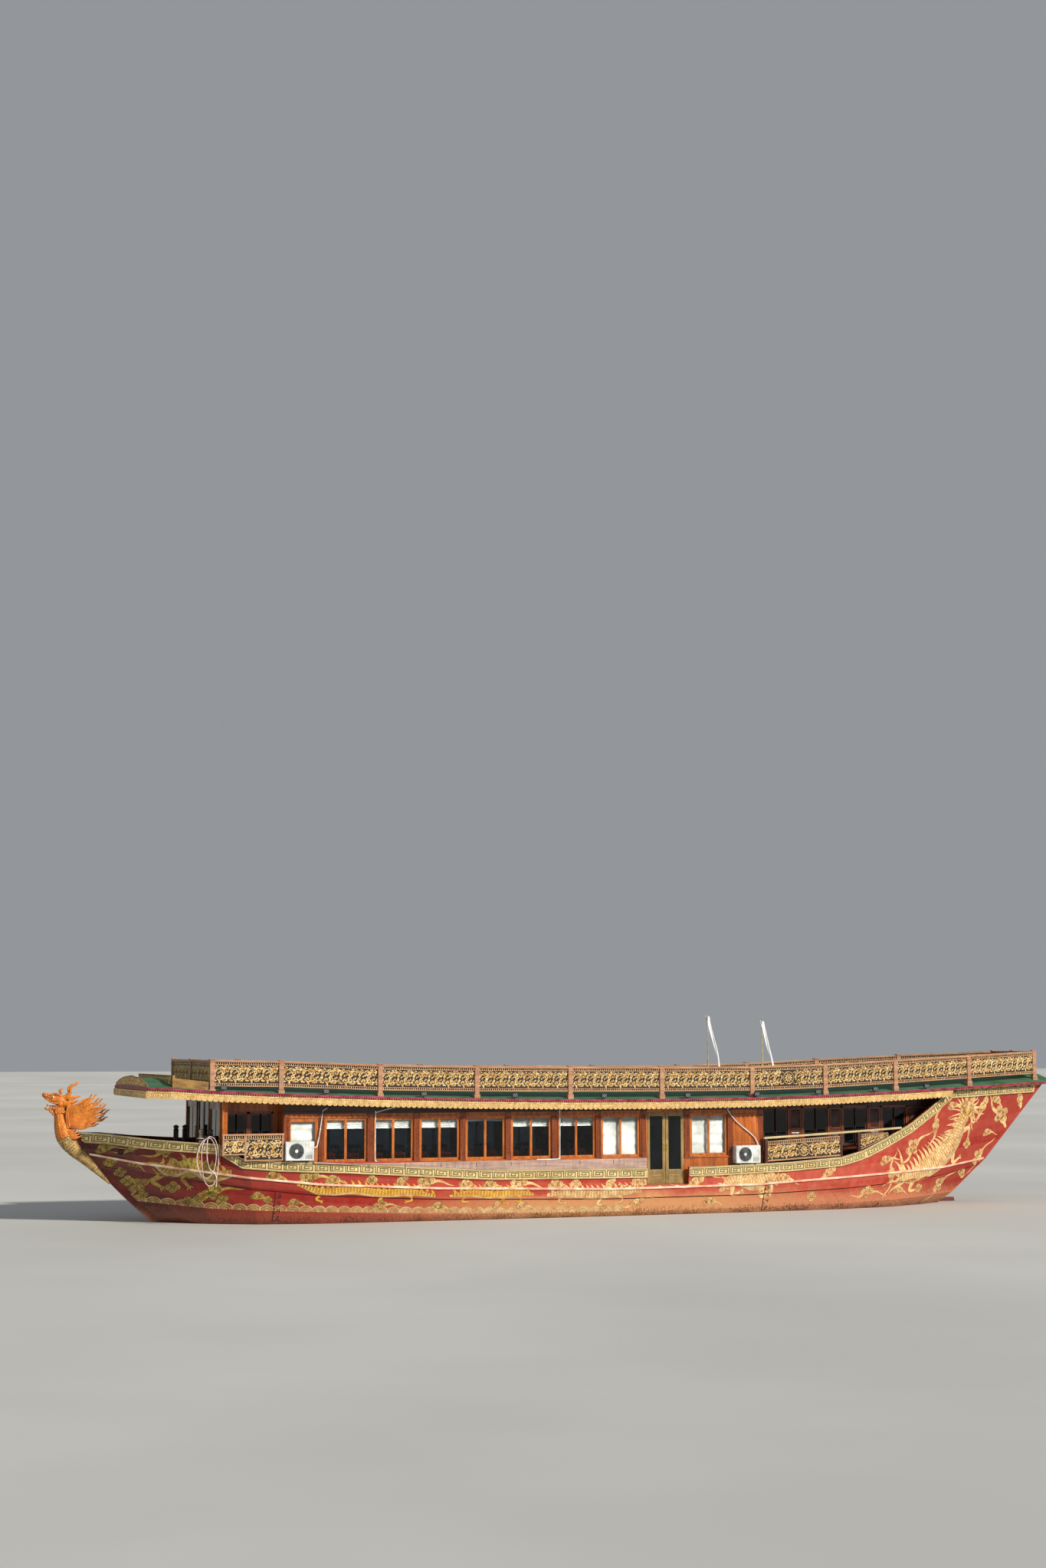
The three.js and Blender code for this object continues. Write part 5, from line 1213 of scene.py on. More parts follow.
def baluster(place, u, low, high, r, out=0.0):
    """A small square baluster with two waists, standing out from the middle of a rail."""
    rows = []
    for share, k in ((0, 1.0), (0.2, 0.55), (0.5, 1.0), (0.8, 0.55), (1, 1.0)):
        rows.append([place(u + r * k * math.cos(t), low + share * (high - low), out + r * k * math.sin(t))
                     for t in (0.785, 2.356, 3.927, 5.498)])
    return grid(rows, True)


def baluster_row(stock, place, long, pitch, low, high, r, out):
    """Two rows of balusters along a rail, one on each side of its board."""
    count = int(long / pitch)
    for n in range(count):
        for side in (-out, out):
            stock.add(baluster(place, (n + 0.5) * long / count, low, high, r, side))


def rail_bay(frame_stock, carved, start, end):
    """A bay of the railing between two posts: rails, dark boards and balusters, ready for the carved panel."""
    place, long = span(start, end)
    inner, clear = span(place(POST_HALF, 0), place(long - POST_HALF, 0))
    # Width, foot and head of each rail, from the flat top rail down
    for width, low, high in ((0.12, -0.045, 0.0), (0.1, -0.058, -0.045), (0.07, -0.128, -0.112),
                             (0.07, -0.68, -0.655), (0.055, -0.61, -0.595)):
        frame_stock.add(box_between(inner, (0, clear), (low, high), (-width / 2, width / 2)))
    # Dark boards behind the carving and the balusters: painted shade for the openwork's gaps
    frame_stock.add(box_between(inner, (0, clear), (-0.6, -0.12), (-0.014, 0.014)), 1)
    for low, high in ((-0.112, -0.058), (-0.655, -0.61)):
        frame_stock.add(box_between(inner, (0, clear), (low, high), (-0.006, 0.006)), 1)
        baluster_row(carved, inner, clear, 0.058, low, high, 0.013, 0.02)
    return inner, clear


def rail_post(stock, x, y, top, foot):
    """A square post with a cap, a ring under it and a wider foot."""
    for half, low, high, chamfer in (
            (POST_HALF, top + FOOT_TOP, top, 0.008), (POST_HALF + 0.015, top, top + 0.024, 0.008),
            (FOOT_HALF, foot, top + FOOT_TOP, 0.01), (POST_HALF + 0.01, top - 0.13, top - 0.11, 0.004)):
        stock.add(block((x - half, y - half, low), (x + half, y + half, high), chamfer))


rail_wood = finish("rail_wood", "85533a", "d09b72", rough=(0.35, 0.6), scale=2.4, stretch=(0.7, 7, 7),
                   dirt=("8d7a70", 0.7), wear=("e6bd96", 0.012), depth=0.002)
# The dark board's colour is painted shade, seen through the carved openwork
openwork_shade_board = finish("openwork_shade_board", "120a06", "2e1a0e", rough=(0.5, 0.8), scale=5.0, depth=0.001)
RAIL_MATS = [rail_wood, openwork_shade_board]

frame_stock, carved = Stock(), Stock()
for n, (start, end) in enumerate(zip(RAIL_CORNERS, RAIL_CORNERS[1:])):
    inner, clear = rail_bay(frame_stock, carved, start, end)
    carve(carved, inner, clear, *PANEL, 0.0142, middle=medallion if n % 2 == 0 else None)
for x, y, top in RAIL_CORNERS:
    rail_post(frame_stock, x, y, top, read(ROOF, x) - 0.02)
frame_stock.pair("rail_frame", RAIL_MATS, slot="varnished_wood", replaces=["roof_rail"], smooth=30)
carved.pair("rail_carving", gilt, slot="gold_carving", smooth=50)

for name, (x, y, top), hand in (("front", RAIL_CORNERS[0], -1), ("stern", RAIL_CORNERS[-1], 1)):
    frame_stock, carved = Stock(), Stock()
    for start, end in ((y * hand, 0), (0, -y * hand)):
        inner, clear = rail_bay(frame_stock, carved, (x, start, top), (x, end, top))
        carve(carved, inner, clear, *PANEL, 0.0142)
    rail_post(frame_stock, x, 0, top, read(ROOF, x) + 0.22)
    frame_stock.piece(f"rail_{name}_frame", RAIL_MATS, slot="varnished_wood", replaces=[f"roof_rail_{name}"],
                      smooth=30)
    carved.piece(f"rail_{name}_carving", gilt, slot="gold_carving", smooth=50)

# Bow crest
# A low carved board that stands round the front of the roof, doweled to the deck, and under it an arched
# gable board nailed to the end of the deck. Both are of weathered wood with a gilt vine.
CREST_X, CREST_HALF, CREST_FOOT = -12.262, 2.3, 3.8
GABLE_X, GABLE_HALF, GABLE_FOOT = -12.925, 2.48, 3.61
GABLE = [(0, 0.25), (0.45, 0.205), (0.8, 0.11), (1, 0.0)]

crest_wood = finish("crest_wood", "5f4420", "b98d4c", rough=(0.5, 0.75), scale=6.0, stretch=(1, 7, 7),
                    dirt=("3c2a17", 0.6), wear=("e0bd7c", 0.012), depth=0.004)
repaint(["roof_crest"], crest_wood)
crest = Stock()
place, long = span((CREST_X, CREST_HALF, CREST_FOOT), (CREST_X, -CREST_HALF, CREST_FOOT))
carve(crest, place, long, -0.17, 0.11, 0.028, pressed_scroll, faces=(1,))
arch = lambda y: 0.05 + read(GABLE, abs(y) / GABLE_HALF)
gable = Stock()
rows = [[(GABLE_X + 0.023, y, GABLE_FOOT), (GABLE_X, y, GABLE_FOOT), (GABLE_X, y, GABLE_FOOT + arch(y)),
         (GABLE_X + 0.023, y, GABLE_FOOT + arch(y))] for y in np.linspace(2.4, -2.4, 33)]
gable.add(grid(rows, True, True))
gable.piece("gable_board", crest_wood, slot="gold_carving", smooth=30)
place, long = span((GABLE_X, 2.1, GABLE_FOOT), (GABLE_X, -2.1, GABLE_FOOT))
bow_face = lambda u, v, out: place(u, 0.02 + v * (arch(2.1 - u) - 0.03), out)
carve(crest, bow_face, long, 0.0, 1.0, 0.0, pressed_scroll, faces=(1,))
crest.piece("crest_carving", gilt, slot="gold_carving", smooth=50)

# Floodlights
# Small black lamps in cast metal with ribbed backs and a prismatic glass. Each is bolted to a bracket that
# stands on the eave band.
LAMPS = [-11.0, -8.25, -5.55, -2.95, -0.33, 2.2, 4.35, 6.3, 8.2, 10.0]

lamp_black = finish("lamp_black", "0c0d0f", "2a2c30", rough=(0.4, 0.6), scale=9.0, wear=("6a6c70", 0.004),
                    depth=0.001)
lamp_glass, tree, shader, place = new_material("lamp_glass", 0.08, Coat_Weight=0.6)
facets = put(tree, "TexVoronoi", {"Vector": place, "Scale": 60.0}).outputs["Distance"]
dress(tree, shader, blend(tree, facets, tone("23272a"), tone("70787b")), None, facets, 0.002)
lamps = Stock()
for x in LAMPS:
    z, y = read(ROOF, x) + 0.02, -read(ROOF, x, 2)
    lamps.add(block((x - 0.012, y, z - 0.005), (x + 0.012, y + 0.1, z + 0.012), 0.003))
    lamps.add(block((x - 0.012, y + 0.01, z), (x + 0.012, y + 0.03, z + 0.07), 0.003))
    lamps.add(block((x - 0.085, y - 0.03, z + 0.03), (x + 0.085, y + 0.03, z + 0.15), 0.012))
    for k in range(5):
        rib = x - 0.07 + k * 0.033
        lamps.add(block((rib, y + 0.028, z + 0.045), (rib + 0.008, y + 0.05, z + 0.135), 0.002))
    lamps.add(block((x - 0.07, y - 0.036, z + 0.045), (x + 0.07, y - 0.028, z + 0.135), 0.003), 1)
lamps.pair("floodlights", [lamp_black, lamp_glass], slot="iron", smooth=40)

# Figurehead
# A dragon carved from timber and bolted over the stem: an open mouthed head with horns, a fan of flame
# strands on each side, a scaled throat and a ringed belly that tapers down the stem. Orange over gold.
NECK = [
    # x, y, z, half width, half height
    (-13.43, 0, 1.06, 0.05, 0.035), (-13.73, 0, 1.35, 0.09, 0.08), (-14.09, 0, 1.69, 0.138, 0.135),
    (-14.42, 0, 1.98, 0.183, 0.183), (-14.64, 0, 2.28, 0.213, 0.222), (-14.72, 0, 2.56, 0.203, 0.212),
    (-14.78, 0, 2.8, 0.15, 0.164), (-14.83, 0, 2.96, 0.125, 0.14), (-14.85, 0, 3.13, 0.11, 0.12),
]
THROAT_Z = 2.3
ROUND, ALONG = 144, 320
SCALE_ROWS, SCALE_COLUMNS = 0.075, 18
BELLY_RINGS = 0.075
ORANGE, CREAM, BLACK, WHITE, RED = range(5)


def ringed(rows, count):
    """Centres, ways and half sizes along a limb, with its side and upper directions."""
    line = bend(rows, count)
    ways = directions(line[:, :3])
    sides = np.array([0, 1.0, 0]) - ways * ways[:, 1:2]
    sides /= np.linalg.norm(sides, axis=1)[:, None]
    return line, ways, sides, np.cross(ways, sides)


def scale_shape(column, row):
    """Height of a rounded, overlapping scale, and whether the place lies in the shade under a rim."""
    count = math.floor(row)
    across = lambda shift: (column + 0.5 * (shift % 2)) % 1.0 - 0.5
    rim = lambda u: 0.9 * (1 - math.sqrt(max(0.0, 1 - 4 * u * u)))
    u = across(count)
    up = row - count - rim(u)
    shaded = -0.26 < up < 0
    if up < 0:
        u = across(count - 1)
        up = row - count + 1 - rim(u)
    return 0.017 * (1 - 0.62 * up) * (1 - 1.2 * u * u) - 0.006, shaded


dragon_orange = finish("dragon_orange", "a84a0c", "f0942a", rough=(0.4, 0.65), scale=9.0,
                       stretch=(2.5, 5, 1.2), dirt=("6b3210", 0.7), wear=("ffcd83", 0.008), depth=0.004)
belly_cream = finish("belly_cream", "93743f", "e2bd74", rough=(0.5, 0.75), scale=8.0, dirt=("4d3c22", 0.9),
                     wear=("f6dda2", 0.008), depth=0.003)
# Black for the pupils and nostrils, and painted shade under the scale rims and in the strand grooves
black_paint_and_shade = finish("black_paint_and_shade", "14110d", "3a2f1e", rough=(0.5, 0.8), scale=9.0, wear=("b48a45", 0.01))
tooth_white = finish("tooth_white", "d9c9a0", "fbf3dc", rough=(0.3, 0.5), scale=20.0, depth=0.0005)
mouth_red = finish("mouth_red", "6e140f", "b53325", rough=(0.3, 0.5), scale=15.0, depth=0.001)
DRAGON_MATS = [dragon_orange, belly_cream, black_paint_and_shade, tooth_white, mouth_red]

line, ways, sides, over = ringed(NECK, ALONG)
travel = np.concatenate([[0], np.cumsum(np.linalg.norm(np.diff(line[:, :3], axis=0), axis=1))])
rows = []
rim_shadow = np.zeros((ALONG, ROUND))
for i, (row, side, up) in enumerate(zip(line, sides, over)):
    ring = []
    for k in range(ROUND):
        turn = math.tau * k / ROUND
        forward = side * math.cos(turn) * row[3] + up * math.sin(turn) * row[4]
        reach = np.linalg.norm(forward)
        belly = forward @ np.array([-0.8, 0, -0.6]) / reach if row[2] > THROAT_Z else 0.0
        if belly > 0.55:
            lift = 0.012 * (1 - (travel[i] / BELLY_RINGS) % 1.0) - 0.004
        elif belly > 0.42:
            lift = 0.012
        else:
            lift, rim_shadow[i, k] = scale_shape(turn * SCALE_COLUMNS / (math.tau), travel[i] / SCALE_ROWS)
        ring.append(row[:3] + forward * (1 + lift * min(1.0, row[3] / 0.1) / max(reach, 0.03)))
    rows.append(ring)
points, faces = grid(rows, True, True)
paints = []
# Black under each scale's rim on the throat is painted shadow
for face in faces[:-2]:
    low = line[face[0] // ROUND][2] < THROAT_Z
    shaded = sum(rim_shadow[divmod(v, ROUND)] for v in face) > 1.5
    paints.append(BLACK if low and shaded else CREAM if low else ORANGE)
neck = Stock()
neck.add((points, faces), paints + [ORANGE, ORANGE])
neck.piece("dragon_throat", DRAGON_MATS, slot="dragon_wood", replaces=["dragon_neck"], smooth=50)

# Dragon head
# Skull, jaw and horns carved as one block, with teeth of bone colour, red tongue, set in eyes and whiskers,
# and a beard of small flame strands under the jaw.
SKULL = [
    (-14.55, 0, 3.15, 0.08, 0.1), (-14.68, 0, 3.21, 0.14, 0.15), (-14.84, 0, 3.27, 0.155, 0.15),
    (-14.99, 0, 3.31, 0.125, 0.115), (-15.11, 0, 3.345, 0.098, 0.08), (-15.2, 0, 3.385, 0.088, 0.066),
    (-15.262, 0, 3.42, 0.06, 0.045),
]
JAW = [
    (-14.74, 0, 3.1, 0.12, 0.08), (-14.9, 0, 3.055, 0.112, 0.05), (-15.04, 0, 3.02, 0.086, 0.034),
    (-15.15, 0, 3.03, 0.058, 0.028), (-15.205, 0, 3.065, 0.034, 0.022),
]
LONG_HORN = [
    (-14.72, 0.08, 3.33, 0.045, 0.045), (-14.62, 0.12, 3.37, 0.042, 0.042),
    (-14.55, 0.145, 3.46, 0.037, 0.037), (-14.56, 0.16, 3.56, 0.033, 0.033),
    (-14.5, 0.17, 3.64, 0.028, 0.028), (-14.4, 0.178, 3.68, 0.022, 0.022),
    (-14.345, 0.184, 3.755, 0.01, 0.01),
]
SHORT_HORN = [
    (-14.84, 0.07, 3.36, 0.036, 0.036), (-14.79, 0.09, 3.45, 0.03, 0.03), (-14.81, 0.1, 3.52, 0.024, 0.024),
    (-14.745, 0.105, 3.565, 0.012, 0.012),
]


def limb(rows, sides=12, count=20, ripple=0.0, waves=0):
    """A tapered limb through rows of (x, y, z, half width, half height), ringed by ripples if asked."""
    line, ways, across, over = ringed(rows, count)
    swell = 1 + ripple * np.sin(np.linspace(0, waves * math.tau, count))
    turns = around(sides)
    return grid([[row[:3] + (a * math.cos(t) * row[3] + b * math.sin(t) * row[4]) * k for t in turns]
                 for row, a, b, k in zip(line, across, over, swell)], True, True)


def strand(rows, count=22, across=13, grooves=2.5):
    """A flame strand, flat and grooved along its length."""
    line, ways, sides, over = ringed(rows, count)
    shape = np.linspace(-1, 1, across)
    rings = []
    for row, side, up in zip(line, sides, over):
        high = np.sqrt(np.maximum(1 - shape ** 2, 0.0)) * (0.8 + 0.2 * np.cos(shape * grooves * math.tau))
        front = [row[:3] + up * s * row[4] + side * h * row[3] for s, h in zip(shape, high)]
        back = [row[:3] + up * s * row[4] - side * h * row[3] for s, h in zip(shape, high)][1:-1][::-1]
        rings.append(front + back)
    return grid(rings, True, True)


def fused(parts, voxel, rounds):
    """Joins overlapping parts into one carved skin, evened out in rounds: its points and faces."""
    stock = Stock()
    for part in parts:
        stock.add(part)
    mesh = bpy.data.meshes.new("fused")
    mesh.from_pydata(stock.points, [], stock.faces)
    body = bpy.data.objects.new("fused", mesh)
    scene.collection.objects.link(body)
    melt = body.modifiers.new("melt", "REMESH")
    melt.mode = "VOXEL"
    melt.voxel_size = voxel
    even = body.modifiers.new("even", "SMOOTH")
    even.factor = 0.5
    even.iterations = rounds
    result = body.evaluated_get(bpy.context.evaluated_depsgraph_get()).to_mesh()
    points = [tuple(v.co) for v in result.vertices]
    faces = [tuple(p.vertices) for p in result.polygons]
    bpy.data.objects.remove(body)
    bpy.data.meshes.remove(mesh)
    return points, faces


def tube(path, radii, sides):
    """A round limb along a path. Radii is one size or one for each point."""
    path = np.asarray(path, float)
    radii = np.broadcast_to(np.asarray(radii, float), (len(path),))
    ways = directions(path)
    side = np.cross(ways[0], (0.0, 0.3, 1.0))
    rows = []
    for p, way, r in zip(path, ways, radii):
        side = side - way * np.dot(side, way)
        side /= np.linalg.norm(side)
        over = np.cross(way, side)
        turns = around(sides)
        rows.append([p + side * math.cos(t) * r + over * math.sin(t) * r for t in turns])
    return grid(rows, True, True)


def cone(root, tip, radius):
    """A tooth that tapers to a point."""
    root, tip = np.array(root, float), np.array(tip, float)
    return tube([root, root + (tip - root) * 0.5, tip], [radius, radius * 0.7, radius * 0.08], 6)


def ball(centre, radii):
    radii = np.broadcast_to(np.asarray(radii, float), (3,))
    rows = [[(centre[0] + radii[0] * math.sin(a) * math.cos(t), centre[1] + radii[1] * math.cos(a),
              centre[2] + radii[2] * math.sin(a) * math.sin(t)) for t in around(14)]
            for a in np.linspace(0.05, math.pi - 0.05, 9)]
    return grid(rows, True, True)


masses = [limb(SKULL, 16, 26), limb(JAW, 14, 20)]
for part in (
        limb(LONG_HORN, 10, 34, 0.08, 9), limb(SHORT_HORN, 10, 20, 0.08, 5),
        ball((-15.215, 0.05, 3.425), (0.05, 0.042, 0.042)),
        ball((-14.8, 0.105, 3.16), (0.075, 0.06, 0.075)),
        ball((-14.96, 0.085, 3.32), (0.075, 0.055, 0.065)),
        tube(bend([(-14.8, 0.1, 3.37), (-14.9, 0.125, 3.425), (-15.02, 0.115, 3.41), (-15.1, 0.085, 3.39),
                   (-15.13, 0.08, 3.435)], 14), np.linspace(0.036, 0.018, 14), 8),
        tube(bend([(-14.86, 0.14, 3.3), (-14.93, 0.15, 3.255), (-15.03, 0.13, 3.265), (-15.1, 0.1, 3.3)], 12),
             np.linspace(0.024, 0.014, 12), 8),
        limb([(-14.68, 0.13, 3.29, 0.02, 0.03), (-14.6, 0.19, 3.33, 0.02, 0.05),
              (-14.47, 0.23, 3.36, 0.008, 0.012)], 8, 12),
        tube(bend([(-14.74, 0.115, 3.2), (-14.86, 0.128, 3.17), (-15.0, 0.112, 3.2), (-15.12, 0.09, 3.27),
                   (-15.2, 0.08, 3.33)], 16), 0.018, 8),
        tube(bend([(-14.78, 0.118, 3.1), (-14.92, 0.11, 3.09), (-15.05, 0.085, 3.06), (-15.17, 0.05, 3.065)],
                  14), 0.016, 8)):
    points, faces = part
    masses += [part, ([(x, -y, z) for x, y, z in points], [face[::-1] for face in faces])]
for tip in ((-14.25, 0, 3.37), (-14.3, 0, 3.25), (-14.36, 0, 3.13)):
    masses.append(limb([(-14.66, 0, 3.22, 0.05, 0.07), ((-14.66 + tip[0]) / 2, 0, tip[2] - 0.05, 0.03, 0.05),
                        (*tip, 0.008, 0.012)], 8, 14))
head = Stock()
head.add(fused(masses, 0.0085, 3))
for k, share in enumerate(np.linspace(0, 1, 8)):
    x = -14.9 - 0.28 * share
    wide = 0.118 - 0.045 * share
    top, low = 3.185 + 0.125 * share ** 1.4, 3.075 - 0.015 * share
    long = 0.075 if k == 6 else 0.042
    for y in (wide, -wide):
        head.add(cone((x, y, top + 0.01), (x - 0.01, y * 0.96, top - long), 0.014), WHITE)
        if k < 7:
            tip = (x - 0.006, y * 0.84, low + 0.045 + 0.03 * (k == 5))
            head.add(cone((x, y * 0.86, low - 0.02), tip, 0.012), WHITE)
head.add(limb([(-14.8, 0, 3.09, 0.06, 0.02), (-14.95, 0, 3.11, 0.055, 0.018), (-15.08, 0, 3.11, 0.045, 0.015),
               (-15.15, 0, 3.15, 0.02, 0.01)], 10, 14), RED)
for side in (1, -1):
    head.add(ball((-15.0, side * 0.118, 3.345), 0.036), WHITE)
    head.add(ball((-15.022, side * 0.141, 3.347), 0.0175), BLACK)
    rim = [(-15.0 + 0.043 * math.cos(t), side * 0.133, 3.345 + 0.038 * math.sin(t))
           for t in np.linspace(0, math.tau, 17)]
    head.add(tube(rim, 0.0075, 6))
    head.add(ball((-15.252, side * 0.05, 3.43), (0.012, 0.016, 0.013)), BLACK)
    whisker = bend([(-15.2, side * 0.08, 3.38), (-15.17, side * 0.17, 3.36), (-15.06, side * 0.22, 3.42),
                    (-14.98, side * 0.24, 3.37), (-14.9, side * 0.25, 3.41)], 20)
    head.add(tube(whisker, np.linspace(0.015, 0.005, 20), 7))
    for k in range(4):
        root = (-14.78 - 0.04 * k, side * (0.1 - 0.008 * k), 3.06 - 0.008 * k)
        tip = (-14.6 - 0.09 * k, side * (0.2 - 0.02 * k), 2.93 - 0.012 * k)
        middle = [(a + b) / 2 for a, b in zip(root, tip)]
        bend_at = (middle[0] - 0.03, middle[1], middle[2] - 0.02)
        head.add(strand([(*root, 0.02, 0.03), (*bend_at, 0.02, 0.03), (*tip, 0.006, 0.008)], 14, 9, 1.5))
for k in range(5):
    y = (k - 2) * 0.032
    lift = 0.01 * (k % 2)
    head.add(strand([(-15.06, y, 3.01, 0.016, 0.02), (-15.03 + lift, y * 1.2, 2.95, 0.018, 0.024),
                     (-14.97, y * 1.4, 2.91, 0.014, 0.018), (-14.99, y * 1.6, 2.865 + lift, 0.005, 0.006)],
                    16, 9, 1.5))
head.piece("dragon_face", DRAGON_MATS, slot="dragon_wood", replaces=["dragon_head"], smooth=50)

# Flame fans
# Six grooved flame strands a side, let into two uprights behind the cheeks, with four smaller ones below.
# Carved wood painted orange; the black in the grooves along their edges is painted shade.
FLAMES = [  # root z, tip x, tip z, dip, half height
    (3.07, -13.88, 3.42, 0.1, 0.062), (2.99, -13.70, 3.31, 0.13, 0.066), (2.89, -13.585, 3.17, 0.14, 0.07),
    (2.79, -13.525, 3.01, 0.13, 0.07), (2.69, -13.57, 2.82, 0.1, 0.068), (2.60, -13.80, 2.64, 0.07, 0.06),
]


def strand_paints(part, across):
    """Black as painted shade in the groove along both edges of a strand, and orange between them."""
    ring = 2 * across - 2
    place = [face[0] % ring for face in part[1]]
    return [BLACK if min(k, abs(k - across + 1), ring - k) < 1 else ORANGE for k in place]


FLAME_ROOT_X = -14.62
fan = Stock()
for root_z, tip_x, tip_z, dip, tall in FLAMES:
    long = tip_x - FLAME_ROOT_X
    rise = tip_z - root_z
    at = lambda share, up, y: (FLAME_ROOT_X + long * share, -y, root_z + rise * share ** 1.5 + up)
    flame = strand([
        (*at(0.0, 0.0, 0.165), 0.03, tall * 0.9), (*at(0.2, -dip * 0.35, 0.23), 0.036, tall * 1.1),
        (*at(0.45, -dip * 0.8, 0.275), 0.036, tall * 1.15), (*at(0.68, -dip * 0.35, 0.3), 0.03, tall * 0.8),
        (*at(0.84, -dip * 0.55, 0.305), 0.022, tall * 0.5),
        (*at(0.93, -dip * 0.1, 0.305), 0.014, tall * 0.28), (*at(1.0, 0.0, 0.3), 0.007, 0.009)], 34, 15, 2.5)
    fan.add(flame, strand_paints(flame, 15))
for radius, out, low, high in ((0.034, 0.19, 2.53, 3.14), (0.026, 0.222, 2.57, 3.1)):
    ridge_line = bend([(-14.6 + out - 0.19, -out, low), (-14.645 + out - 0.19, -out - 0.012, 2.84),
                       (-14.6 + out - 0.19, -out, high)], 16)
    fan.add(tube(ridge_line, radius, 10))
for k in range(4):
    z = 2.5 - 0.06 * k
    fan.add(strand([(-14.66 + 0.03 * k, -0.17, z, 0.02, 0.04),
                    (-14.55 + 0.03 * k, -0.215, z - 0.05, 0.024, 0.045),
                    (-14.42 + 0.04 * k, -0.22, z - 0.02, 0.01, 0.02),
                    (-14.36 + 0.04 * k, -0.21, z + 0.02, 0.005, 0.006)], 14, 9, 1.5))
fan.pair("dragon_fan", DRAGON_MATS, slot="dragon_wood", replaces=["dragon_mane"], smooth=50)

# Cabin walls
# Varnished boards between fluted pilasters, with a header under the eave painted dark as the eave's shadow,
# and a moulded sill. The fore end and the house aft of the saloon are of darker wood.
BAYS = [
    (-9.26, -8.25), (-8.25, -6.91), (-6.91, -5.61), (-5.61, -4.3), (-4.3, -2.99), (-2.99, -1.64),
    (-1.64, -0.33), (-0.33, 1.01), (2.38, 3.7),
]
WALL_FACE = -2.36
SILL, HEAD = 1.62, 2.79
HALF_PILASTER = 0.08
WALL_FOOT, WALL_HEAD = 1.6, 2.9
PILASTERS = [-9.2, *[start for start, _ in BAYS[1:8]], 1.03, 2.36, 3.7, 4.66]

wall_varnish = finish("wall_varnish", "80380f", "d9772c", rough=(0.22, 0.45), scale=2.0, stretch=(7, 7, 0.6),
                      dirt=("34170e", 0.6), wear=("dc9355", 0.008), depth=0.0015)
pilaster_wood = finish("pilaster_wood", "4b1d10", "9c4b25", rough=(0.2, 0.4), scale=2.5, stretch=(7, 7, 0.6),
                       wear=("cf8550", 0.008), depth=0.001)
# The header's dark colour is the eave's shadow, painted
eave_shadow_header = finish("eave_shadow_header", "1d0d09", "4d281a", rough=(0.3, 0.5), scale=2.5, stretch=(0.6, 7, 7),
                     depth=0.001)
house_wood = finish("house_wood", "1d0f0b", "4a261a", rough=(0.3, 0.5), scale=2.0, seams=(0, 0.14),
                    stretch=(6, 6, 0.7), dirt=("6d5546", 0.35), depth=0.003)
repaint(both("saloon_wall"), wall_varnish)
repaint(both("aft_house_wall"), house_wood)
repaint(["front_wall"], house_wood)


def fluted(stock, x, low, high, face, half=HALF_PILASTER, proud=0.02, paint=0):
    """A pilaster on a wall that faces port: shaft with four flutes, ring pairs, foot and head blocks."""
    section = [(-half + 0.006, 0.0), (-half + 0.006, proud)]
    for k in range(4):
        c = (k - 1.5) * half * 0.42
        section += [(c - 0.012, proud), (c - 0.006, proud - 0.009), (c + 0.006, proud - 0.009),
                    (c + 0.012, proud)]
    section += [(half - 0.006, proud), (half - 0.006, 0.0)]
    rows = [[(x + a, face - b, z) for a, b in section] for z in (low + 0.12, high - 0.1)]
    stock.add(grid(rows), paint)
    rings = [(z, z + 0.018, 0.008, 0.006) for z in (low + 0.2, low + 0.24, high - 0.2, high - 0.16)]
    ends = [(low, low + 0.13, 0.012, 0.008), (high - 0.11, high, 0.012, 0.008)]
    for foot, top, out, chamfer in ends + rings:
        stock.add(block((x - half, face - proud - out, foot), (x + half, face + 0.001, top), chamfer), paint)


def raised_panel(stock, place, u, v, paint=0, field=1, proud=0.012):
    """A fielded panel with a moulding round it, in a bay's frame."""
    side = 0.03
    rails = (v[0] + side, v[1] - side)
    for a, b in ((u, (v[0], v[0] + side)), (u, (v[1] - side, v[1])), ((u[0], u[0] + side), rails),
                 ((u[1] - side, u[1]), rails)):
        stock.add(box_between(place, a, b, (0.0, proud)), paint)
    low, high = (u[0] + side + 0.02, v[0] + side + 0.02), (u[1] - side - 0.02, v[1] - side - 0.02)
    outer, inner = ([place(low[0] + k, low[1] + k, out), place(high[0] - k, low[1] + k, out),
                     place(high[0] - k, high[1] - k, out), place(low[0] + k, high[1] - k, out)]
                    for k, out in ((0, 0), (0.03, proud)))
    points, faces = grid([outer, inner], True)
    stock.add((points, faces + [(4, 5, 6, 7)]), field)


def on_wall(start, end, face=WALL_FACE):
    """The frame and the length of a stretch of a wall that faces port."""
    return span((start, face, 0), (end, face, 0))


trim = Stock()
for x in PILASTERS:
    fluted(trim, x, WALL_FOOT, WALL_HEAD, WALL_FACE)
for start, end in ((-9.28, 1.12), (2.28, 4.73)):
    place, long = on_wall(start, end)
    # Header strips in painted eave shadow, and the sill below the windows
    for low, high, proud, paint in ((WALL_HEAD, 2.955, 0.045, 2), (2.955, 3.13, 0.02, 2),
                                    (1.575, WALL_FOOT, 0.04, 1)):
        trim.add(box_between(place, (0, long), (low, high), (0, proud)), paint)
for a, b in BAYS:
    place, long = on_wall(a + HALF_PILASTER, b - HALF_PILASTER)
    trim.add(box_between(place, (0, long), (WALL_FOOT, 1.622), (-0.001, 0.03)), 1)
    trim.add(box_between(place, (0, long), (2.788, 2.83), (-0.001, 0.016)), 1)
place, long = on_wall(2.45, 3.64)
for k in range(9):
    foot = 1.14 + k * 0.047
    trim.add(box_between(place, (0.02, long - 0.02), (foot, foot + 0.035), (0.0, 0.014)), 1)
place, long = on_wall(3.78, 4.6)
raised_panel(trim, place, (0.02, long - 0.02), (1.95, 2.86), 1, 1)
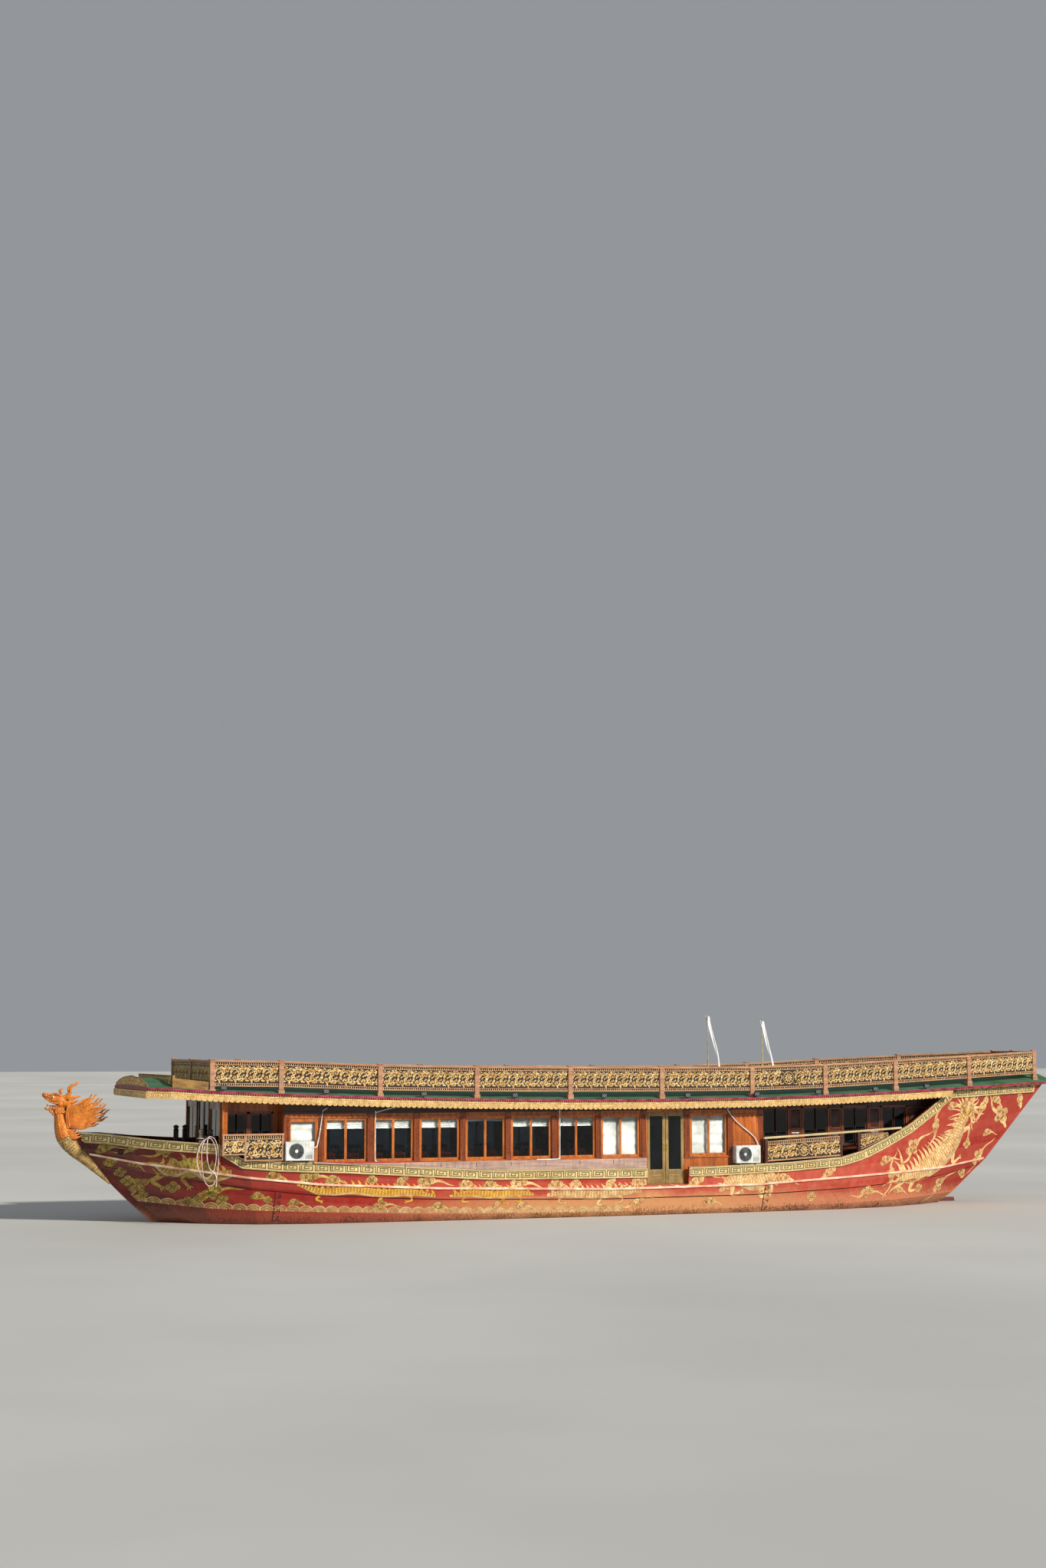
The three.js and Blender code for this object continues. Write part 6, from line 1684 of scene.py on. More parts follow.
trim.pair("wall_trim", [pilaster_wood, wall_varnish, eave_shadow_header], slot="varnished_wood", smooth=30)

# Sashes
# Two varnished orange frames to a bay, one sliding behind the other, with beads that hold the glass. Tinted
# inner panes behind them darken the view into the cabin, as painted shade.
orange_varnish = finish("orange_varnish", "8a3a10", "dd7f2c", rough=(0.2, 0.4), scale=3.0,
                        stretch=(5, 5, 0.8), dirt=("5d2a10", 0.4), wear=("f3a95a", 0.006), depth=0.001)


def glass(name, rough, pair, scale, smears, **values):
    """Glass of two tones, with smears that run down it where smears gives their roughness."""
    mat, tree, shader, place = new_material(name, rough, **values)
    smear = use(tree, uneven, {"Vector": place, "Scale": scale})
    colour = blend(tree, smear["Mottle"], tone(pair[0]), tone(pair[1]))
    dress(tree, shader, colour, spread(tree, smear["Streaks"], 0, 1, *smears) if smears else None)
    return mat


def rim(u, v, side, foot, head):
    """The four bars of a frame inside a rectangle, as (along, up) ranges: uprights, then foot and head."""
    rails = (u[0] + side, u[1] - side)
    return [((u[0], u[0] + side), v), ((u[1] - side, u[1]), v), (rails, (v[0], v[0] + foot)),
            (rails, (v[1] - head, v[1]))]


def sash(frames, panes, place, u, v, out, stile=0.052):
    """A glazed frame whose face stands at out: stiles, a deeper foot rail, beads and the pane."""
    foot, bead, thick = stile * 1.15, 0.012, 0.022
    for a, b in rim(u, v, stile, foot, stile):
        frames.add(box_between(place, a, b, (out - thick, out)))
    left, right, low, high = u[0] + stile, u[1] - stile, v[0] + stile, v[1] - stile
    for a, b in (((left, left + bead), (low, high)), ((right - bead, right), (low, high)),
                 ((left, right), (v[0] + foot, v[0] + foot + bead)), ((left, right), (high - bead, high))):
        frames.add(box_between(place, a, b, (out - thick * 0.7, out - thick * 0.25)))
    panes.add(box_between(place, (left - 0.01, right + 0.01), (low - 0.01, high + 0.01),
                          (out - thick * 0.62, out - thick * 0.4)))


SASH_OUT = -0.012
frames, panes, tinted = Stock(), Stock(), Stock()
for a, b in BAYS:
    place, long = on_wall(a + 0.082, b - 0.082)
    v = (SILL + 0.004, HEAD - 0.004)
    if a == BAYS[0][0]:
        sash(frames, panes, place, (0.0, long), v, SASH_OUT, 0.085)
    else:
        sash(frames, panes, place, (0.0, long / 2 + 0.026), v, SASH_OUT)
        sash(frames, panes, place, (long / 2 - 0.026, long), v, SASH_OUT - 0.026)
    # A tinted pane behind each bay darkens the view into the cabin: painted shade
    tinted.add(block((a + 0.1, -2.211, SILL - 0.02), (b - 0.1, -2.207, HEAD + 0.02), 0.001))
pane_glass = glass("pane_glass", 0.02, ("c6d0d6", "dde4e8"), 1.6, (0.01, 0.06), Transmission_Weight=1.0,
                   IOR=1.25)
cabin_shade_glass = glass("cabin_shade_glass", 0.04, ("66717b", "7c8791"), 1.6, None, Transmission_Weight=1.0, IOR=1.08)
clear_pieces = tinted.pair("inner_shade_panes", cabin_shade_glass, slot="glass")
frames.pair("sash_frames", orange_varnish, slot="orange_wood", replaces=["sashes"], smooth=30)
clear_pieces += panes.pair("sash_panes", pane_glass, slot="glass", replaces=["window_glass"])
for pane in clear_pieces:
    pane.visible_shadow = False

# Roman shades
# Pleated white cotton on a tube behind each window, some let right down and some drawn up in folds, with a
# slat in the foot.
BLIND_DROPS = [1.15, 0.25, 0.25, 0.25, 0.09, 0.25, 0.25, 1.15, 1.15]
BLIND_TOP, TUBE_Z = 2.765, 2.784
BLIND_Y = -2.2374


def cloth(name, rough, sheen, pair, scale, threads, ways, depth):
    """Woven cotton of two tones. Ways are the directions of its threads."""
    mat, tree, shader, place = new_material(name, rough, Sheen_Weight=sheen)
    weave = [put(tree, "TexWave", {"Vector": place, "Scale": threads}, bands_direction=way).outputs["Fac"]
             for way in ways]
    height = times(tree, *weave)
    soil = use(tree, uneven, {"Vector": place, "Scale": scale})
    dress(tree, shader, blend(tree, soil["Mottle"], tone(pair[0]), tone(pair[1])), None, height, depth)
    return mat


white_cotton = cloth("white_cotton", 0.9, 0.3, ("cfc9bd", "f3f0e8"), 3.0, 260.0, "XZ", 0.0006)
shade_tubes = Stock()
for first, last in (BAYS[0], BAYS[7]), (BAYS[8], BAYS[8]):
    shade_tubes.add(tube([(first[0] + 0.1, BLIND_Y, TUBE_Z), (last[1] - 0.09, BLIND_Y, TUBE_Z)], 0.02, 12))
for n, ((a, b), drop) in enumerate(zip(BAYS, BLIND_DROPS)):
    if drop > 1:
        profile = [(0.008 * math.sin(k * 0.55) + 0.004 * (k % 6 == 0), -drop * k / 48) for k in range(49)]
    else:
        folds = max(round(drop / 0.035), 2)
        profile = [(0.0 if k % 2 == 0 else 0.019, -drop * k / (2 * folds)) for k in range(2 * folds + 1)]
    xs = np.linspace(a + 0.115, b - 0.115, 9)
    wide = b - 0.115 - (a + 0.115)
    shade = Stock()
    shade.add(grid([[(x, BLIND_Y + y, BLIND_TOP + z) for x in xs] for y, z in profile]))
    for piece in shade.pair(f"shade_{n + 1}", white_cotton, slot="cloth", replaces=[] if n else ["blinds"],
                            smooth=50):
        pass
    z = BLIND_TOP - drop
    place, long = span((a + 0.11, BLIND_Y, z), (b - 0.11, BLIND_Y, z))
    shade_tubes.add(box_between(place, (0, long), (-0.02, 0.004), (-0.006, 0.006)))
white_metal = finish("white_metal", "c9cbca", "eef0ee", rough=(0.3, 0.5), scale=6.0, dirt=("8f8f86", 0.5),
                     wear=("b9bab5", 0.006), depth=0.0005)
shade_tubes.pair("shade_tubes", white_metal, slot="white_metal", smooth=40)

# Doors
# Two olive gold framed and glazed leaves to each side entry, hung on the jambs, and two darker carved leaves
# in the front wall. Each rides on its own hinge.
olive_gold = finish("olive_gold", "6c5026", "b08f52", rough=(0.3, 0.55), scale=3.0, stretch=(5, 5, 0.8),
                    dirt=("463a1c", 0.5), wear=("dcc98a", 0.008), depth=0.001)
brass = finish("brass", "8a6a2c", "e2c26a", rough=(0.2, 0.4), scale=30.0, Metallic=0.9, depth=0.0003)
# Glass tinted near black so that the rooms behind read dark: painted shade
dark_glass = glass("dark_glass", 0.03, ("070a0c", "151c20"), 2.2, (0.01, 0.08), Transmission_Weight=0.35,
                   Specular_IOR_Level=0.12)
DOOR_MATS = [olive_gold, dark_glass, brass, dark_brown]
DOOR_THICK = 0.04
FRONT_X = -10.94


def door_leaf(stock, place, wide, low, high, hinge_right, paint=0, lower=0.3):
    """A leaf: stiles, rails, a pane with beads, a fielded foot panel and a pull. Its face stands at out 0."""
    stile, foot, waist, head, bead = 0.068, 0.12, 0.07, 0.085, 0.014
    thick = DOOR_THICK
    u = (0.003, wide - 0.003)
    inner = (u[0] + stile, u[1] - stile)
    light = (low + lower + waist, high - head)
    bars = rim(u, (low, high), stile, foot, head)
    for a, b in (*bars[:3], (inner, (low + lower, low + lower + waist)), bars[3]):
        stock.add(box_between(place, a, b, (-thick, 0.0)), paint)
    stock.add(box_between(place, inner, (low + foot, low + lower), (-thick * 0.7, -thick * 0.3)), paint)
    for side, flat in ((-thick * 0.3, 1), (-thick * 0.7, -1)):
        at = lambda a, b, c, side=side, flat=flat: place(a, b, side + flat * c)
        raised_panel(stock, at, (inner[0] + 0.01, inner[1] - 0.01), (low + foot + 0.01, low + lower - 0.01),
                     paint, paint, 0.008)
    stock.add(box_between(place, (inner[0] - 0.005, inner[1] + 0.005), (light[0] - 0.005, light[1] + 0.005),
                          (-thick * 0.58, -thick * 0.42)), 1)
    for a, b in (((inner[0], inner[0] + bead), light), ((inner[1] - bead, inner[1]), light),
                 (inner, (light[0], light[0] + bead)), (inner, (light[1] - bead, light[1]))):
        for out in ((-thick * 0.4, -thick * 0.12), (-thick * 0.88, -thick * 0.6)):
            stock.add(box_between(place, a, b, out), paint)
    pull = u[0] + stile * 0.5 if hinge_right else u[1] - stile * 0.5
    grip = (low + high) / 2
    for out in ((0.0, 0.008), (-thick - 0.008, -thick)):
        stock.add(box_between(place, (pull - 0.016, pull + 0.016), (grip - 0.11, grip + 0.11), out), 2)


for name, x0, x1, right in (("door_fore", 1.14, 1.694, False), ("door_aft", 1.706, 2.26, True)):
    leaf_stock = Stock()
    place, long = on_wall(x0, x1)
    door_leaf(leaf_stock, place, long, 0.88, 2.84, right)
    leaf_stock.pair(f"{name}_leaf", DOOR_MATS, slot="door_frame", replaces=[name], smooth=30, body=name)
front_leaf = Stock()
place, long = span((FRONT_X, -0.003, 0), (FRONT_X, -0.643, 0))
door_leaf(front_leaf, place, long, 1.58, 3.33, False, paint=3, lower=0.62)
front_leaf.pair("front_door_leaf", DOOR_MATS, slot="dark_wood", replaces=["front_door"], smooth=30,
                body="front_door")

# Cabin front
# Two lights beside the doors, glazed with glass tinted dark as painted shade, in varnished frames, a gilt
# carved board over them, nailed to a plain one, and gilt studs on the four jambs.
front_carving, front_wood = Stock(), Stock()
for start, end, foot in ((2.1, 0.7, 3.02), (0.7, -0.7, 3.345), (-0.7, -2.1, 3.02)):
    place, long = span((FRONT_X, start, 0), (FRONT_X, end, 0))
    front_wood.add(box_between(place, (0.03, long - 0.03), (foot, 3.42), (-0.02, 0.015)), 1)
place, long = span((-10.955, 2.08, 0), (-10.955, -2.08, 0))
carve(front_carving, place, long, 3.352, 3.43, 0.001, pressed_scroll, faces=(1,))
for y in (2.2, 0.8, -0.8, -2.2):
    place, long = span((FRONT_X, y + 0.03, 0), (FRONT_X, y - 0.03, 0))
    front_wood.add(box_between(place, (0, long), (1.6, 3.4), (-0.005, 0.03)))
    for k in range(28):
        z = 1.68 + k * 0.06
        stud = [(0.006, z, 0.03), (0.03, z + 0.03, 0.03), (0.054, z, 0.03), (0.03, z - 0.03, 0.03),
                (0.03, z, 0.042)]
        front_carving.add(([place(*p) for p in stud], PYRAMID))
for y in (1.525, -1.525):
    place, long = span((FRONT_X, y + 0.575, 0), (FRONT_X, y - 0.575, 0))
    for a, b in (*rim((0, long), (1.8, 3.3), 0.05, 0.06, 0.05), ((0.55, 0.6), (1.86, 3.25))):
        front_wood.add(box_between(place, a, b, (-0.045, -0.01)), 1)
    raised_panel(front_wood, place, (0, long), (1.57, 1.78), 1, 1)
# Dark glass in the front lights: painted shade of the rooms behind
for y in (0.95, -2.1):
    place, long = span((-10.92, y + 1.15, 0), (-10.92, y, 0))
    front_wood.add(box_between(place, (0.0, long), (1.8, 3.3), (-0.004, 0.002)), 2)
front_wood.piece("front_trim", [orange_varnish, pilaster_wood, dark_glass], slot="dark_wood", smooth=30)
front_carving.piece("front_carving", gilt, slot="gold_carving", smooth=50)

# House windows
# Pairs of sashes glazed with glass tinted dark as painted shade, fixed in moulded frames on the lobby and on
# the house aft, with fielded panels between them and on the returns of the saloon.
LOBBY_FACE, HOUSE_FACE = -1.76, -1.62
fixed_frames, fixed_panes = Stock(), Stock()
for face, low, rooms in ((LOBBY_FACE, 1.75, ((-10.7, -10.15), (-10.05, -9.48))),
                         (HOUSE_FACE, 1.8, ((5.1, 5.9), (6.4, 7.2), (7.7, 8.5), (9.0, 9.8)))):
    for x0, x1 in rooms:
        place, long = on_wall(x0, x1, face)
        for u in ((0.002, long / 2 + 0.02), (long / 2 - 0.02, long - 0.002)):
            sash(fixed_frames, fixed_panes, place, u, (low + 0.002, 2.898), SASH_OUT, 0.045)
        for a, b in (((-0.05, 0.0), (low - 0.05, 2.95)), ((long, long + 0.05), (low - 0.05, 2.95)),
                     ((-0.05, long + 0.05), (low - 0.09, low)), ((-0.05, long + 0.05), (2.9, 2.96))):
            fixed_frames.add(box_between(place, a, b, (0.0, 0.018)), 1)
fixed_frames.pair("fixed_sashes", [dark_brown, pilaster_wood], slot="dark_wood", smooth=30)
fixed_panes.pair("fixed_panes", dark_glass, slot="glass")
house_panels = Stock()
for a, b in ((4.8, 5.03), (5.97, 6.33), (7.27, 7.63), (8.57, 8.93), (9.87, 10.5)):
    place, long = on_wall(a, b, HOUSE_FACE)
    for low, high in ((1.7, 2.25), (2.3, 2.9)):
        raised_panel(house_panels, place, (0.0, long), (low, high), 0, 1)
place, long = on_wall(4.76, 10.58, HOUSE_FACE)
house_panels.add(box_between(place, (0, long), (1.0, 1.08), (0, 0.02)))
house_panels.pair("house_panels", [pilaster_wood, dark_brown], slot="dark_wood", smooth=30)
for end, start_at, end_at in (("fore", (-9.29, -1.78, 0), (-9.29, -2.34, 0)),
                              ("aft", (4.74, -2.34, 0), (4.74, -1.64, 0))):
    returned = Stock()
    place, long = span(start_at, end_at)
    raised_panel(returned, place, (0.02, long - 0.02), (1.85, 2.95))
    returned.pair(f"return_panels_{end}", [pilaster_wood, wall_varnish], slot="varnished_wood")

# Side galleries
# Carved and gilt panels under a flat rail close the side galleries, in the same work as the roof railing.
# An orange varnished post stands at the fore corner; the aft gallery has dark posts and a cream handrail.
GALLERY_Y, GALLERY_TOP = -2.49, 2.36
gallery_frame, gallery_carving = Stock(), Stock()
place, long = on_wall(-10.945, -9.31, GALLERY_Y)
for a, b, foot in ((0.0, 0.615, 1.86), (0.615, long, 1.70)):
    gallery_frame.add(box_between(place, (a, b), (foot, foot + 0.03), (-0.03, 0.03)))
    # Dark board behind the carving: painted shade for the openwork's gaps
    gallery_frame.add(box_between(place, (a, b), (foot + 0.03, 2.32), (-0.013, 0.013)), 1)
gallery_frame.add(box_between(place, (-0.01, long + 0.01), (GALLERY_TOP, 2.405), (-0.045, 0.045)))
gallery_frame.add(box_between(place, (0, long), (2.255, 2.275), (-0.028, 0.028)))
for u in (0.0, 0.585, long - 0.05):
    low = 1.86 if u < 0.5 else 1.7
    gallery_frame.add(box_between(place, (u, u + 0.05), (low, GALLERY_TOP), (-0.032, 0.032)))
for k in range(27):
    for out in (-0.02, 0.02):
        gallery_carving.add(baluster(place, 0.04 + k * (long - 0.08) / 26, 2.275, GALLERY_TOP, 0.013, out))
for (a, b), low in (((0.05, 0.585), 1.9), ((0.635, long - 0.05), 1.74)):
    part, clear = span(place(a, 0), place(b, 0))
    carve(gallery_carving, part, clear, low, 2.25, 0.0135)
fluted(gallery_frame, -10.87, 2.1, 3.42, -2.425, half=0.07, proud=0.015, paint=2)
gallery_frame.add(block((-10.938, -2.43, 2.08), (-10.802, -2.302, 3.44), 0.01), 2)
gallery_frame.pair("fore_gallery_frame", [rail_wood, openwork_shade_board, orange_varnish], slot="varnished_wood",
                   replaces=["fore_gallery_rail"], smooth=30)
gallery_carving.pair("fore_gallery_carving", gilt, slot="gold_carving", smooth=50)


def oblong(width, low, high, chamfer=0.006):
    """The section of a rail: width across, low to high, its corners taken off."""
    w, c = width / 2, chamfer
    return [(-w, low + c), (-w, high - c), (-w + c, high), (w - c, high), (w, high - c), (w, low + c),
            (w - c, low), (-w + c, low)]


DRAWN_HIGH = 0.4
aft_frame, aft_carving = Stock(), Stock()
for x, y, foot, top in ((4.76, 2.49, 1.41, 2.09), (7.2, 2.405, 1.53, 2.21), (7.8, 2.385, 1.67, 2.24),
                        (9.18, 2.33, 2.3, 2.31)):
    aft_frame.add(block((x - 0.045, -y - 0.045, foot - 0.04), (x + 0.045, -y + 0.045, top - 0.03), 0.008), 1)
for start, end, low, high in (((4.8, -2.49, 0), (7.16, -2.42, 0), (1.43, 1.55), (2.0, 2.12)),
                              ((7.86, -2.395, 0), (8.78, -2.352, 0), (1.72, 2.07), (2.16, 2.2))):
    place, long = span(start, end)
    foot_at = lambda u, low=low, long=long: low[0] + (low[1] - low[0]) * u / long
    head_at = lambda u, high=high, long=long: high[0] + (high[1] - high[0]) * u / long
    tilt = lambda u, v, out=0.0: place(u, foot_at(u) * (1 - v) + head_at(u) * v, out)
    for v0, v1, wide in ((0.0, 0.07, 0.03), (0.8, 0.84, 0.028), (0.96, 1.0, 0.03)):
        aft_frame.add(box_between(tilt, (0, long), (v0, v1), (-wide, wide)))
    # Dark board behind the carving: painted shade for the openwork's gaps
    aft_frame.add(box_between(tilt, (0, long), (0.05, 0.97), (-0.012, 0.012)), 2)
    baluster_row(aft_carving, tilt, long, 0.06, 0.84, 0.96, 0.012, 0.018)
    scroll, lotus = ((lambda high, draw=draw: pressed(draw(DRAWN_HIGH), DRAWN_HIGH, high))
                     for draw in (scroll_tile, medallion))
    carve(aft_carving, tilt, long, 0.1, 0.79, 0.0125, kind=scroll, middle=lotus)
hand_line = [(4.7, -2.49, 2.06), (7.2, -2.405, 2.18), (9.23, -2.33, 2.29)]
aft_frame.add(sweep(bend(hand_line, 14), oblong(0.09, 0.0, 0.06, 0.014)), 3)
cream_rail = finish("cream_rail", "a98f5f", "e8d6a4", rough=(0.45, 0.7), scale=3.0, stretch=(0.7, 7, 7),
                    dirt=("6f5a38", 0.5), wear=("fff1cb", 0.01), depth=0.001)
aft_frame.pair("aft_gallery_frame", [rail_wood, dark_brown, openwork_shade_board, cream_rail], slot="varnished_wood",
               replaces=["aft_gallery_rail"], smooth=30)
aft_carving.pair("aft_gallery_carving", gilt, slot="gold_carving", smooth=50)

# Covering board
# Grey pink, sun bleached planks nailed along the foot of the saloon windows, butted every half metre or so,
# with a rounded outer edge.
raw_wood = finish("raw_wood", "8b7068", "d0b0a2", rough=(0.7, 0.9), scale=3.0, stretch=(0.6, 8, 8),
                  dirt=("5f4b42", 0.5), wear=("e6cdc0", 0.01), depth=0.003)
ledge = Stock()
xs = np.linspace(-8.5, 1.03, 20)
rows = []
for x in xs:
    top = 1.59 if x > -7.6 else 1.59 + (-7.6 - x) * 0.066
    foot = min(top - 0.03, read(SHEER, x) + 0.004)
    rows.append([(x, -2.362, foot), (x, -2.585, foot), (x, -2.592, top - 0.016), (x, -2.58, top),
                 (x, -2.362, top)])
ledge.add(grid(rows))
ledge.add((list(rows[0]), [(0, 1, 2, 3, 4)]))
ledge.add((list(rows[-1]), [(4, 3, 2, 1, 0)]))
for x in xs[1:-1:2]:
    ledge.add(block((x - 0.006, -2.5935, 1.46), (x + 0.006, -2.59, 1.57), 0.001), 1)
ledge.pair("covering_board", [raw_wood, dark_brown], slot="raw_wood", smooth=30)

# Chairs
# Rows of red varnished chairs with carved crest rails, their backs to the windows, and cream seat pads.
# Each is framed of turned and square pieces, pegged together.
CHAIR_X = [-8.7 + 0.65 * i for i in range(15)] + [2.72, 3.38, 4.04]
CABIN_FLOOR = 0.85
BACK_Y = -2.165
chair_red = finish("chair_red", "4f130c", "a8371f", rough=(0.2, 0.4), scale=6.0, stretch=(5, 5, 0.9),
                   wear=("d5744a", 0.006), depth=0.001)
chairs = Stock()
for x in CHAIR_X:
    for dx in (-0.21, 0.21):
        for half, y, z, chamfer in (
                (0.02, (-2.185, -2.145), (0.03, 1.0), 0.006), (0.02, (-1.765, -1.725), (0.005, 0.62), 0.006),
                (0.022, (-2.15, -1.725), (0.6, 0.63), 0.008)):
            chairs.add(block((x + dx - half, y[0], CABIN_FLOOR + z[0]),
                             (x + dx + half, y[1], CABIN_FLOOR + z[1]), chamfer))
    chairs.add(block((x - 0.23, -2.18, CABIN_FLOOR + 0.36), (x + 0.23, -1.725, CABIN_FLOOR + 0.4), 0.008))
    for z in (0.93, 0.5):
        foot = CABIN_FLOOR + z
        chairs.add(block((x - 0.2, -2.18, foot), (x + 0.2, -2.155, foot + 0.06), 0.006))
    for line, count, radius, sides in (
            (((-0.23, 0.97), (-0.14, 1.0), (0, 1.015), (0.14, 1.0), (0.23, 0.97)), 9, 0.018, 6),
            (((-0.1, 0.99), (-0.13, 0.86), (0, 0.78), (0.13, 0.86), (0.1, 0.99)), 10, 0.012, 5)):
        chairs.add(tube(bend([(x + a, BACK_Y, CABIN_FLOOR + b) for a, b in line], count), radius, sides))
    for dx in (-0.09, 0, 0.09):
        chairs.add(block((x + dx - 0.015, -2.172, CABIN_FLOOR + 0.55),
                         (x + dx + 0.015, -2.158, CABIN_FLOOR + 0.94), 0.004))
chairs.add(block((CHAIR_X[0] - 0.3, -2.2, 0.851), (CHAIR_X[-1] + 0.3, -2.14, 0.88), 0.006))
chairs.pair("saloon_chairs", chair_red, slot="chair_wood", replaces=["chairs"], smooth=40)
pads = Stock()
for x in CHAIR_X:
    rows = []
    turns = around(20)
    for v in np.linspace(0, 1, 7):
        full = 0.82 + 0.18 * math.sin(v * math.pi)
        ring = []
        for t in turns:
            a, b = math.cos(t), math.sin(t)
            ring.append((x + (0.215 - 0.012 * abs(math.sin(2 * t))) * full * math.copysign(abs(a) ** 0.45, a),
                         -1.955 + 0.21 * full * math.copysign(abs(b) ** 0.45, b),
                         1.252 + 0.06 * v + 0.012 * (v > 0.9)))
        rows.append(ring)
    rows.append([(x + 0.1 * math.cos(t), -1.955 + 0.1 * math.sin(t), 1.334) for t in turns])
    pads.add(grid(rows, True, True))
cream_cloth = cloth("cream_cloth", 0.85, 0.4, ("c9b78f", "efe3c4"), 7.0, 180.0, ["DIAGONAL"], 0.0008)
for piece in pads.pair("seat_pads", cream_cloth, slot="cloth", smooth=60):
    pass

# Coolers
# Four outdoor units in white sheet metal with a round grey fan grille on the left and a plain service cover,
# screwed to feet on the covering board.
COOLER_LONG, COOLER_HIGH = 0.77, 0.5
FAN_SIDES = 40
FAN_RIM = [(0.205, -2.6215), (0.201, -2.63), (0.19, -2.63), (0.186, -2.6235)]


def lathe(profile, at, axis=2, sides=16):
    """Turns a profile [(radius, along), ...] about an axis through a point."""
    u, v = [a for a in range(3) if a != axis]
    rows = []
    for radius, along_axis in profile:
        row = []
        for t in around(sides):
            p = np.array(at, float)
            p[axis] += along_axis
            p[u] += radius * math.cos(t)
            p[v] += radius * math.sin(t)
            row.append(p)
        rows.append(row)
    points, faces = grid(rows, True, True)
    return points, faces if axis != 1 else [f[::-1] for f in faces]


grille_grey = finish("grille_grey", "4a4e52", "8b9094", rough=(0.35, 0.55), scale=12.0,
                     wear=("b5b8ba", 0.003), depth=0.0005)
fan_black_and_hole_shade = finish("fan_black_and_hole_shade", "0e1012", "24282b", rough=(0.4, 0.6), scale=12.0, depth=0.0005)
for name, x, z in (("fore", -9.28, 1.69), ("aft", 3.76, 1.4)):
    cooler = Stock()
    cooler.add(block((x, -2.622, z), (x + COOLER_LONG, -2.382, z + COOLER_HIGH), 0.014))
    for foot in (x + 0.1, x + 0.6):
        cooler.add(block((foot, -2.63, z - 0.018), (foot + 0.06, -2.38, z + 0.004), 0.004), 1)
    fan_x, fan_z = x + 0.29, z + 0.25
    ring_at = lambda r, y, turns: [(fan_x + r * math.cos(t), y, fan_z + r * math.sin(t)) for t in turns]
    full_turn = around(FAN_SIDES)
    points, faces = grid([ring_at(r, y, full_turn) for r, y in FAN_RIM], True)
    cooler.add((points, faces + [tuple(range(3 * FAN_SIDES, 4 * FAN_SIDES))]), 1)
    # Dark disc behind the grille: the black fan, and painted shade inside the unit
    cooler.add(grid([ring_at(r, -2.6245, full_turn) for r in (0.186, 0.01)], True), 2)
    for r in (0.17, 0.145, 0.12, 0.095, 0.07):
        cooler.add(tube(ring_at(r, -2.628, np.linspace(0, math.tau, 33)), 0.0024, 4), 1)
    for t in around(16):
        vane = [*ring_at(0.04, -2.6285, [t + 0.08]), *ring_at(0.115, -2.6285, [t + 0.23]),
                *ring_at(0.188, -2.6285, [t + 0.376])]
        cooler.add(tube(vane, 0.0024, 4), 1)
    cap = [(0.045, 0.0), (0.045, -0.005), (0.03, -0.009), (0.002, -0.009)]
    cooler.add(lathe(cap, (fan_x, -2.6245, fan_z), 1, 20))
    for k in range(5):
        slot_z = z + 0.05 + k * 0.022
        cooler.add(block((x + 0.53, -2.626, slot_z), (x + 0.72, -2.62, slot_z + 0.01), 0.002), 1)
    cooler.add(block((x + 0.52, -2.6265, z + 0.2), (x + 0.74, -2.62, z + 0.46), 0.004))
    for k in range(12):
        y, left = -2.6 + k * 0.018, x + 0.06 + k * 0.055
        cooler.add(block((x + 0.768, y, z + 0.06), (x + 0.7715, y + 0.008, z + 0.44), 0.001), 1)
        cooler.add(block((left, -2.6, z + 0.498), (left + 0.03, -2.4, z + 0.5015), 0.001), 1)
    cooler.pair(f"cooler_{name}_unit", [white_metal, grille_grey, fan_black_and_hole_shade], slot="white_metal",
                replaces=[f"cooler_{name}"], smooth=40)

# Conduits
# White plastic pipes that join the coolers to the roof space. They are bent by hand over the wall and held
# by saddles screwed to the pilasters.
ROUTES = [
    [(-8.49, -2.42, 2.02), (-8.4, -2.42, 2.04), (-8.36, -2.42, 2.16), (-8.3, -2.41, 2.5), (-8.25, -2.4, 2.85),
     (-8.22, -2.38, 2.98), (-8.1, -2.37, 3.05)],
    [(-6.2, -2.38, 3.06), (-6.35, -2.38, 3.03), (-6.74, -2.405, 2.93), (-6.78, -2.41, 2.86),
     (-6.78, -2.412, 1.75), (-6.77, -2.412, 1.645), (-6.7, -2.43, 1.61), (-6.2, -2.47, 1.605)],
    [(-1.52, -2.385, 3.02), (-1.5, -2.41, 2.9), (-1.5, -2.412, 1.72), (-1.52, -2.43, 1.63),
     (-1.6, -2.45, 1.605), (-2.2, -2.47, 1.605)],
    [(3.62, -2.405, 3.0), (3.64, -2.41, 2.85), (3.9, -2.41, 2.55), (4.35, -2.41, 2.2), (4.5, -2.415, 2.02),
     (4.56, -2.42, 1.85), (4.55, -2.45, 1.7)],
]
pipes = Stock()
for route in ROUTES:
    pipes.add(tube(bend(route, 8 * len(route)), 0.016, 8))
    for x, y, z in route[1:-1:2]:
        pipes.add(block((x - 0.024, y - 0.021, z - 0.01), (x + 0.024, y + 0.03, z + 0.01), 0.004))
pipes.pair("conduits", white_metal, slot="white_metal", smooth=50)

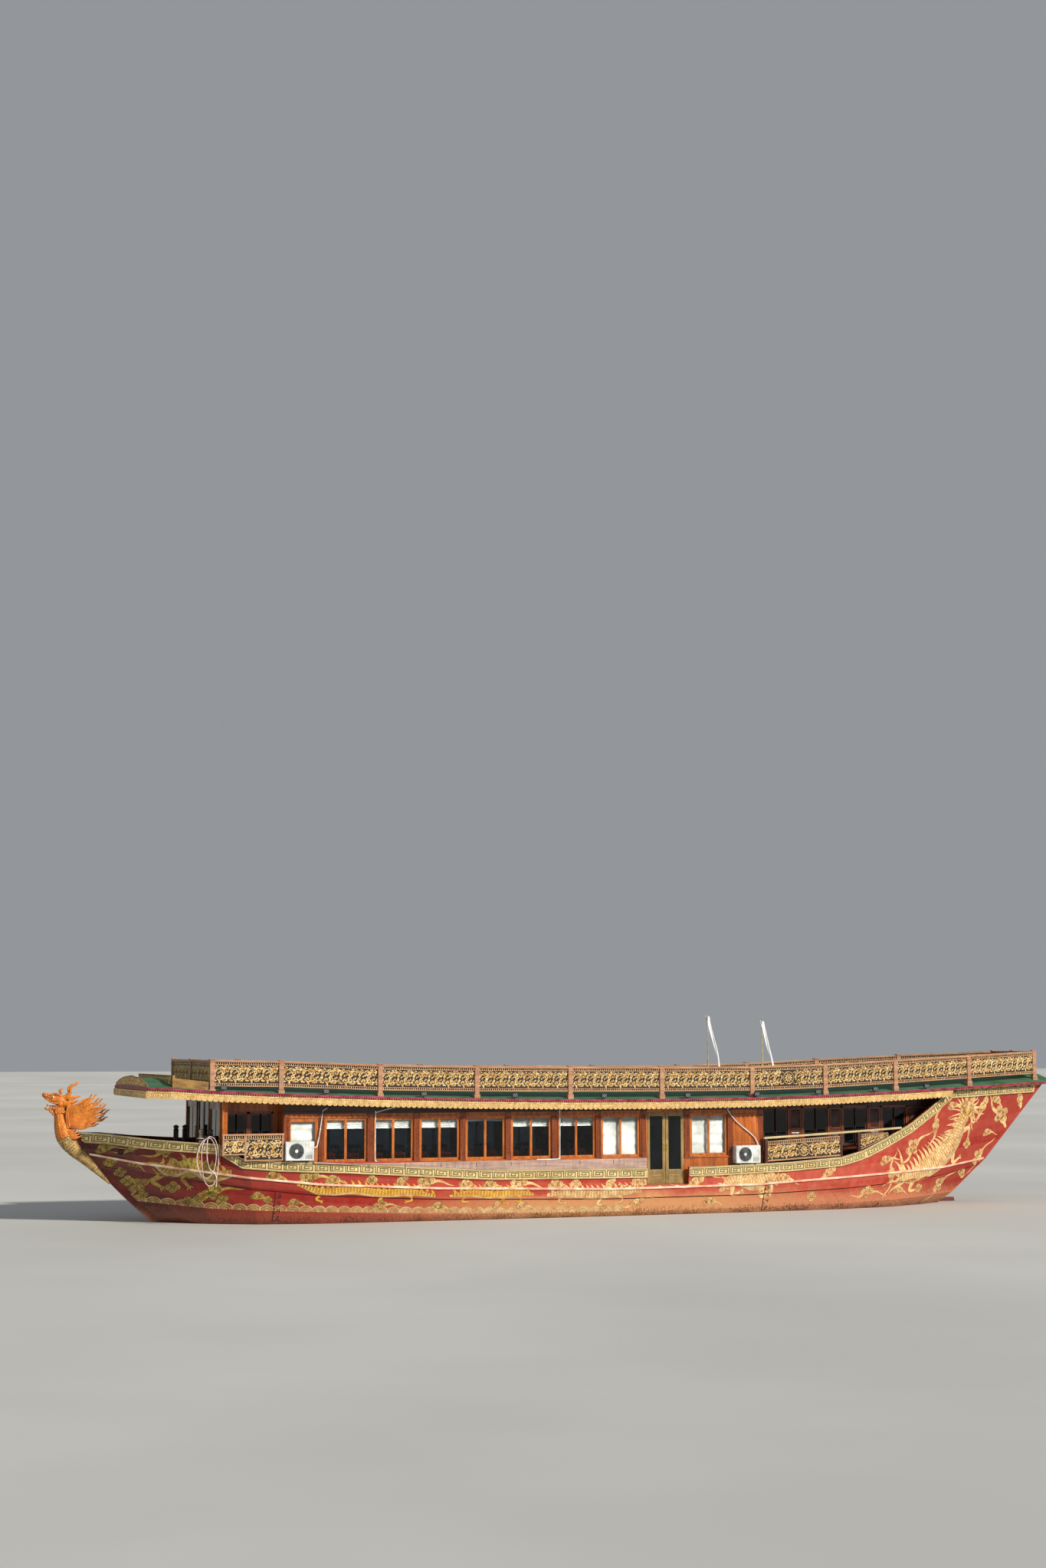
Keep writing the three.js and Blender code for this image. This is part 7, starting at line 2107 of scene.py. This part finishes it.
# Mooring bitts
# Twin square posts of dark weathered timber with turned heads and iron bands, stepped through the deck on a
# pad in each bow corner.
bitt_wood = finish("bitt_wood", "3a3230", "7c716d", rough=(0.6, 0.85), scale=4.0, stretch=(7, 7, 0.7),
                   wear=("a79a93", 0.014), depth=0.003)
BITT_HEAD = [(0.063, 2.4), (0.05, 2.415), (0.05, 2.43), (0.065, 2.445), (0.065, 2.485), (0.02, 2.518)]
bitts = Stock()
for x in (-11.35, -11.1):
    bitts.add(block((x - 0.063, -1.753, 1.56), (x + 0.063, -1.627, 2.4), 0.012))
    rows = [[(x - r, -1.69 - r, z), (x + r, -1.69 - r, z), (x + r, -1.69 + r, z), (x - r, -1.69 + r, z)]
            for r, z in BITT_HEAD]
    bitts.add(grid(rows, True, True))
    for z in (1.64, 2.36):
        bitts.add(block((x - 0.0655, -1.7555, z), (x + 0.0655, -1.6245, z + 0.025), 0.003), 1)
bitts.add(block((-11.44, -1.76, 1.551), (-11.01, -1.62, 1.64), 0.015))
iron_band = finish("iron_band", "241d1a", "5a4a42", rough=(0.5, 0.8), scale=9.0, Metallic=0.7,
                   dirt=("7a4426", 0.8), depth=0.001)
bitts.pair("mooring_bitts", [bitt_wood, iron_band], slot="dark_wood", replaces=["bitts"], smooth=30)

# Canes and pennants
# Two bamboo canes lashed to a plank in the roof deck. Each carries a long narrow pennant of white cotton,
# tied on below its tip.
CANES = [(4.03, -0.2, 5.64), (5.78, -0.26, 5.5)]  # x, y and the height of the tip
CANE_FOOT = 3.52
PENNANT_WIDE = 0.15

bamboo = finish("bamboo", "8b7a4a", "d6c386", rough=(0.35, 0.55), scale=5.0, stretch=(9, 9, 0.6),
                wear=("efe2b2", 0.004), depth=0.0005)
canes = Stock()
for x, y, top in CANES:
    profile = []
    for k in range(9):
        z = CANE_FOOT + (top - CANE_FOOT) * k / 8
        for r, up in ((0.0185, -0.012), (0.0215, 0.0), (0.0185, 0.006)):
            profile.append((r - 0.0008 * k, min(z + up, top)))
    canes.add(lathe(profile, (x, y, 0), 2, 10))
    lashing = [(x - 0.022, y, top - 0.08), (x, y - 0.022, top - 0.08), (x + 0.022, y, top - 0.08),
               (x, y + 0.022, top - 0.08), (x - 0.022, y, top - 0.075)]
    canes.add(tube(lashing, 0.004, 5), 1)
canes.add(block((3.95, -0.32, 3.5), (5.86, -0.14, 3.54), 0.006), 2)
canes.piece("flag_canes", [bamboo, white_cotton, raw_wood], slot="raw_wood", replaces=["flag_poles"],
            smooth=50)

pennant_cloth = cloth("pennant_cloth", 0.8, 0.2, ("dcd9e0", "fbfaff"), 3.0, 300.0, "Z", 0.0005)
for n, (x, y, top) in enumerate(CANES, 1):
    spine = bend([(x + 0.02, y, top - 0.06), (x + 0.06, y, top - 0.3), (x + 0.16, y, top - 0.7),
                  (x + 0.3, y, top - 1.12), (x + 0.37, y, (top - 1.12 + 3.8) / 2), (x + 0.4, y, 3.79)], 60)
    rows = []
    for k, p in enumerate(spine):
        t = k / 59
        wide = PENNANT_WIDE * (1 - 0.62 * t)
        sway = 0.016 * math.sin(9 * t + n)
        rows.append([(p[0] + wide * (s - 0.5) * 0.9, p[1] + sway + 0.014 * math.sin(6 * s + 11 * t + n),
                      p[2] + wide * 0.25 * (0.5 - s)) for s in np.linspace(0, 1, 9)])
    for a, b in zip(rows, rows[1:]):
        for i in range(8):
            p, q, r, s = (np.array(v) for v in (a[i], a[i + 1], b[i + 1], b[i]))
    long = float(np.linalg.norm(np.diff(spine, axis=0), axis=1).sum())
    pennant = Stock()
    pennant.add(grid(rows))
    made = pennant.piece(f"pennant_{n}", pennant_cloth, slot="cloth", replaces=[f"flag_cloth_{n}"], smooth=60)

# Running gear
# A three bladed bronze propeller on its shaft, a steel plate rudder with its tiller, and the diesel under a
# plank hatch that lifts by a brass ring.
bronze = finish("propeller_bronze", "5b4420", "c79a4c", rough=(0.25, 0.5), scale=9.0, Metallic=0.85,
                dirt=("4a5a48", 0.7), wear=("f0cf84", 0.006), depth=0.0008)
plate_iron = finish("plate_iron", "4a1d16", "7c3426", rough=(0.5, 0.8), scale=5.0, dirt=("2d2622", 0.8),
                    wear=("a9613f", 0.008), depth=0.002)
engine_paint = finish("engine_paint", "2f3d38", "5f756b", rough=(0.35, 0.6), scale=8.0, dirt=("1c1a17", 0.9),
                      wear=("8d8f88", 0.01), depth=0.001)
hatch_wood = finish("hatch_wood", "4a2c1c", "8b5a3a", rough=(0.5, 0.75), scale=3.0, stretch=(0.7, 7, 7),
                    seams=(1, 0.12), wear=("b58a68", 0.01), depth=0.003)
BLADE = [  # radius, half chord, half thickness, twist
    (0.04, 0.07, 0.013, 0.83), (0.1, 0.094, 0.011, 0.71), (0.16, 0.097, 0.009, 0.61),
    (0.205, 0.08, 0.007, 0.53), (0.232, 0.052, 0.005, 0.47), (0.243, 0.014, 0.003, 0.45),
]
SCREW = (11.25, -0.47)
screw = Stock()
for turn in around(3):
    rows = []
    for r, half, thick, twist in bend(BLADE, 18):
        ring = []
        for t in around(16):
            a, b = half * math.cos(t), thick * math.sin(t)
            flat = a * math.cos(twist) - b * math.sin(twist)
            ring.append((SCREW[0] + a * math.sin(twist) + b * math.cos(twist),
                         flat * math.sin(turn) + r * math.cos(turn),
                         SCREW[1] - flat * math.cos(turn) + r * math.sin(turn)))
        rows.append(ring)
    screw.add(grid(rows, True, True))
HUB = [(-0.34, 0.028), (-0.092, 0.028), (-0.09, 0.054), (-0.06, 0.06), (0.04, 0.058), (0.075, 0.045),
       (0.09, 0.02)]
screw.add(tube([(SCREW[0] + x, 0, SCREW[1]) for x, _ in HUB], [r for _, r in HUB], 20))
screw.piece("screw", bronze, body="propeller", slot="bronze", replaces=["propeller"], smooth=50)
repaint(["rudder"], plate_iron)
repaint(["engine"], engine_paint)
repaint(["engine_hatch"], hatch_wood)
hatch_ring = Stock()
ring = [(6.36 + 0.04 * math.cos(t), 0.04 * math.sin(t), 0.853) for t in np.linspace(0, math.tau, 17)]
hatch_ring.add(tube(ring, 0.006, 6))
hatch_ring.add(block((6.28, -0.03, 0.849), (6.33, 0.03, 0.856), 0.002))
hatch_ring.piece("hatch_ring", brass, body="engine_hatch", slot="bronze", smooth=50)

# Draught marks
# A scale painted in black on the planking forward and aft: ticks every 0.1 m, longer at every second one,
# with plain figures there.
STROKES = {2: [0, 4, 1, 5, 2], 4: [3, 1, 4, 6], 6: [0, 3, 1, 5, 6, 2], 8: [0, 1, 2, 3, 4, 5, 6]}

# The seven bars of a figure: top, middle, low, then the upper and the lower pairs
BARS = [((0, 2), (1, 2)), ((0, 1), (1, 1)), ((0, 0), (1, 0)), ((0, 1), (0, 2)), ((1, 1), (1, 2)),
        ((0, 0), (0, 1)), ((1, 0), (1, 1))]
TICK_PITCH, MARK_LEVEL = 0.1, 5
marks = Brush()
for x0, low, high in ((-9.44, 0.1, 0.86), (4.73, 0.06, 0.9)):
    marks.dab(ribbon([(x0, z) for z in np.linspace(low, high, 8)], 0.02), 0, MARK_LEVEL)
    for n in range(int((high - low) / TICK_PITCH) + 1):
        z = low + n * TICK_PITCH
        marks.dab(ribbon([(x0, z), (x0 + (0.04 if n % 2 else 0.07), z)], 0.016), 0, MARK_LEVEL)
        if n % 2 == 0 and z < high - 0.05:
            for bar in STROKES[n + 2]:
                ends = [(x0 + 0.1 + a * 0.055, z + 0.012 + b * 0.05) for a, b in BARS[bar]]
                marks.dab(ribbon(ends, 0.016), 0, MARK_LEVEL)
mark_black = finish("mark_black", "1b1412", "43322c", rough=(0.5, 0.8), scale=14.0, depth=0.0005)
marks.lay("draught_marks", [mark_black], "hull_paint")

# Hawse holes
# A hole in each bow for the anchor line, closed inside by a dark disc as painted shade, with a rounded rim
# of cast iron that is bolted through the planking.
HAWSE_AT = (-13.28, 1.905)

near_hawse = lambda a, b: np.array(skin(HAWSE_AT[0] + a, HAWSE_AT[1] + b))
middle = near_hawse(0, 0)
side, up = near_hawse(0.08, 0) - near_hawse(-0.08, 0), near_hawse(0, 0.08) - near_hawse(0, -0.08)
side, up = side / np.linalg.norm(side), up / np.linalg.norm(up)
normal = np.cross(side, up)
normal *= -1 if normal[1] > 0 else 1
rows = [[middle + side * r * math.cos(t) + up * r * 0.85 * math.sin(t) + normal * o
         for t in around(20)]
        for r, o in ((0.1, -0.004), (0.1, 0.016), (0.085, 0.024), (0.066, 0.016), (0.06, 0.003))]
points, faces = grid(rows, True)
hawse = Stock()
hawse.add((points, faces))
# The dark disc inside the rim is painted shade
hawse.add((points[-20:], [tuple(range(20))]), 1)
hawse.pair("hawse_holes", [iron_band, fan_black_and_hole_shade], slot="iron", smooth=50)

# Lap shadow
# A dark strip painted just below the joint where the upper planking laps the lower, as the lap's shadow.
# The joint is nailed along its length.
lap = Brush()
# A dark strip just under the lap line: painted shadow
lap.dab(ribbon([(x, read(LAP_LINE, x) - 0.012) for x in np.linspace(-13.6, 12.5, 160)], 0.026), 0, 2)
lap_shadow_paint = finish("lap_shadow_paint", "2c0a08", "5b1a14", rough=(0.5, 0.7), scale=9.0, depth=0.001)
lap.lay("painted_lap_shadow", [lap_shadow_paint], "hull_paint")
